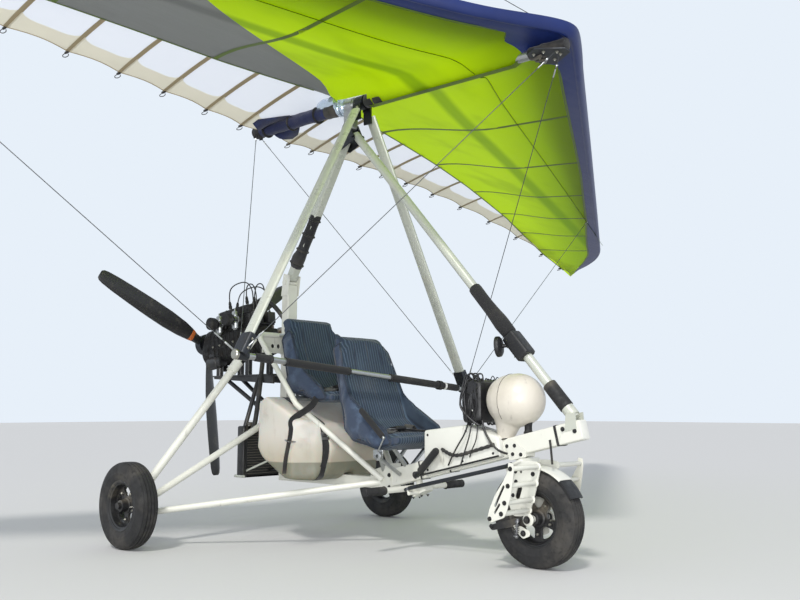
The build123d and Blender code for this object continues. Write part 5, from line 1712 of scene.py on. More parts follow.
def make_strut_foam():
    """The lumpy foam tube round the front strut, and the sleeve at its foot."""
    foam_tube = bmesh.new()
    start, end = on_strut(0.598), on_strut(0.752)
    long = (end - start).length
    place = frame_at(start, end - start)
    profile = [(0.0, STRUT_BORE), (0.0, 0.0260), (0.004, 0.0290), (0.02, 0.0302), (0.10, 0.0298),
               (0.16, 0.0306), (0.21, 0.0350), (0.235, 0.0356), (long - 0.006, 0.0330), (long, 0.0290),
               (long, STRUT_BORE), (0.0, STRUT_BORE)]
    lathe(foam_tube, place, profile, 32)
    for v in foam_tube.verts:
        away = noise.noise(v.co * 22) * 0.0022
        axis_point = start + (end - start).normalized() * (v.co - start).dot((end - start).normalized())
        out = v.co - axis_point
        if out.length > 0.024:
            v.co += out.normalized() * away
    tube = piece(foam_tube, "strut_foam", "foam", "trike", TRIKE)
    sleeve = bmesh.new()
    low, high = on_strut(0.905), on_strut(0.972)
    spin(sleeve, low, high - low,
         [(0.0, STRUT_BORE), (0.0, 0.0295), (0.003, 0.0308), ((high - low).length - 0.003, 0.0308),
          ((high - low).length, 0.0292), ((high - low).length, STRUT_BORE), (0.0, STRUT_BORE)], 28)
    piece(sleeve, "strut_foot_sleeve", "rubber", "trike", TRIKE)


def make_mirror():
    """The black clamp block on the strut, with a stub, a cable eye and the round mirror's back."""
    clamp = bmesh.new()
    start, end = on_strut(0.755), on_strut(0.822)
    long = (end - start).length
    place = frame_at(start, end - start)
    rings = []
    for t, grow in ((0.0, 0.84), (0.04, 0.98), (0.12, 1.0), (0.88, 1.0), (0.96, 0.98), (1.0, 0.86)):
        rings.append([place @ Vector((u * grow - 0.004, v * grow, t * long))
                      for u, v in round_box(0.074, 0.070, 0.016, 5)])
    loft(clamp, rings)
    stem = on_strut(0.78)
    back = Vector((stem.x - 0.056, -0.038, stem.z - 0.013))
    bar(clamp, stem, back, 0.009, 14)
    face = Vector((-0.022, -0.008, -0.002)).normalized()
    spin(clamp, back, face,
         [(-0.004, 0.0), (-0.004, 0.022), (0.0, 0.036), (0.006, 0.0445), (0.014, 0.0462), (0.022, 0.0458),
          (0.0235, 0.0440), (0.020, 0.0425), (0.020, 0.0)], 40)
    for t in (0.28, 0.72):
        spin(clamp, place @ Vector((0.033, 0, t * long)), place.to_3x3() @ Vector((1, 0, 0)),
             [(0, 0.010), (0.006, 0.009), (0.006, 0)], 16, (0, 0, 1))
    piece(clamp, "mirror_block", "plastic", "trike", TRIKE, replaces=("mirror_clamp",))
    glass = bmesh.new()
    spin(glass, back, face, [(0.0202, 0.0), (0.0202, 0.0422), (0.0212, 0.0420), (0.0212, 0.0)], 40)
    piece(glass, "mirror_glass", "glass", "trike", TRIKE)
    bolts = bmesh.new()
    for t in (0.28, 0.72):
        for turned in (-1, 1):
            hex_bolt(bolts, frame_at(place @ Vector((0.014 * turned - 0.004, -0.035, t * long)),
                                     place.to_3x3() @ Vector((0, -1, 0)), (0, 0, 1)), 0.0055, 0.004)
    piece(bolts, "mirror_block_bolts", "bolt", "trike", TRIKE)


make_mast_cover()
make_strut_foam()
make_mirror()


# Fuel tank

TANK_SIDE = [(0.237, 0.463), (0.246, 0.700), (0.300, 0.727), (0.527, 0.622), (0.600, 0.588), (0.640, 0.470),
             (0.610, 0.345), (0.560, 0.308), (0.446, 0.322), (0.279, 0.414)]
TANK_HALF = 0.318
TUNNEL_TOP = 0.337
TANK_VOXEL = 0.0085
STRAP_Y = 0.190


def make_tank():
    """The blow-moulded tank, with a channel under each strap, a parting line, a cap and a fuel line."""
    form = bmesh.new()
    clip = [(Vector((0.570, side * 0.234, 0)), Vector((0.168, side * 0.140, 0))) for side in (-1, 1)]
    raised = [(x, max(z, TUNNEL_TOP)) for x, z in TANK_SIDE]
    slab(form, TANK_SIDE, 0.034, TANK_HALF, clip=clip[1:])
    slab(form, TANK_SIDE, -TANK_HALF, -0.034, clip=clip[:1])
    slab(form, raised, -0.060, 0.060)
    tank = fuse(form, "fuel_tank_shell", TANK_VOXEL, 26)
    middle = Vector((0.43, 0, 0.50))
    for v in tank.data.vertices:
        near = max(0.0, 1 - abs(abs(v.co.y) - STRAP_Y) / 0.034)
        away = (v.co - middle).normalized()
        v.co -= away * 0.0045 * near * near * (3 - 2 * near)
        v.co += away * 0.0020 * exp(-((abs(v.co.y) - 0.02) / 0.003) ** 2) * (1 if v.co.z > 0.4 else 0)
        v.co.x += 0.0016 * noise.noise(v.co * 7)
    finish_soft(tank, "tank", "trike", TRIKE, ("fuel_tank",), (), 0)
    skin = closest_on(tank)

    cap = bmesh.new()
    top = skin((0.40, 0.255, 0.74))
    place = frame_at(top, (0.42, 0, 0.9))
    lathe(cap, place, [(-0.010, 0.0), (-0.010, 0.038), (0.004, 0.038), (0.006, 0.034), (0.006, 0.030),
                       (0.012, 0.031), (0.030, 0.030), (0.033, 0.026), (0.033, 0.0)], 32)
    for a in round_angles(24):
        bar(cap, place @ Vector((0.0305 * cos(a), 0.0305 * sin(a), 0.013)),
            place @ Vector((0.0298 * cos(a), 0.0298 * sin(a), 0.030)), 0.0016, 6, 0.0005)
    piece(cap, "fuel_cap", "plastic", "trike", TRIKE)
    pickup = bmesh.new()
    spot = skin((0.330, -0.120, 0.74))
    hose(pickup, smooth_path([spot + Vector((0, 0, -0.006)), spot + Vector((-0.01, 0, 0.03)),
                              spot + Vector((-0.055, 0.02, 0.045)), spot + Vector((-0.13, 0.05, 0.04)),
                              (0.135, -0.052, 0.80)], 8), 0.0042, 8)
    spin(pickup, spot, (0.3, 0, 1),
         [(-0.004, 0.0), (-0.004, 0.013), (0.008, 0.013), (0.010, 0.010), (0.018, 0.008), (0.018, 0.0)], 18)
    piece(pickup, "fuel_pipe", "hose", "trike", TRIKE)

    webs = bmesh.new()
    metal_parts = bmesh.new()
    for side in (-1, 1):
        line = []
        for x, z in rounded(TANK_SIDE, 0.05, 5):
            spot = skin((x, side * STRAP_Y, z), 0.0018)
            spot.y = side * STRAP_Y
            line.append(spot)
        hose(webs, line, 0, section=web_section(0.019, 0.0012, 0.017), closed=True)
        spot = skin((0.62, side * STRAP_Y, 0.53), 0.0075)
        spot.y = side * STRAP_Y
        up = Vector((-0.32, 0, 0.95))
        buckle_at = frame_at(spot, up.cross(Vector((0, 1, 0))) * -1, (0, 1, 0))
        buckle(metal_parts, buckle_at, 0.050, 0.040)
        tail = [spot + Vector((0.002, 0, -0.01)), spot + Vector((0.012, 0, -0.05)),
                spot + Vector((0.010, side * 0.006, -0.11)), spot + Vector((-0.004, side * 0.010, -0.15))]
        strap(webs, tail, 0.017, 0.001)
        line = [Vector((0.600, side * 0.236, 0.716)), Vector((0.584, side * 0.262, 0.672))]
        line += [skin((x, side * 0.36, z), 0.0016)
                 for x, z in ((0.562, 0.618), (0.540, 0.562), (0.523, 0.511), (0.487, 0.4225),
                              (0.474, 0.345))]
        strap(webs, smooth_path(line, 5), 0.021, 0.0016)
        spot = skin((0.520, side * 0.36, 0.506), 0.007)
        buckle(metal_parts, frame_at(spot, (-0.3, 0, -0.95), (0, side, 0)), 0.052, 0.034)
    piece(webs, "tank_webs", "web", "trike", TRIKE, replaces=("tank_straps",))
    piece(metal_parts, "tank_buckles", "steel", "trike", TRIKE)


make_tank()


# Nose: mudguard, bolts, springs and the beam's end


def arc_shell(bm, centre, radius, low, high, half, thin, fold, steps=40):
    """A curved guard over a wheel: a thin crowned band with folded edges, about the Y axis."""
    rings = []
    across = [(-half, -fold), (-half, -0.002), (-half + 0.004, 0.0), (-half * 0.5, 0.0012), (0, 0.0018),
              (half * 0.5, 0.0012), (half - 0.004, 0.0), (half, -0.002), (half, -fold)]
    inner = [(y * (half - thin) / half, v - (thin if abs(y) < half else 0)) for y, v in across[::-1]]
    for k in range(steps + 1):
        a = low + (high - low) * k / steps
        rings.append([centre + Vector((cos(a) * (radius + v), y, sin(a) * (radius + v)))
                      for y, v in across + inner])
    loft(bm, rings)


def coil(bm, start, end, radius, wire, turns, steps=14):
    """A coil spring between two points."""
    place = frame_at(Vector(start), Vector(end) - Vector(start))
    long = (Vector(end) - Vector(start)).length
    count = int(turns * steps)
    line = []
    for k in range(count + 1):
        a = 2 * pi * k / steps
        line.append(place @ Vector((radius * cos(a), radius * sin(a), long * k / count)))
    hose(bm, line, wire, 6)


def side_bolt(bm, x, y, z, side, size, height):
    """A bolt whose head looks out to one side."""
    hex_bolt(bm, frame_at((x, y, z), (0, side, 0), (1, 0, 0)), size, height)


FORK_SIDE = [
    # distance ahead of the nose wheel's axle, height over the floor
    (-0.115, 0.405),
    (-0.037, 0.446),
    (0.046, 0.444),
    (0.058, 0.420),
    (0.034, 0.325),
    (0.004, 0.238),
    (-0.030, 0.216),
    (-0.082, 0.212),
    (-0.104, 0.262),
    (-0.108, 0.335)
]
FORK_SLOTS = [
    # start, end and half width of each slot in the cheeks
    ((-0.046, 0.330), (-0.058, 0.296), 0.012), ((-0.040, 0.412), (-0.040, 0.398), 0.006)]
FORK_BRACE = [(-0.214, 0.164), (-0.196, 0.144), (0.022, 0.190), (0.022, 0.220), (-0.012, 0.224)]
AXLE_PLATE = [(-0.080, 0.176), (-0.040, 0.176), (0.004, 0.158), (0.004, 0.138), (-0.030, 0.124),
              (-0.060, 0.146)]
PEG_PLATE = [(0.037, 0.449), (0.060, 0.445), (0.062, 0.413), (0.054, 0.360), (0.043, 0.307),
             (0.023, 0.2485), (0.012, 0.230), (-0.0565, 0.2054), (-0.072, 0.216), (-0.060, 0.2585),
             (-0.030, 0.3187), (0.011, 0.374), (0.034, 0.412)]
PEG_SLOTS = [((0.012, 0.352), (-0.031, 0.274), 0.0055), ((-0.010, 0.280), (-0.034, 0.246), 0.005)]
PEGS = [(0.047, 0.424), (0.034, 0.356), (0.016, 0.288), (-0.001, 0.244)]
RAKE = radians(25)
STEER_X = 1.655
STEER_PIVOT = Vector((STEER_X, 0, beam_z(STEER_X) - 0.026))
STEER_UP = Vector((-sin(RAKE), 0, cos(RAKE)))


def fork_side(y):
    """The upright plane at that Y, with X forward from the nose axle and Y up from the floor."""
    return Matrix.Translation((AXLE_X, y, 0)) @ Matrix.Rotation(pi / 2, 4, 'X')


def make_fork():
    """The fork: two slotted cheeks under a crown, their braces, the axle and the steering arm."""
    fork = bmesh.new()
    links = bmesh.new()
    frames = bmesh.new()
    slots = [slot_of(start, end, wide) for start, end, wide in FORK_SLOTS]
    peg_slots = [slot_of(start, end, wide) for start, end, wide in PEG_SLOTS]
    for side in (-1, 1):
        sheet_metal(frames, fork_side(side * 0.262), rounded(PEG_PLATE, 0.006), peg_slots, 0.005, 0.001)
        for x, z in PEGS:
            bar(frames, (AXLE_X + x, side * 0.068, z), (AXLE_X + x, side * 0.260, z), 0.0105, 22)
            spin(frames, (AXLE_X + x, side * 0.0700, z), (0, side, 0),
                 [(0.0, 0.0), (0.0, 0.0165), (0.0035, 0.0165), (0.006, 0.012), (0.007, 0.0)], 22)
    piece(frames, "foot_peg_frames", "white", "fork", TRIKE, replaces=("foot_pegs",))
    for side in (-1, 1):
        sheet_metal(fork, fork_side(side * 0.066), rounded(FORK_SIDE, 0.016), slots, 0.008, 0.0012)
        sheet_metal(links, fork_side(side * 0.0675), rounded(FORK_BRACE, 0.010), [], 0.0050, 0.0012)
        sheet_metal(fork, fork_side(side * 0.0725), rounded(AXLE_PLATE, 0.008), [], 0.0045, 0.0010)
        bar(fork, (AXLE_X, side * 0.0445, WHEEL_Z), (AXLE_X, side * 0.062, WHEEL_Z), 0.016, 20)
        spin(fork, (AXLE_X, 0, WHEEL_Z), (0, side, 0),
             [(0.0735, 0.0), (0.0735, 0.0245), (0.0755, 0.0265), (0.0790, 0.0265), (0.0805, 0.0245),
              (0.0805, 0.0)], 30)
    turned = frame_at(STEER_PIVOT - STEER_UP * 0.016, STEER_UP, (0, 1, 0))
    block(fork, turned, (0.140, 0.096, 0.028), 0.007, 3)
    bar(fork, (AXLE_X, -0.086, WHEEL_Z), (AXLE_X, 0.086, WHEEL_Z), 0.0098, 20)
    arm = STEER_PIVOT - STEER_UP * 0.032
    bar(fork, arm + Vector((0, -0.062, 0)), arm + Vector((0, -0.103, 0)), 0.009, 18)
    bar(fork, arm + Vector((0, -0.100, 0)) - STEER_UP * 0.006,
        arm + Vector((0, -0.100, 0)) + STEER_UP * 0.028, 0.005, 12)
    piece(fork, "fork_frame", "white", "fork", TRIKE, replaces=("nose_fork",))
    piece(links, "fork_links", "black_paint", "fork", TRIKE)


def make_nose():
    """The mudguard, the bolts and springs of the fork, and the end of the beam."""
    guard = bmesh.new()
    centre = Vector((AXLE_X, 0, WHEEL_Z))
    arc_shell(guard, centre, 0.2132, radians(26.5), radians(153.5), 0.046, 0.0024, 0.011)
    for side in (-1, 1):
        block(guard, (AXLE_X, side * 0.053, WHEEL_Z + 0.2135), (0.022, 0.018, 0.003), 0.001, 1)
    piece(guard, "mudguard_shell", "plastic", "fork", TRIKE, replaces=("mudguard",))
    plate = bmesh.new()
    arc_shell(plate, centre, 0.2162, radians(50), radians(104), 0.0475, 0.0018, 0.008, 24)
    piece(plate, "mudguard_plate", "panel", "fork", TRIKE)

    nuts = bmesh.new()
    pale = bmesh.new()
    springs = bmesh.new()
    for side in (-1, 1):
        for x, z, size in ((-0.066, 0.400, 0.007), (0.022, 0.3926, 0.0075), (-0.064, 0.3576, 0.0065),
                           (-0.080, 0.300, 0.0065), (-0.036, 0.240, 0.0065), (-0.196, 0.162, 0.0075)):
            side_bolt(nuts, AXLE_X + x, side * 0.070, z, side, size, 0.006)
        for x, z in PEGS + [(-0.0585, 0.2205)]:
            spin(pale, (AXLE_X + x, side * 0.2646, z), (0, side, 0),
                 [(0, 0.0100), (0.003, 0.0090), (0.0035, 0.0)], 16)
            side_bolt(nuts, AXLE_X + x, side * 0.2676, z, side, 0.005, 0.0035)
        side_bolt(nuts, AXLE_X - 0.028, side * 0.0750, 0.147, side, 0.010, 0.008)
        side_bolt(nuts, AXLE_X, side * 0.088, WHEEL_Z, side, 0.0125, 0.010)
        top = Vector((AXLE_X - 0.052, side * 0.0805, 0.196))
        low = Vector((AXLE_X - 0.060, side * 0.0805, 0.134))
        coil(springs, top, low, 0.0095, 0.0018, 7)
        bar(springs, top + Vector((0, 0, 0.008)), low + Vector((0, 0, -0.006)), 0.0042, 10)
        for end in (top, low):
            spin(springs, end, (0, 0, 1), [(-0.002, 0.0), (-0.002, 0.012), (0.002, 0.012), (0.002, 0.0)], 16)
        block(springs, (AXLE_X - 0.052, side * 0.075, 0.200), (0.014, 0.012, 0.012), 0.002, 2)
        block(springs, (AXLE_X - 0.060, side * 0.075, 0.130), (0.014, 0.012, 0.012), 0.002, 2)
    piece(nuts, "fork_bolts", "black_paint", "fork", TRIKE)
    piece(pale, "peg_ends", "plastic", "fork", TRIKE)
    piece(springs, "fork_springs", "steel", "fork", TRIKE)

    crown = bmesh.new()
    pivot, up = STEER_PIVOT, STEER_UP
    spin(crown, pivot - up * 0.0305, up,
         [(-0.012, 0.0), (-0.012, 0.013), (-0.004, 0.015), (0.0, 0.022), (0.0, 0.0)], 20)
    for side in (-1, 1):
        for ahead in (-0.030, 0.030):
            foot = pivot + Vector((cos(RAKE) * ahead, side * 0.050, sin(RAKE) * ahead)) - up * 0.0302
            hex_bolt(crown, frame_at(foot, -up), 0.006, 0.005)
    piece(crown, "fork_crown_bolts", "bolt", "fork", TRIKE)

    head = bmesh.new()
    for side in (-1, 1):
        for ahead, rise in ((-0.052, 0.050), (-0.012, 0.044), (0.020, 0.000), (-0.022, 0.010)):
            x = STEER_X + ahead
            side_bolt(head, x, side * 0.035, beam_z(x) + rise, side, 0.0065, 0.005)
        for x in (1.885, 1.940):
            side_bolt(head, x, side * (0.034 if x < 1.93 else 0.0302),
                      beam_z(x, 0.041 if x > 1.93 else 0.060), side, 0.0075, 0.005)
    for x, y in ((0.905, -0.036), (0.795, -0.036), (0.905, 0.036), (0.795, 0.036)):
        side_bolt(head, x, y, 0.345 if x > 0.85 else 0.300, 1 if y > 0 else -1, 0.008, 0.006)
        side_bolt(head, x, y, 0.290 if x > 0.85 else 0.345, 1 if y > 0 else -1, 0.006, 0.005)
    piece(head, "frame_bolts", "black_paint", "trike", TRIKE)

    cap = bmesh.new()
    nose = Vector((1.965, 0, beam_z(1.965, 0.041)))
    place = frame_at(nose, (cos(BEAM_SLOPE), 0, sin(BEAM_SLOPE)))
    rings = []
    for t, grow in ((-0.004, 0.93), (0.0, 0.985), (0.0035, 0.97), (0.0045, 0.90)):
        rings.append([place @ Vector((u * grow, v * grow, t)) for u, v in round_box(0.058, 0.080, 0.008)])
    loft(cap, rings)
    piece(cap, "beam_cap", "panel", "trike", TRIKE)

    straps = bmesh.new()
    for x, half in ((1.852, 0.006), (1.275, 0.004), (1.10, 0.004)):
        middle = Vector((x, 0, beam_z(x, 0.041)))
        way = Vector((cos(BEAM_SLOPE), 0, sin(BEAM_SLOPE)))
        rise = Vector((-sin(BEAM_SLOPE), 0, cos(BEAM_SLOPE)))
        ring = [middle + Vector((0, u, 0)) + rise * v for u, v in round_box(0.0625, 0.0845, 0.007, 4)]
        rings = [[p + way * s for p in ring] for s in (-half, half)]
        wide = [middle + Vector((0, u, 0)) + rise * v for u, v in round_box(0.0655, 0.0875, 0.008, 4)]
        outer = [[p + way * s for p in wide] for s in (half, -half)]
        made = [[straps.verts.new(p) for p in r] for r in rings + outer]
        join_rings(straps, made + made[:1])
    tail = [(1.822, -0.034, beam_z(1.822, 0.030)), (1.828, -0.037, beam_z(1.828, 0.0)),
            (1.830, -0.036, beam_z(1.83, -0.03)), (1.832, -0.034, beam_z(1.832, -0.070))]
    strap(straps, tail, 0.005, 0.001, (1, 0, 0))
    piece(straps, "beam_straps", "web", "trike", TRIKE)


# Console, pod and instruments

POD_X = 1.622
POD_Z = 0.700
POD_VOXEL = 0.006
PANEL_X = 1.410


def make_console():
    """The white console on the beam, with its screws and its lower edging."""
    shell = bmesh.new()
    outline = [(1.150, beam_z(1.150, 0.008)), (1.590, beam_z(1.590, 0.008)), (1.575, beam_z(1.575, 0.096)),
               (1.400, beam_z(1.400, 0.182)), (1.150, beam_z(1.150, 0.211))]
    slab(shell, outline, -0.064, 0.064, 0.012, 4)
    piece(shell, "console_shell", "panel", "trike", TRIKE, replaces=("console",))
    trim = bmesh.new()
    for side in (-1, 1):
        for x, above in ((1.175, 0.030), (1.175, 0.185), (1.38, 0.030), (1.40, 0.155), (1.55, 0.030)):
            spin(trim, (x, side * 0.0635, beam_z(x, above)), (0, side, 0),
                 [(0, 0.0065), (0.0016, 0.0058), (0.0026, 0.003), (0.0028, 0)], 14)
        low = [Vector((x, side * 0.0648, beam_z(x, 0.014))) for x in even(1.158, 1.580, 12)]
        hose(trim, low, 0.0042, 8)
    piece(trim, "console_trim", "rubber", "trike", TRIKE)


def make_pod():
    """The egg-shaped pod, blended into its throat, with a moulding line round it."""
    form = bmesh.new()
    profile = [(-0.116, 0.0), (-0.114, 0.036), (-0.104, 0.068), (-0.084, 0.090), (-0.050, 0.1065),
               (-0.010, 0.1155), (0.028, 0.1165), (0.062, 0.1100), (0.091, 0.0950), (0.114, 0.0740),
               (0.130, 0.0480), (0.138, 0.0230), (0.1400, 0.0)]
    spin(form, (POD_X, 0, POD_Z), (1, 0, 0), profile, 64)
    top = Vector((POD_X - 0.026, 0, POD_Z - 0.052))
    low = Vector((POD_X - 0.052, 0, beam_z(POD_X - 0.052, 0.082) - 0.004))
    spin(form, low, top - low,
         [(0.0, 0.0), (0.0, 0.034), (0.02, 0.038), (0.06, 0.052), (0.10, 0.070), (0.130, 0.088),
          (0.150, 0.0)], 48)
    pod = fuse(form, "instrument_pod_shell", POD_VOXEL, 10)
    finish_soft(pod, "pod", "trike", TRIKE, ("instrument_pod",), (), 0)
    trim = bmesh.new()
    skin = closest_on(pod)
    ring = [skin((POD_X - 0.020, 0.2 * cos(a), POD_Z + 0.2 * sin(a)), 0.0) for a in round_angles(72)]
    ring = [p for p in ring if p.z > POD_Z - 0.11]
    first = max(range(len(ring)), key=lambda k: (ring[k] - ring[k - 1]).length)
    hose(trim, ring[first:] + ring[:first], 0.0014, 6)
    foot = Vector((POD_X + 0.070, 0, beam_z(POD_X + 0.070, 0.082) - 0.001))
    spin(trim, foot, (0, 0, 1), [(0.0, 0.0), (0.0, 0.020), (0.004, 0.021), (0.014, 0.0165), (0.030, 0.016),
                                 (0.050, 0.019), (0.078, 0.018), (0.078, 0.0)], 28)
    collar = [low + Vector((0.037 * cos(a), 0.037 * sin(a), 0.004 + 0.0086 * cos(a)))
              for a in round_angles(40)]
    hose(trim, collar, 0.0032, 8, closed=True)
    piece(trim, "pod_trim", "rubber", "trike", TRIKE)


def make_panel():
    """The black instrument box with four dials and switches facing the pilot, and its wiring."""
    rng = random.Random(11)
    case = bmesh.new()
    middle = Vector((PANEL_X + 0.046, 0, POD_Z - 0.004))
    rings = []
    for x, grow in ((-0.046, 0.965), (-0.042, 1.0), (0.010, 1.0), (0.040, 0.92), (0.046, 0.86)):
        rings.append([middle + Vector((x, u * grow, v * grow)) for u, v in round_box(0.196, 0.190, 0.026, 6)])
    loft(case, rings)
    dials = [(y, POD_Z + z) for y in (-0.05, 0.05) for z in (0.040, -0.050)]
    for y, z in dials:
        spin(case, (PANEL_X, y, z), (-1, 0, 0),
             [(0.0, 0.0385), (0.006, 0.0385), (0.0095, 0.0365), (0.0100, 0.0350), (0.0095, 0.0335),
              (0.003, 0.0325), (0.003, 0.0)], 40)
        for a in even(pi / 4, 2 * pi + pi / 4, 4)[:-1]:
            spin(case, (PANEL_X, y + 0.046 * cos(a), z + 0.046 * sin(a)), (-1, 0, 0),
                 [(0, 0.0025), (0.0012, 0.0020), (0.0014, 0)], 8)
    piece(case, "panel_case", "plastic", "trike", TRIKE, replaces=("instrument_panel",))

    marks = bmesh.new()
    for k, (y, z) in enumerate(dials):
        hub = frame_at((PANEL_X - 0.0034, y, z), (-1, 0, 0), (0, 1, 0))
        for step in range(25):
            a = radians(-130 + 260 * step / 24)
            long = 0.0055 if step % 3 == 0 else 0.003
            tick = hub @ Matrix.Rotation(a, 4, 'Z') @ Matrix.Translation((0, 0.0295 - long / 2, 0))
            block(marks, tick, (0.0011 if step % 3 else 0.0016, long, 0.0005), 0)
        needle = hub @ Matrix.Rotation(radians((-110, -60, 40, -125)[k]), 4, 'Z')
        block(marks, needle @ Matrix.Translation((0, 0.011, 0.0012)), (0.0018, 0.026, 0.0008), 0.0003, 1)
        lathe(marks, hub, [(0.0, 0.0035), (0.002, 0.003), (0.0022, 0)], 12)
    piece(marks, "dial_marks", "mark", "trike", TRIKE)

    glass = bmesh.new()
    for y, z in dials:
        spin(glass, (PANEL_X - 0.0031, y, z), (-1, 0, 0),
             [(0, 0.0), (0, 0.0322), (0.0002, 0.0322), (0.0002, 0.0)], 36)
    piece(glass, "dial_faces", "dial", "trike", TRIKE)

    switches = bmesh.new()
    for k, y in enumerate((-0.066, -0.022, 0.022, 0.066)):
        spot = Vector((PANEL_X, y, POD_Z - 0.005))
        spin(switches, spot, (-1, 0, 0),
             [(0, 0.0055), (0.003, 0.0055), (0.003, 0.003), (0.006, 0.0028), (0.006, 0)], 12)
        bar(switches, spot + Vector((-0.004, 0, 0)),
            spot + Vector((-0.018, 0, 0.007 if k % 2 else -0.007)), 0.0018, 8)
    piece(switches, "panel_switches", "bolt", "trike", TRIKE)

    loom = bmesh.new()
    for k in range(16):
        side = -1 if k % 3 else 1
        x = PANEL_X + 0.012 + 0.070 * rng.random()
        top = Vector((x, side * (0.050 + 0.040 * rng.random()), POD_Z + 0.088 + 0.024 * rng.random()))
        bulge = Vector((x + 0.02 * (rng.random() - 0.5), side * (0.103 + 0.014 * rng.random()), POD_Z + 0.05))
        waist = Vector((x + 0.03 * (rng.random() - 0.5), side * (0.100 + 0.018 * rng.random()), POD_Z - 0.03))
        foot = Vector((PANEL_X + 0.015 + 0.06 * rng.random(), side * (0.070 + 0.022 * rng.random()),
                       POD_Z - 0.106))
        inside = Vector((foot.x, side * 0.050, POD_Z - 0.090))
        start = Vector((top.x, side * 0.045, POD_Z + 0.080))
        hose(loom, smooth_path([start, top, bulge, waist, foot, inside], 7),
             rng.choice((0.0022, 0.003, 0.0042)), 7)
    for k in range(7):
        place = (Matrix.Translation((PANEL_X + 0.02 + 0.055 * rng.random(), -0.103 - 0.006 * rng.random(),
                                     POD_Z - 0.085 + 0.15 * rng.random()))
                 @ Matrix.Rotation(rng.random() * 0.8 - 0.4, 4, 'Y'))
        block(loom, place, (0.020 + 0.014 * rng.random(), 0.014, 0.024 + 0.016 * rng.random()), 0.002, 2)
    for k in range(5):
        x = PANEL_X + 0.015 + 0.016 * k
        y = -0.085 + 0.024 * rng.random()
        arch = [(x, y, POD_Z + 0.080), (x - 0.003, y - 0.002, POD_Z + 0.108 + 0.012 * rng.random()),
                (x + 0.012, y + 0.012, POD_Z + 0.114), (x + 0.018, y + 0.014, POD_Z + 0.082)]
        hose(loom, smooth_path(arch, 6), 0.0032, 7)
    piece(loom, "panel_loom", "lead", "trike", TRIKE)
    ties = bmesh.new()
    block(ties, (PANEL_X + 0.070, -0.104, POD_Z + 0.014), (0.016, 0.010, 0.010), 0.002, 2)
    block(ties, (PANEL_X + 0.066, -0.106, POD_Z - 0.044), (0.010, 0.008, 0.008), 0.002, 2)
    piece(ties, "loom_connectors", "mark", "trike", TRIKE)


def make_levers():
    """The foam-gripped levers beside the console and the seat, and the loom along the console."""
    grip = bmesh.new()
    low, high = Vector((1.120, -0.086, 0.350)), Vector((1.262, -0.098, 0.480))
    long = (high - low).length
    spin(grip, low + (high - low) * 0.20, high - low,
         [(0.0, 0.0085), (0.0, 0.0140), (0.005, 0.0165), (0.03, 0.0172), (0.075, 0.0166), (0.12, 0.0172),
          (long * 0.80 - 0.012, 0.0168), (long * 0.80 - 0.002, 0.0120), (long * 0.80, 0.0)], 22)
    piece(grip, "lever_grip", "foam", "trike", TRIKE, replaces=("hand_lever",))
    stem = bmesh.new()
    bar(stem, low - (high - low) * 0.03, high - (high - low) * 0.1, 0.0080, 14)
    bar(stem, (1.120, -0.031, 0.360), (1.120, -0.092, 0.360), 0.0085, 14)
    spin(stem, (1.120, -0.088, 0.360), (0, -1, 0),
         [(-0.014, 0.0), (-0.014, 0.015), (0.004, 0.015), (0.006, 0.011), (0.006, 0.0)], 20)
    side_bolt(stem, 1.120, -0.094, 0.360, -1, 0.007, 0.005)
    piece(stem, "lever_stem", "black_paint", "trike", TRIKE)

    upper, lower = Vector((0.918, -0.246, 0.659)), Vector((1.062, -0.246, 0.536))
    tube = bmesh.new()
    spin(tube, lower, upper - lower,
         [(0.0, 0.0), (0.0, 0.011), (0.004, 0.0135), (0.05, 0.0140), (0.10, 0.0135), (0.15, 0.0140),
          (0.182, 0.0135), (0.188, 0.011), (0.190, 0.0)], 20)
    piece(tube, "side_lever_grip", "foam", "trike", TRIKE)
    linkage = bmesh.new()
    boss = Vector((1.007, -0.214, 0.446))
    bar(linkage, lower + (upper - lower) * 0.04, lower - (upper - lower) * 0.07, 0.0062, 12)
    bar(linkage, lower - (upper - lower) * 0.05, boss + Vector((0.012, -0.022, 0.018)), 0.0034, 10)
    spin(linkage, boss, (0, -1, 0),
         [(-0.004, 0.008), (-0.004, 0.018), (-0.002, 0.021), (0.010, 0.021), (0.012, 0.018),
          (0.012, 0.008), (-0.004, 0.008)], 26)
    block(linkage, Matrix.Translation(boss + Vector((-0.012, 0.008, 0.008))), (0.062, 0.005, 0.040), 0.001, 1)
    bar(linkage, boss + Vector((-0.014, 0.008, -0.004)), (0.985, -0.045, 0.352), 0.009, 14)
    piece(linkage, "side_lever_bracket", "alloy", "trike", TRIKE)
    bundle = bmesh.new()
    line = smooth_path([(1.2647, -0.0700, 0.4813), (1.310, -0.0735, 0.462), (1.3578, -0.0735, 0.4560),
                        (1.420, -0.0720, 0.470), (1.4851, -0.0715, 0.4877), (1.560, -0.0700, 0.508)], 7)
    hose(bundle, line, [0.0065 + 0.0014 * (k % 3) for k in range(len(line))], 10)
    piece(bundle, "console_loom", "web", "trike", TRIKE)


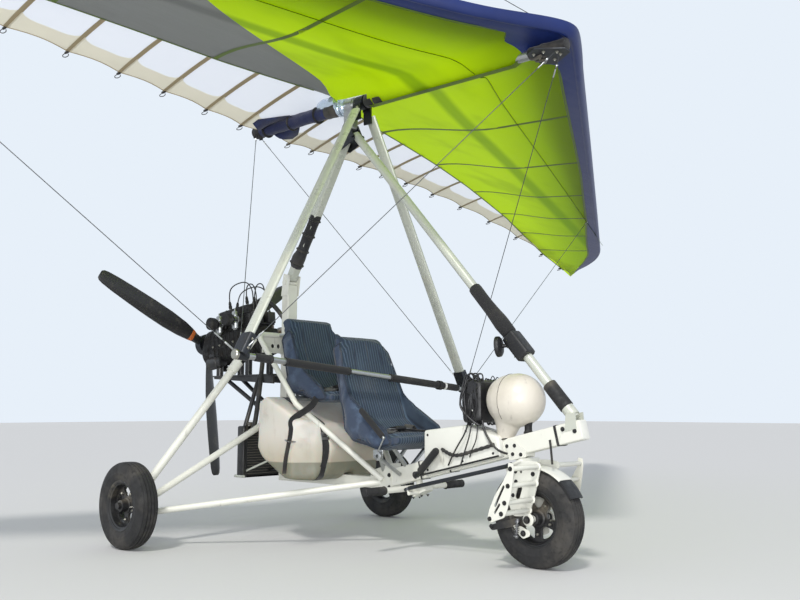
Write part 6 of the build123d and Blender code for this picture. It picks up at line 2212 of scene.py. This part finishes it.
def make_bar_grips():
    """Foam sleeves on the base bar, with hard collars at their ends."""
    sleeve = bmesh.new()
    rng = random.Random(5)
    for start, end in ((-0.695, -0.612), (-0.512, -0.130), (0.175, 0.705)):
        profile = [(start, BAR_BORE), (start, 0.0165), (start + 0.003, 0.0178)]
        steps = int((end - start) / 0.02)
        profile += [(start + 0.006 + (end - start - 0.012) * k / steps, 0.0182 + 0.0005 * rng.random())
                    for k in range(steps + 1)]
        profile += [(end - 0.003, 0.0178), (end, 0.0165), (end, BAR_BORE), (start, BAR_BORE)]
        spin(sleeve, (BAR.x, 0, BAR.z), (0, 1, 0), profile, 24)
    piece(sleeve, "bar_foam", "foam", "wing", WING, replaces=("bar_grips",))
    rings = bmesh.new()
    for y, radius, half in ((-0.606, 0.0205, 0.007), (-0.518, 0.0200, 0.005), (-0.124, 0.0195, 0.005),
                            (0.552, 0.0245, 0.014), (0.169, 0.0200, 0.005)):
        spin(rings, (BAR.x, y, BAR.z), (0, 1, 0),
             [(-half, BAR_BORE), (-half, radius - 0.002), (-half + 0.002, radius), (half - 0.002, radius),
              (half, radius - 0.002), (half, BAR_BORE), (-half, BAR_BORE)], 24)
    piece(rings, "bar_collars", "rubber", "wing", WING)
    pale = bmesh.new()
    spin(pale, (BAR.x, 0.592, BAR.z), (0, 1, 0),
         [(-0.007, BAR_BORE), (-0.007, 0.0195), (0.007, 0.0195), (0.007, BAR_BORE), (-0.007, BAR_BORE)], 24)
    piece(pale, "bar_ring", "mark", "wing", WING)


FOOT_BAR_X = 1.075


def make_foot_grips():
    """Ribbed rubber grips on the rear foot bar."""
    grips = bmesh.new()
    x, z = 1.045, beam_z(FOOT_BAR_X) - 0.026 - 0.012
    for side in (-1, 1):
        profile = [(0.215, BAR_BORE), (0.215, 0.0190), (0.218, 0.0205), (0.221, 0.0205), (0.223, 0.0175)]
        for k in range(15):
            along_bar = 0.227 + 0.0074 * k
            profile += [(along_bar, 0.0174), (along_bar + 0.0012, 0.0190), (along_bar + 0.0040, 0.0190),
                        (along_bar + 0.0052, 0.0174)]
        profile += [(0.340, 0.0190), (0.346, 0.0195), (0.349, 0.0170), (0.350, 0.0)]
        spin(grips, (x, 0, z), (0, side, 0), profile, 24)
    piece(grips, "foot_grip_rubber", "rubber", "foot_bar", TRIKE, replaces=("foot_grips",))
    bolts = bmesh.new()
    for side in (-1, 1):
        for ahead in (-0.026, 0.026):
            height = beam_z(FOOT_BAR_X) - 0.066 - 0.012 * (ahead < 0)
            hex_bolt(bolts, upside_down((FOOT_BAR_X + ahead, side * 0.022, height)), 0.006, 0.005)
    piece(bolts, "foot_bar_bolts", "black_paint", "foot_bar", TRIKE)


make_fork()
make_nose()
make_console()
make_pod()
make_panel()
make_levers()
make_bar_grips()
make_foot_grips()


# Engine, in its own frame: X runs forward along the thrust line from the hub

CRANK_Z = -0.072
CYLINDERS = (0.295, 0.455)
CARBURETTORS = (0.300, 0.450)
CAN_Y = 0.175
CAN_Z = -0.040


def cast_form(bm, outline, low, high, soft):
    """A casting whose outline is drawn in Y and Z, from X low to X high, with rounded ends."""
    middle = Vector((sum(p[0] for p in outline), sum(p[1] for p in outline))) / len(outline)
    rings = []
    for x, inset in ((low, soft), (low + soft * 0.35, soft * 0.35), (low + soft, 0), (high - soft, 0),
                     (high - soft * 0.35, soft * 0.35), (high, soft)):
        ring = []
        for y, z in outline:
            away = Vector((y, z)) - middle
            away *= max(0.0, 1 - inset / max(away.length, 1e-6))
            ring.append(Vector((x, middle.x + away.x, middle.y + away.y)))
        rings.append(ring)
    loft(bm, rings)


def round_hull(circles):
    """The outline round several circles, as (y, z)."""
    points = [(cy + u, cz + v) for cy, cz, r in circles for u, v in disc(r, 40)]
    return [points[k] for k in convex_hull_2d(points)]


def stack(bm, outline, x, levels):
    """An upright block at x; levels holds heights, each with the outline's growth there."""
    loft(bm, [[Vector((x + u * g, v * g, z)) for u, v in outline] for z, g in levels])


def make_engine():
    """The finned crankcase and cylinders, their bolts, the plugs and the ignition coils."""
    case = bmesh.new()
    outline = rounded([(-0.105, -0.150), (0.105, -0.150), (0.105, 0.006), (-0.105, 0.006)],
                      [0.045, 0.045, 0.012, 0.012], 6)
    cast_form(case, outline, 0.200, 0.565, 0.010)
    joint = rounded([(-0.105, CRANK_Z - 0.006), (0.105, CRANK_Z - 0.006), (0.105, CRANK_Z + 0.006),
                     (-0.105, CRANK_Z + 0.006)], 0.003)
    cast_form(case, [(y * 1.03, z) for y, z in joint], 0.203, 0.562, 0.002)
    for k in range(9):
        x = 0.225 + 0.038 * k
        rib = [(y * 1.035, CRANK_Z + (z - CRANK_Z) * 1.035) for y, z in outline]
        cast_form(case, rib, x - 0.0022, x + 0.0022, 0.001)
    spin(case, (0.560, 0, CRANK_Z), (1, 0, 0),
         [(0.0, 0.088), (0.012, 0.088), (0.016, 0.084), (0.028, 0.080), (0.036, 0.062), (0.037, 0.050),
          (0.033, 0.046), (0.033, 0.020), (0.038, 0.017), (0.039, 0.0)], 40)
    for k in range(8):
        a = 2 * pi * (k + 0.5) / 8
        spin(case, (0.572, 0.079 * cos(a), CRANK_Z + 0.079 * sin(a)), (1, 0, 0),
             [(0, 0.009), (0.007, 0.008), (0.008, 0.0)], 14)
    piece(case, "crankcase", "cast_shade_dark", "trike", ENGINE, replaces=("engine",))

    top = bmesh.new()
    for x in CYLINDERS:
        corner = round_box(0.146, 0.150, 0.030, 6)
        for z0, z1, grow in ((0.006, 0.013, 1.03), (0.013, 0.095, 0.97), (0.095, 0.102, 1.03)):
            stack(top, corner, x,
                  ((z0, grow - 0.02), (z0 + 0.0015, grow), (z1 - 0.0015, grow), (z1, grow - 0.02)))
        for k in range(5):
            z = 0.026 + 0.014 * k
            stack(top, corner, x,
                  ((z - 0.0022, 0.965), (z - 0.0012, 1.0), (z + 0.0012, 1.0), (z + 0.0022, 0.965)))
        block(top, (x, 0.084, 0.055), (0.060, 0.030, 0.050), 0.006, 3)
        block(top, (x, -0.080, 0.062), (0.058, 0.020, 0.058), 0.006, 3)
    corner = round_box(0.310, 0.140, 0.032, 6)
    stack(top, corner, 0.375, ((0.102, 0.99), (0.106, 1.0), (0.134, 1.0), (0.141, 0.985), (0.146, 0.94)))
    for x in CYLINDERS:
        spin(top, (x, 0, 0.142), (0, 0, 1), [(0, 0.040), (0.008, 0.037), (0.010, 0.030), (0.008, 0.0)], 28)
    spin(top, (0.510, 0, 0.138), (1, 0, 0.7),
         [(-0.01, 0.0), (-0.01, 0.026), (0.012, 0.024), (0.014, 0.015), (0.040, 0.015), (0.040, 0.0)], 24)
    piece(top, "cylinder_block", "cast_shade_dark", "trike", ENGINE)

    bolts = bmesh.new()
    plugs = bmesh.new()
    for x in CYLINDERS:
        for k in range(6):
            a = 2 * pi * (k + 0.5) / 6
            hex_bolt(bolts, Matrix.Translation((x + 0.056 * cos(a), 0.055 * sin(a), 0.143)), 0.006, 0.005)
        for y in (-0.022, 0.022):
            base = Vector((x, y, 0.150))
            tilt = Vector((0.05, y * 6, 1)).normalized()
            spin(bolts, base, tilt,
                 [(0, 0.0105), (0.008, 0.0105), (0.009, 0.007), (0.014, 0.007), (0.014, 0)], 6)
            spin(plugs, base + tilt * 0.012, tilt,
                 [(0.0, 0.0), (0.0, 0.0095), (0.016, 0.0105), (0.020, 0.0085), (0.034, 0.0085),
                  (0.040, 0.0065), (0.044, 0.0060), (0.044, 0.0)], 18)
    for k in range(6):
        x = 0.222 + 0.064 * k
        for side in (-1, 1):
            hex_bolt(bolts, frame_at((x, side * 0.1085, CRANK_Z + 0.013), (0, side, 0.15), (1, 0, 0)),
                     0.005, 0.004)
    piece(bolts, "engine_bolts", "bolt", "trike", ENGINE)
    piece(plugs, "plug_caps", "rubber", "trike", ENGINE)

    coils = bmesh.new()
    for y in (-0.045, 0.045):
        block(coils, (0.562, y, 0.062), (0.054, 0.052, 0.066), 0.006, 3)
        for k in (-1, 1):
            spin(coils, (0.553, y + 0.012 * k, 0.094), (0, 0, 1),
                 [(0, 0.008), (0.014, 0.007), (0.016, 0.0045), (0.016, 0)], 14)
    block(coils, (0.556, 0, 0.026), (0.044, 0.140, 0.010), 0.002, 2)
    block(coils, (0.548, 0, 0.014), (0.024, 0.060, 0.020), 0.001, 1)
    piece(coils, "ignition_coils", "plastic", "trike", ENGINE)


def make_gearbox():
    """The gearbox behind the propeller, with its bolts, and the starter beside it."""
    box = bmesh.new()
    outline = round_hull(((0, 0, 0.070), (0, CRANK_Z, 0.088)))
    rim = [(0.076 * cos(a), CRANK_Z / 2 + 0.100 * sin(a)) for a in round_angles(10)]
    cast_form(box, outline, 0.073, 0.150, 0.010)
    flange = [(y * 1.05, CRANK_Z / 2 + (z - CRANK_Z / 2) * 1.04) for y, z in outline]
    cast_form(box, flange, 0.128, 0.142, 0.003)
    cast_form(box, [(y * 0.97, z) for y, z in outline], 0.142, 0.200, 0.006)
    spin(box, (0.0235, 0, 0), (1, 0, 0),
         [(0.0, 0.0), (0.0, 0.030), (0.010, 0.034), (0.030, 0.036), (0.052, 0.046), (0.052, 0.0)], 32)
    for y, z in rim:
        spin(box, (0.121, y, z), (1, 0, 0), [(0, 0.0), (0, 0.0085), (0.020, 0.0085), (0.020, 0.0)], 12)
    block(box, (0.175, 0, -0.176), (0.050, 0.070, 0.028), 0.006, 3)
    piece(box, "gearbox_case", "cast_shade_dark", "trike", ENGINE, replaces=("gearbox",))
    bolts = bmesh.new()
    for y, z in rim:
        hex_bolt(bolts, frame_at((0.121, y, z), (-1, 0, 0)), 0.0055, 0.005)
    for a in round_angles(6):
        hex_bolt(bolts, frame_at((0.0735, 0.052 * cos(a), 0.052 * sin(a)), (-1, 0, 0)), 0.004, 0.004, False)
    piece(bolts, "gearbox_bolts", "bolt", "trike", ENGINE)
    starter = bmesh.new()
    spin(starter, (0.150, -0.088, -0.150), (1, 0, 0),
         [(0.0, 0.0), (0.0, 0.026), (0.01, 0.030), (0.012, 0.036), (0.100, 0.036), (0.104, 0.032),
          (0.130, 0.031), (0.134, 0.024), (0.134, 0.0)], 28)
    spin(starter, (0.170, -0.088, -0.106), (1, 0, 0),
         [(0.0, 0.0), (0.0, 0.017), (0.060, 0.017), (0.062, 0.0)], 20)
    piece(starter, "starter_motor", "black_paint", "trike", ENGINE)


def make_silencer():
    """The silencer with its two pipes and its outlet, and the springs and bands that hold it."""
    can = bmesh.new()
    spin(can, (0.230, CAN_Y, CAN_Z), (1, 0, 0),
         [(0.0, 0.0), (0.0, 0.030), (0.004, 0.046), (0.012, 0.055), (0.020, 0.0572), (0.026, 0.0590),
          (0.032, 0.0572), (0.160, 0.0572), (0.165, 0.0588), (0.170, 0.0572), (0.298, 0.0572),
          (0.304, 0.0590), (0.310, 0.0572), (0.318, 0.055), (0.326, 0.046), (0.330, 0.030), (0.330, 0.0)],
         40)
    for a, b in (((0.295, 0.098, 0.055), (0.318, 0.160, 0.004)),
                 ((0.455, 0.098, 0.055), (0.430, 0.160, 0.004))):
        a, b = Vector(a), Vector(b)
        knee = (a + b) / 2 + Vector((0, 0.020, 0.022))
        hose(can, smooth_path([a - Vector((0, 0.008, 0)), a, knee, b, b + (b - knee) * 0.15], 6), 0.0185, 18)
        spin(can, a, (0, 1, 0), [(-0.003, 0.0), (-0.003, 0.030), (0.004, 0.030), (0.004, 0.0)], 24)
    outlet = [(0.548, 0.175, -0.040), (0.590, 0.175, -0.052), (0.612, 0.176, -0.072),
              (0.618, 0.178, -0.100)]
    hose(can, smooth_path(outlet, 6), 0.0195, 18)
    piece(can, "silencer_can", "exhaust", "trike", ENGINE, replaces=("silencer",))
    springs = bmesh.new()
    for x in CYLINDERS:
        for dx in (-0.026, 0.026):
            coil(springs, (x + dx, 0.100, 0.060), (x + dx, 0.148, 0.010), 0.0052, 0.0010, 9, 10)
    for x in (0.262, 0.512):
        line = [Vector((x, CAN_Y + 0.0592 * cos(a), CAN_Z + 0.0592 * sin(a))) for a in round_angles(44)]
        hose(springs, line, 0, section=flat_band(0.007, 0.0007), closed=True)
        block(springs, (x, 0.112, -0.050), (0.016, 0.020, 0.024), 0.002, 2)
    piece(springs, "silencer_fixings", "steel", "trike", ENGINE)


def make_intake():
    """Two carburettors, each with a pleated filter."""
    carbs = bmesh.new()
    for x in CARBURETTORS:
        spin(carbs, (x, -0.088, 0.062), (0, -1, 0),
             [(0.0, 0.0), (0.0, 0.020), (0.008, 0.020), (0.010, 0.024), (0.016, 0.024), (0.018, 0.020),
              (0.044, 0.020), (0.046, 0.025), (0.052, 0.025), (0.052, 0.0)], 24)
        spin(carbs, (x, -0.112, 0.062), (0, 0, 1),
             [(-0.062, 0.0), (-0.060, 0.012), (-0.050, 0.021), (-0.022, 0.022), (-0.018, 0.014),
              (0.014, 0.014), (0.018, 0.018), (0.044, 0.018), (0.048, 0.015), (0.050, 0.006),
              (0.066, 0.004), (0.066, 0.0)], 20)
    piece(carbs, "carburettors", "alloy", "trike", ENGINE)
    filters = bmesh.new()
    for x in CARBURETTORS:
        profile = [(0.0, 0.0), (0.0, 0.026), (0.006, 0.027), (0.008, 0.031)]
        for k in range(4):
            profile += [(0.011 + 0.0082 * k, 0.0315 + 0.0005 * k), (0.015 + 0.0082 * k, 0.0350 + 0.0005 * k)]
        profile += [(0.044, 0.036), (0.049, 0.034), (0.051, 0.027), (0.051, 0.0)]
        spin(filters, (x, -0.136, 0.062), (0, -1, 0), profile, 30)
        spin(filters, (x, -0.072, 0.062), (0, -1, 0),
             [(0.0, 0.0), (0.0, 0.027), (0.006, 0.028), (0.016, 0.026), (0.018, 0.0)], 24)
    piece(filters, "air_filters", "rubber", "trike", ENGINE, replaces=("air_intake",))


def make_radiator():
    """The radiator's core between its tanks, with its tubes, cap and brace."""
    core = bmesh.new()
    block(core, (-0.041, 0, 0.432), (0.046, 0.352, 0.268), 0.001, 1)
    piece(core, "radiator_core", "core", "trike", TRIKE)
    tanks = bmesh.new()
    for side in (-1, 1):
        block(tanks, (-0.041, side * 0.192, 0.432), (0.056, 0.034, 0.276), 0.010, 4)
        for z in (0.300, 0.564):
            block(tanks, (-0.041, 0, z), (0.054, 0.360, 0.010), 0.002, 2)
        spin(tanks, (-0.014, side * 0.186, 0.525), (1, 0, 0.25),
             [(-0.012, 0.0), (-0.012, 0.0125), (0.020, 0.0125), (0.022, 0.0140), (0.026, 0.0140),
              (0.026, 0.0)], 20)
        bar(tanks, (-0.040, side * 0.180, 0.560), (-0.040, side * 0.086, 0.846), 0.0118, 16)
        bar(tanks, (-0.014, side * 0.024, 0.330), (0.074, side * 0.024, 0.346), 0.009, 14)
    spin(tanks, (-0.041, -0.150, 0.566), (0, 0, 1),
         [(0.0, 0.0), (0.0, 0.022), (0.010, 0.022), (0.012, 0.027), (0.020, 0.027), (0.024, 0.022),
          (0.025, 0.0)], 24)
    piece(tanks, "radiator_tanks", "black_paint", "trike", TRIKE, replaces=("radiator",))
    brace = bmesh.new()
    bar(brace, (-0.074, -0.205, 0.305), (0.246, -0.075, 0.452), 0.0055, 12)
    bar(brace, (-0.085, -0.205, 0.302), (-0.004, -0.205, 0.302), 0.0075, 12)
    piece(brace, "radiator_brace", "tube", "trike", TRIKE)


def blade_ring(radius, chord, thick, twist):
    """The aerofoil outline of a blade at a radius, flat behind and crowned in front."""
    turn = radians(twist)
    steps = 11
    outline = []
    for k in range(steps + 1):
        s = 0.5 - 0.5 * cos(pi * k / steps)
        rise = thick * (2.6 * sqrt(s) - 1.1 * s - 2.9 * s ** 2 + 1.4 * s ** 3) / 0.94
        outline.append((chord * (s - 0.5), rise))
    for k in range(1, steps):
        s = 0.5 + 0.5 * cos(pi * k / steps)
        outline.append((chord * (s - 0.5), -0.06 * thick * sin(pi * s)))
    return [Vector((u * sin(turn) + v * cos(turn), u * cos(turn) - v * sin(turn), radius))
            for u, v in outline]


BLADE = [
    # radius, chord, thickness and twist from the disc
    (0.052, 0.046, 0.036, 50),
    (0.095, 0.056, 0.034, 46),
    (0.135, 0.078, 0.027, 41),
    (0.190, 0.096, 0.022, 36),
    (0.300, 0.108, 0.0185, 28),
    (0.420, 0.108, 0.0155, 22),
    (0.560, 0.100, 0.013, 18),
    (0.680, 0.090, 0.0105, 15),
    (0.750, 0.078, 0.0085, 13),
    (0.776, 0.066, 0.007, 12.4),
    (0.788, 0.046, 0.005, 12.1),
    (0.7895, 0.030, 0.003, 12)
]


BLADE_COUNT = 3
FIRST_BLADE = 62


def make_propeller():
    """Three blades with orange bands near the root, and the hub's bolts."""
    blades = bmesh.new()
    bands = bmesh.new()
    for k in range(BLADE_COUNT):
        turn = Matrix.Rotation(radians(FIRST_BLADE + 360 / BLADE_COUNT * k), 4, 'X')
        loft(blades, [[turn @ p for p in blade_ring(*row_of)] for row_of in BLADE])
        near = []
        for radius, grow in ((0.104, 1.02), (0.1045, 1.035), (0.127, 1.03), (0.1275, 1.015)):
            values = [radius] + [table_at(BLADE, radius, c) for c in (1, 2, 3)]
            ring = blade_ring(*values)
            middle = sum(ring, Vector()) / len(ring)
            near.append([turn @ (middle + (p - middle) * grow) for p in ring])
        loft(bands, near)
    piece(blades, "blade_shells", "blade", "propeller", ENGINE,
          replaces=("propeller_blades",))
    piece(bands, "blade_bands", "band", "propeller", ENGINE)
    hub = bmesh.new()
    for k in range(6):
        a = 2 * pi * (k + 0.25) / 6
        foot = Vector((-0.023, 0.050 * cos(a), 0.050 * sin(a)))
        hex_bolt(hub, frame_at(foot, (-1, 0, 0)), 0.005, 0.005)
    spin(hub, (-0.023, 0, 0), (-1, 0, 0), [(0, 0.024), (0.004, 0.024), (0.009, 0.018), (0.010, 0.0)], 28)
    piece(hub, "hub_bolts", "bolt", "propeller", ENGINE)


make_engine()
make_gearbox()
make_silencer()
make_intake()
make_radiator()
make_propeller()


# Cables, leads and hoses


def cable(name, diameter, points, material="lead", place=TRIKE):
    """A cable of that diameter along the points, which goes back into the object at its far end."""
    curve = bpy.data.curves.new(name, 'CURVE')
    curve.dimensions = '3D'
    curve.bevel_depth = diameter / 2
    curve.bevel_resolution = 3
    curve.resolution_u = 8
    curve.use_fill_caps = True
    spline = curve.splines.new('NURBS')
    spline.points.add(len(points) - 1)
    for point, at in zip(spline.points, points):
        point.co = tuple(place @ Vector(at)) + (1.0,)
    spline.order_u = 3
    spline.use_endpoint_u = True
    ob = bpy.data.objects.new(name, curve)
    scene.collection.objects.link(ob)
    curve.materials.append(M[material])
    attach(ob, "trike")


NOSE_CABLES = {
    # cable: length, diameter and its points, in the drawings' frame
    "panel_cable_a": (0.236, 0.007,
                      [(1.425, -0.078, 0.604), (1.416, -0.082, 0.560), (1.372, -0.088, 0.500),
                       (1.325, -0.078, 0.440), (1.300, -0.066, 0.410)]),
    "panel_cable_b": (0.222, 0.006,
                      [(1.450, -0.084, 0.602), (1.446, -0.090, 0.555), (1.420, -0.096, 0.480),
                       (1.392, -0.090, 0.420), (1.370, -0.066, 0.410)]),
    "panel_cable_c": (0.173, 0.005,
                      [(1.478, -0.076, 0.604), (1.480, -0.082, 0.570), (1.474, -0.086, 0.520),
                       (1.446, -0.084, 0.480), (1.424, -0.067, 0.450)]),
    "panel_cable_d": (0.202, 0.010,
                      [(1.498, -0.070, 0.610), (1.512, -0.080, 0.575), (1.552, -0.088, 0.520),
                       (1.590, -0.078, 0.480), (1.606, -0.038, 0.470)]),
}
ENGINE_LEADS = {
    "plug_lead_a": (0.437, 0.007,
                    [(0.2962, 0.0251, 0.174), (0.298, 0.032, 0.226), (0.336, 0.040, 0.272),
                     (0.470, 0.046, 0.276), (0.546, 0.052, 0.226), (0.553, 0.057, 0.165),
                     (0.553, 0.057, 0.112)]),
    "plug_lead_b": (0.465, 0.007,
                    [(0.2962, -0.0251, 0.174), (0.298, -0.034, 0.232), (0.340, -0.046, 0.290),
                     (0.490, -0.052, 0.290), (0.548, -0.056, 0.230), (0.553, -0.057, 0.165),
                     (0.553, -0.057, 0.112)]),
    "plug_lead_c": (0.317, 0.007,
                    [(0.4562, 0.0251, 0.174), (0.458, 0.031, 0.226), (0.478, 0.034, 0.280),
                     (0.530, 0.034, 0.276), (0.551, 0.033, 0.226), (0.553, 0.033, 0.160),
                     (0.553, 0.033, 0.112)]),
    "plug_lead_d": (0.299, 0.007,
                    [(0.4562, -0.0251, 0.174), (0.458, -0.031, 0.222), (0.476, -0.034, 0.270),
                     (0.526, -0.034, 0.268), (0.550, -0.033, 0.220), (0.553, -0.033, 0.160),
                     (0.553, -0.033, 0.112)]),
}
for cable_name, (long, wide, line) in NOSE_CABLES.items():
    cable(cable_name, wide, line)
for cable_name, (long, wide, line) in ENGINE_LEADS.items():
    cable(cable_name, wide, line, place=ENGINE)

HOSE_WIDTH = 0.026
OUTLET = TRIKE.inverted() @ ENGINE @ Vector((0.548, 0.0, 0.166))
INLET = TRIKE.inverted() @ ENGINE @ Vector((0.590, -0.050, -0.110))
COOLANT_HOSE = [(0.014, 0.186, 0.532), (0.045, 0.184, 0.550), (0.058, 0.170, 0.700), (0.050, 0.140, 0.930),
                (0.030, 0.070, 1.130), OUTLET + Vector((0.055, 0.012, 0.010)), OUTLET]
FAR_HOSE = [(0.014, -0.186, 0.532), (0.045, -0.184, 0.550), (0.056, -0.170, 0.680), (0.030, -0.130, 0.840),
            INLET + Vector((0.050, -0.020, -0.020)), INLET]
for cable_name, long, line in (("coolant_hose_left", 0.876, COOLANT_HOSE),
                               ("coolant_hose_right", 0.551, FAR_HOSE)):
    cable(cable_name, HOSE_WIDTH, line, "hose")
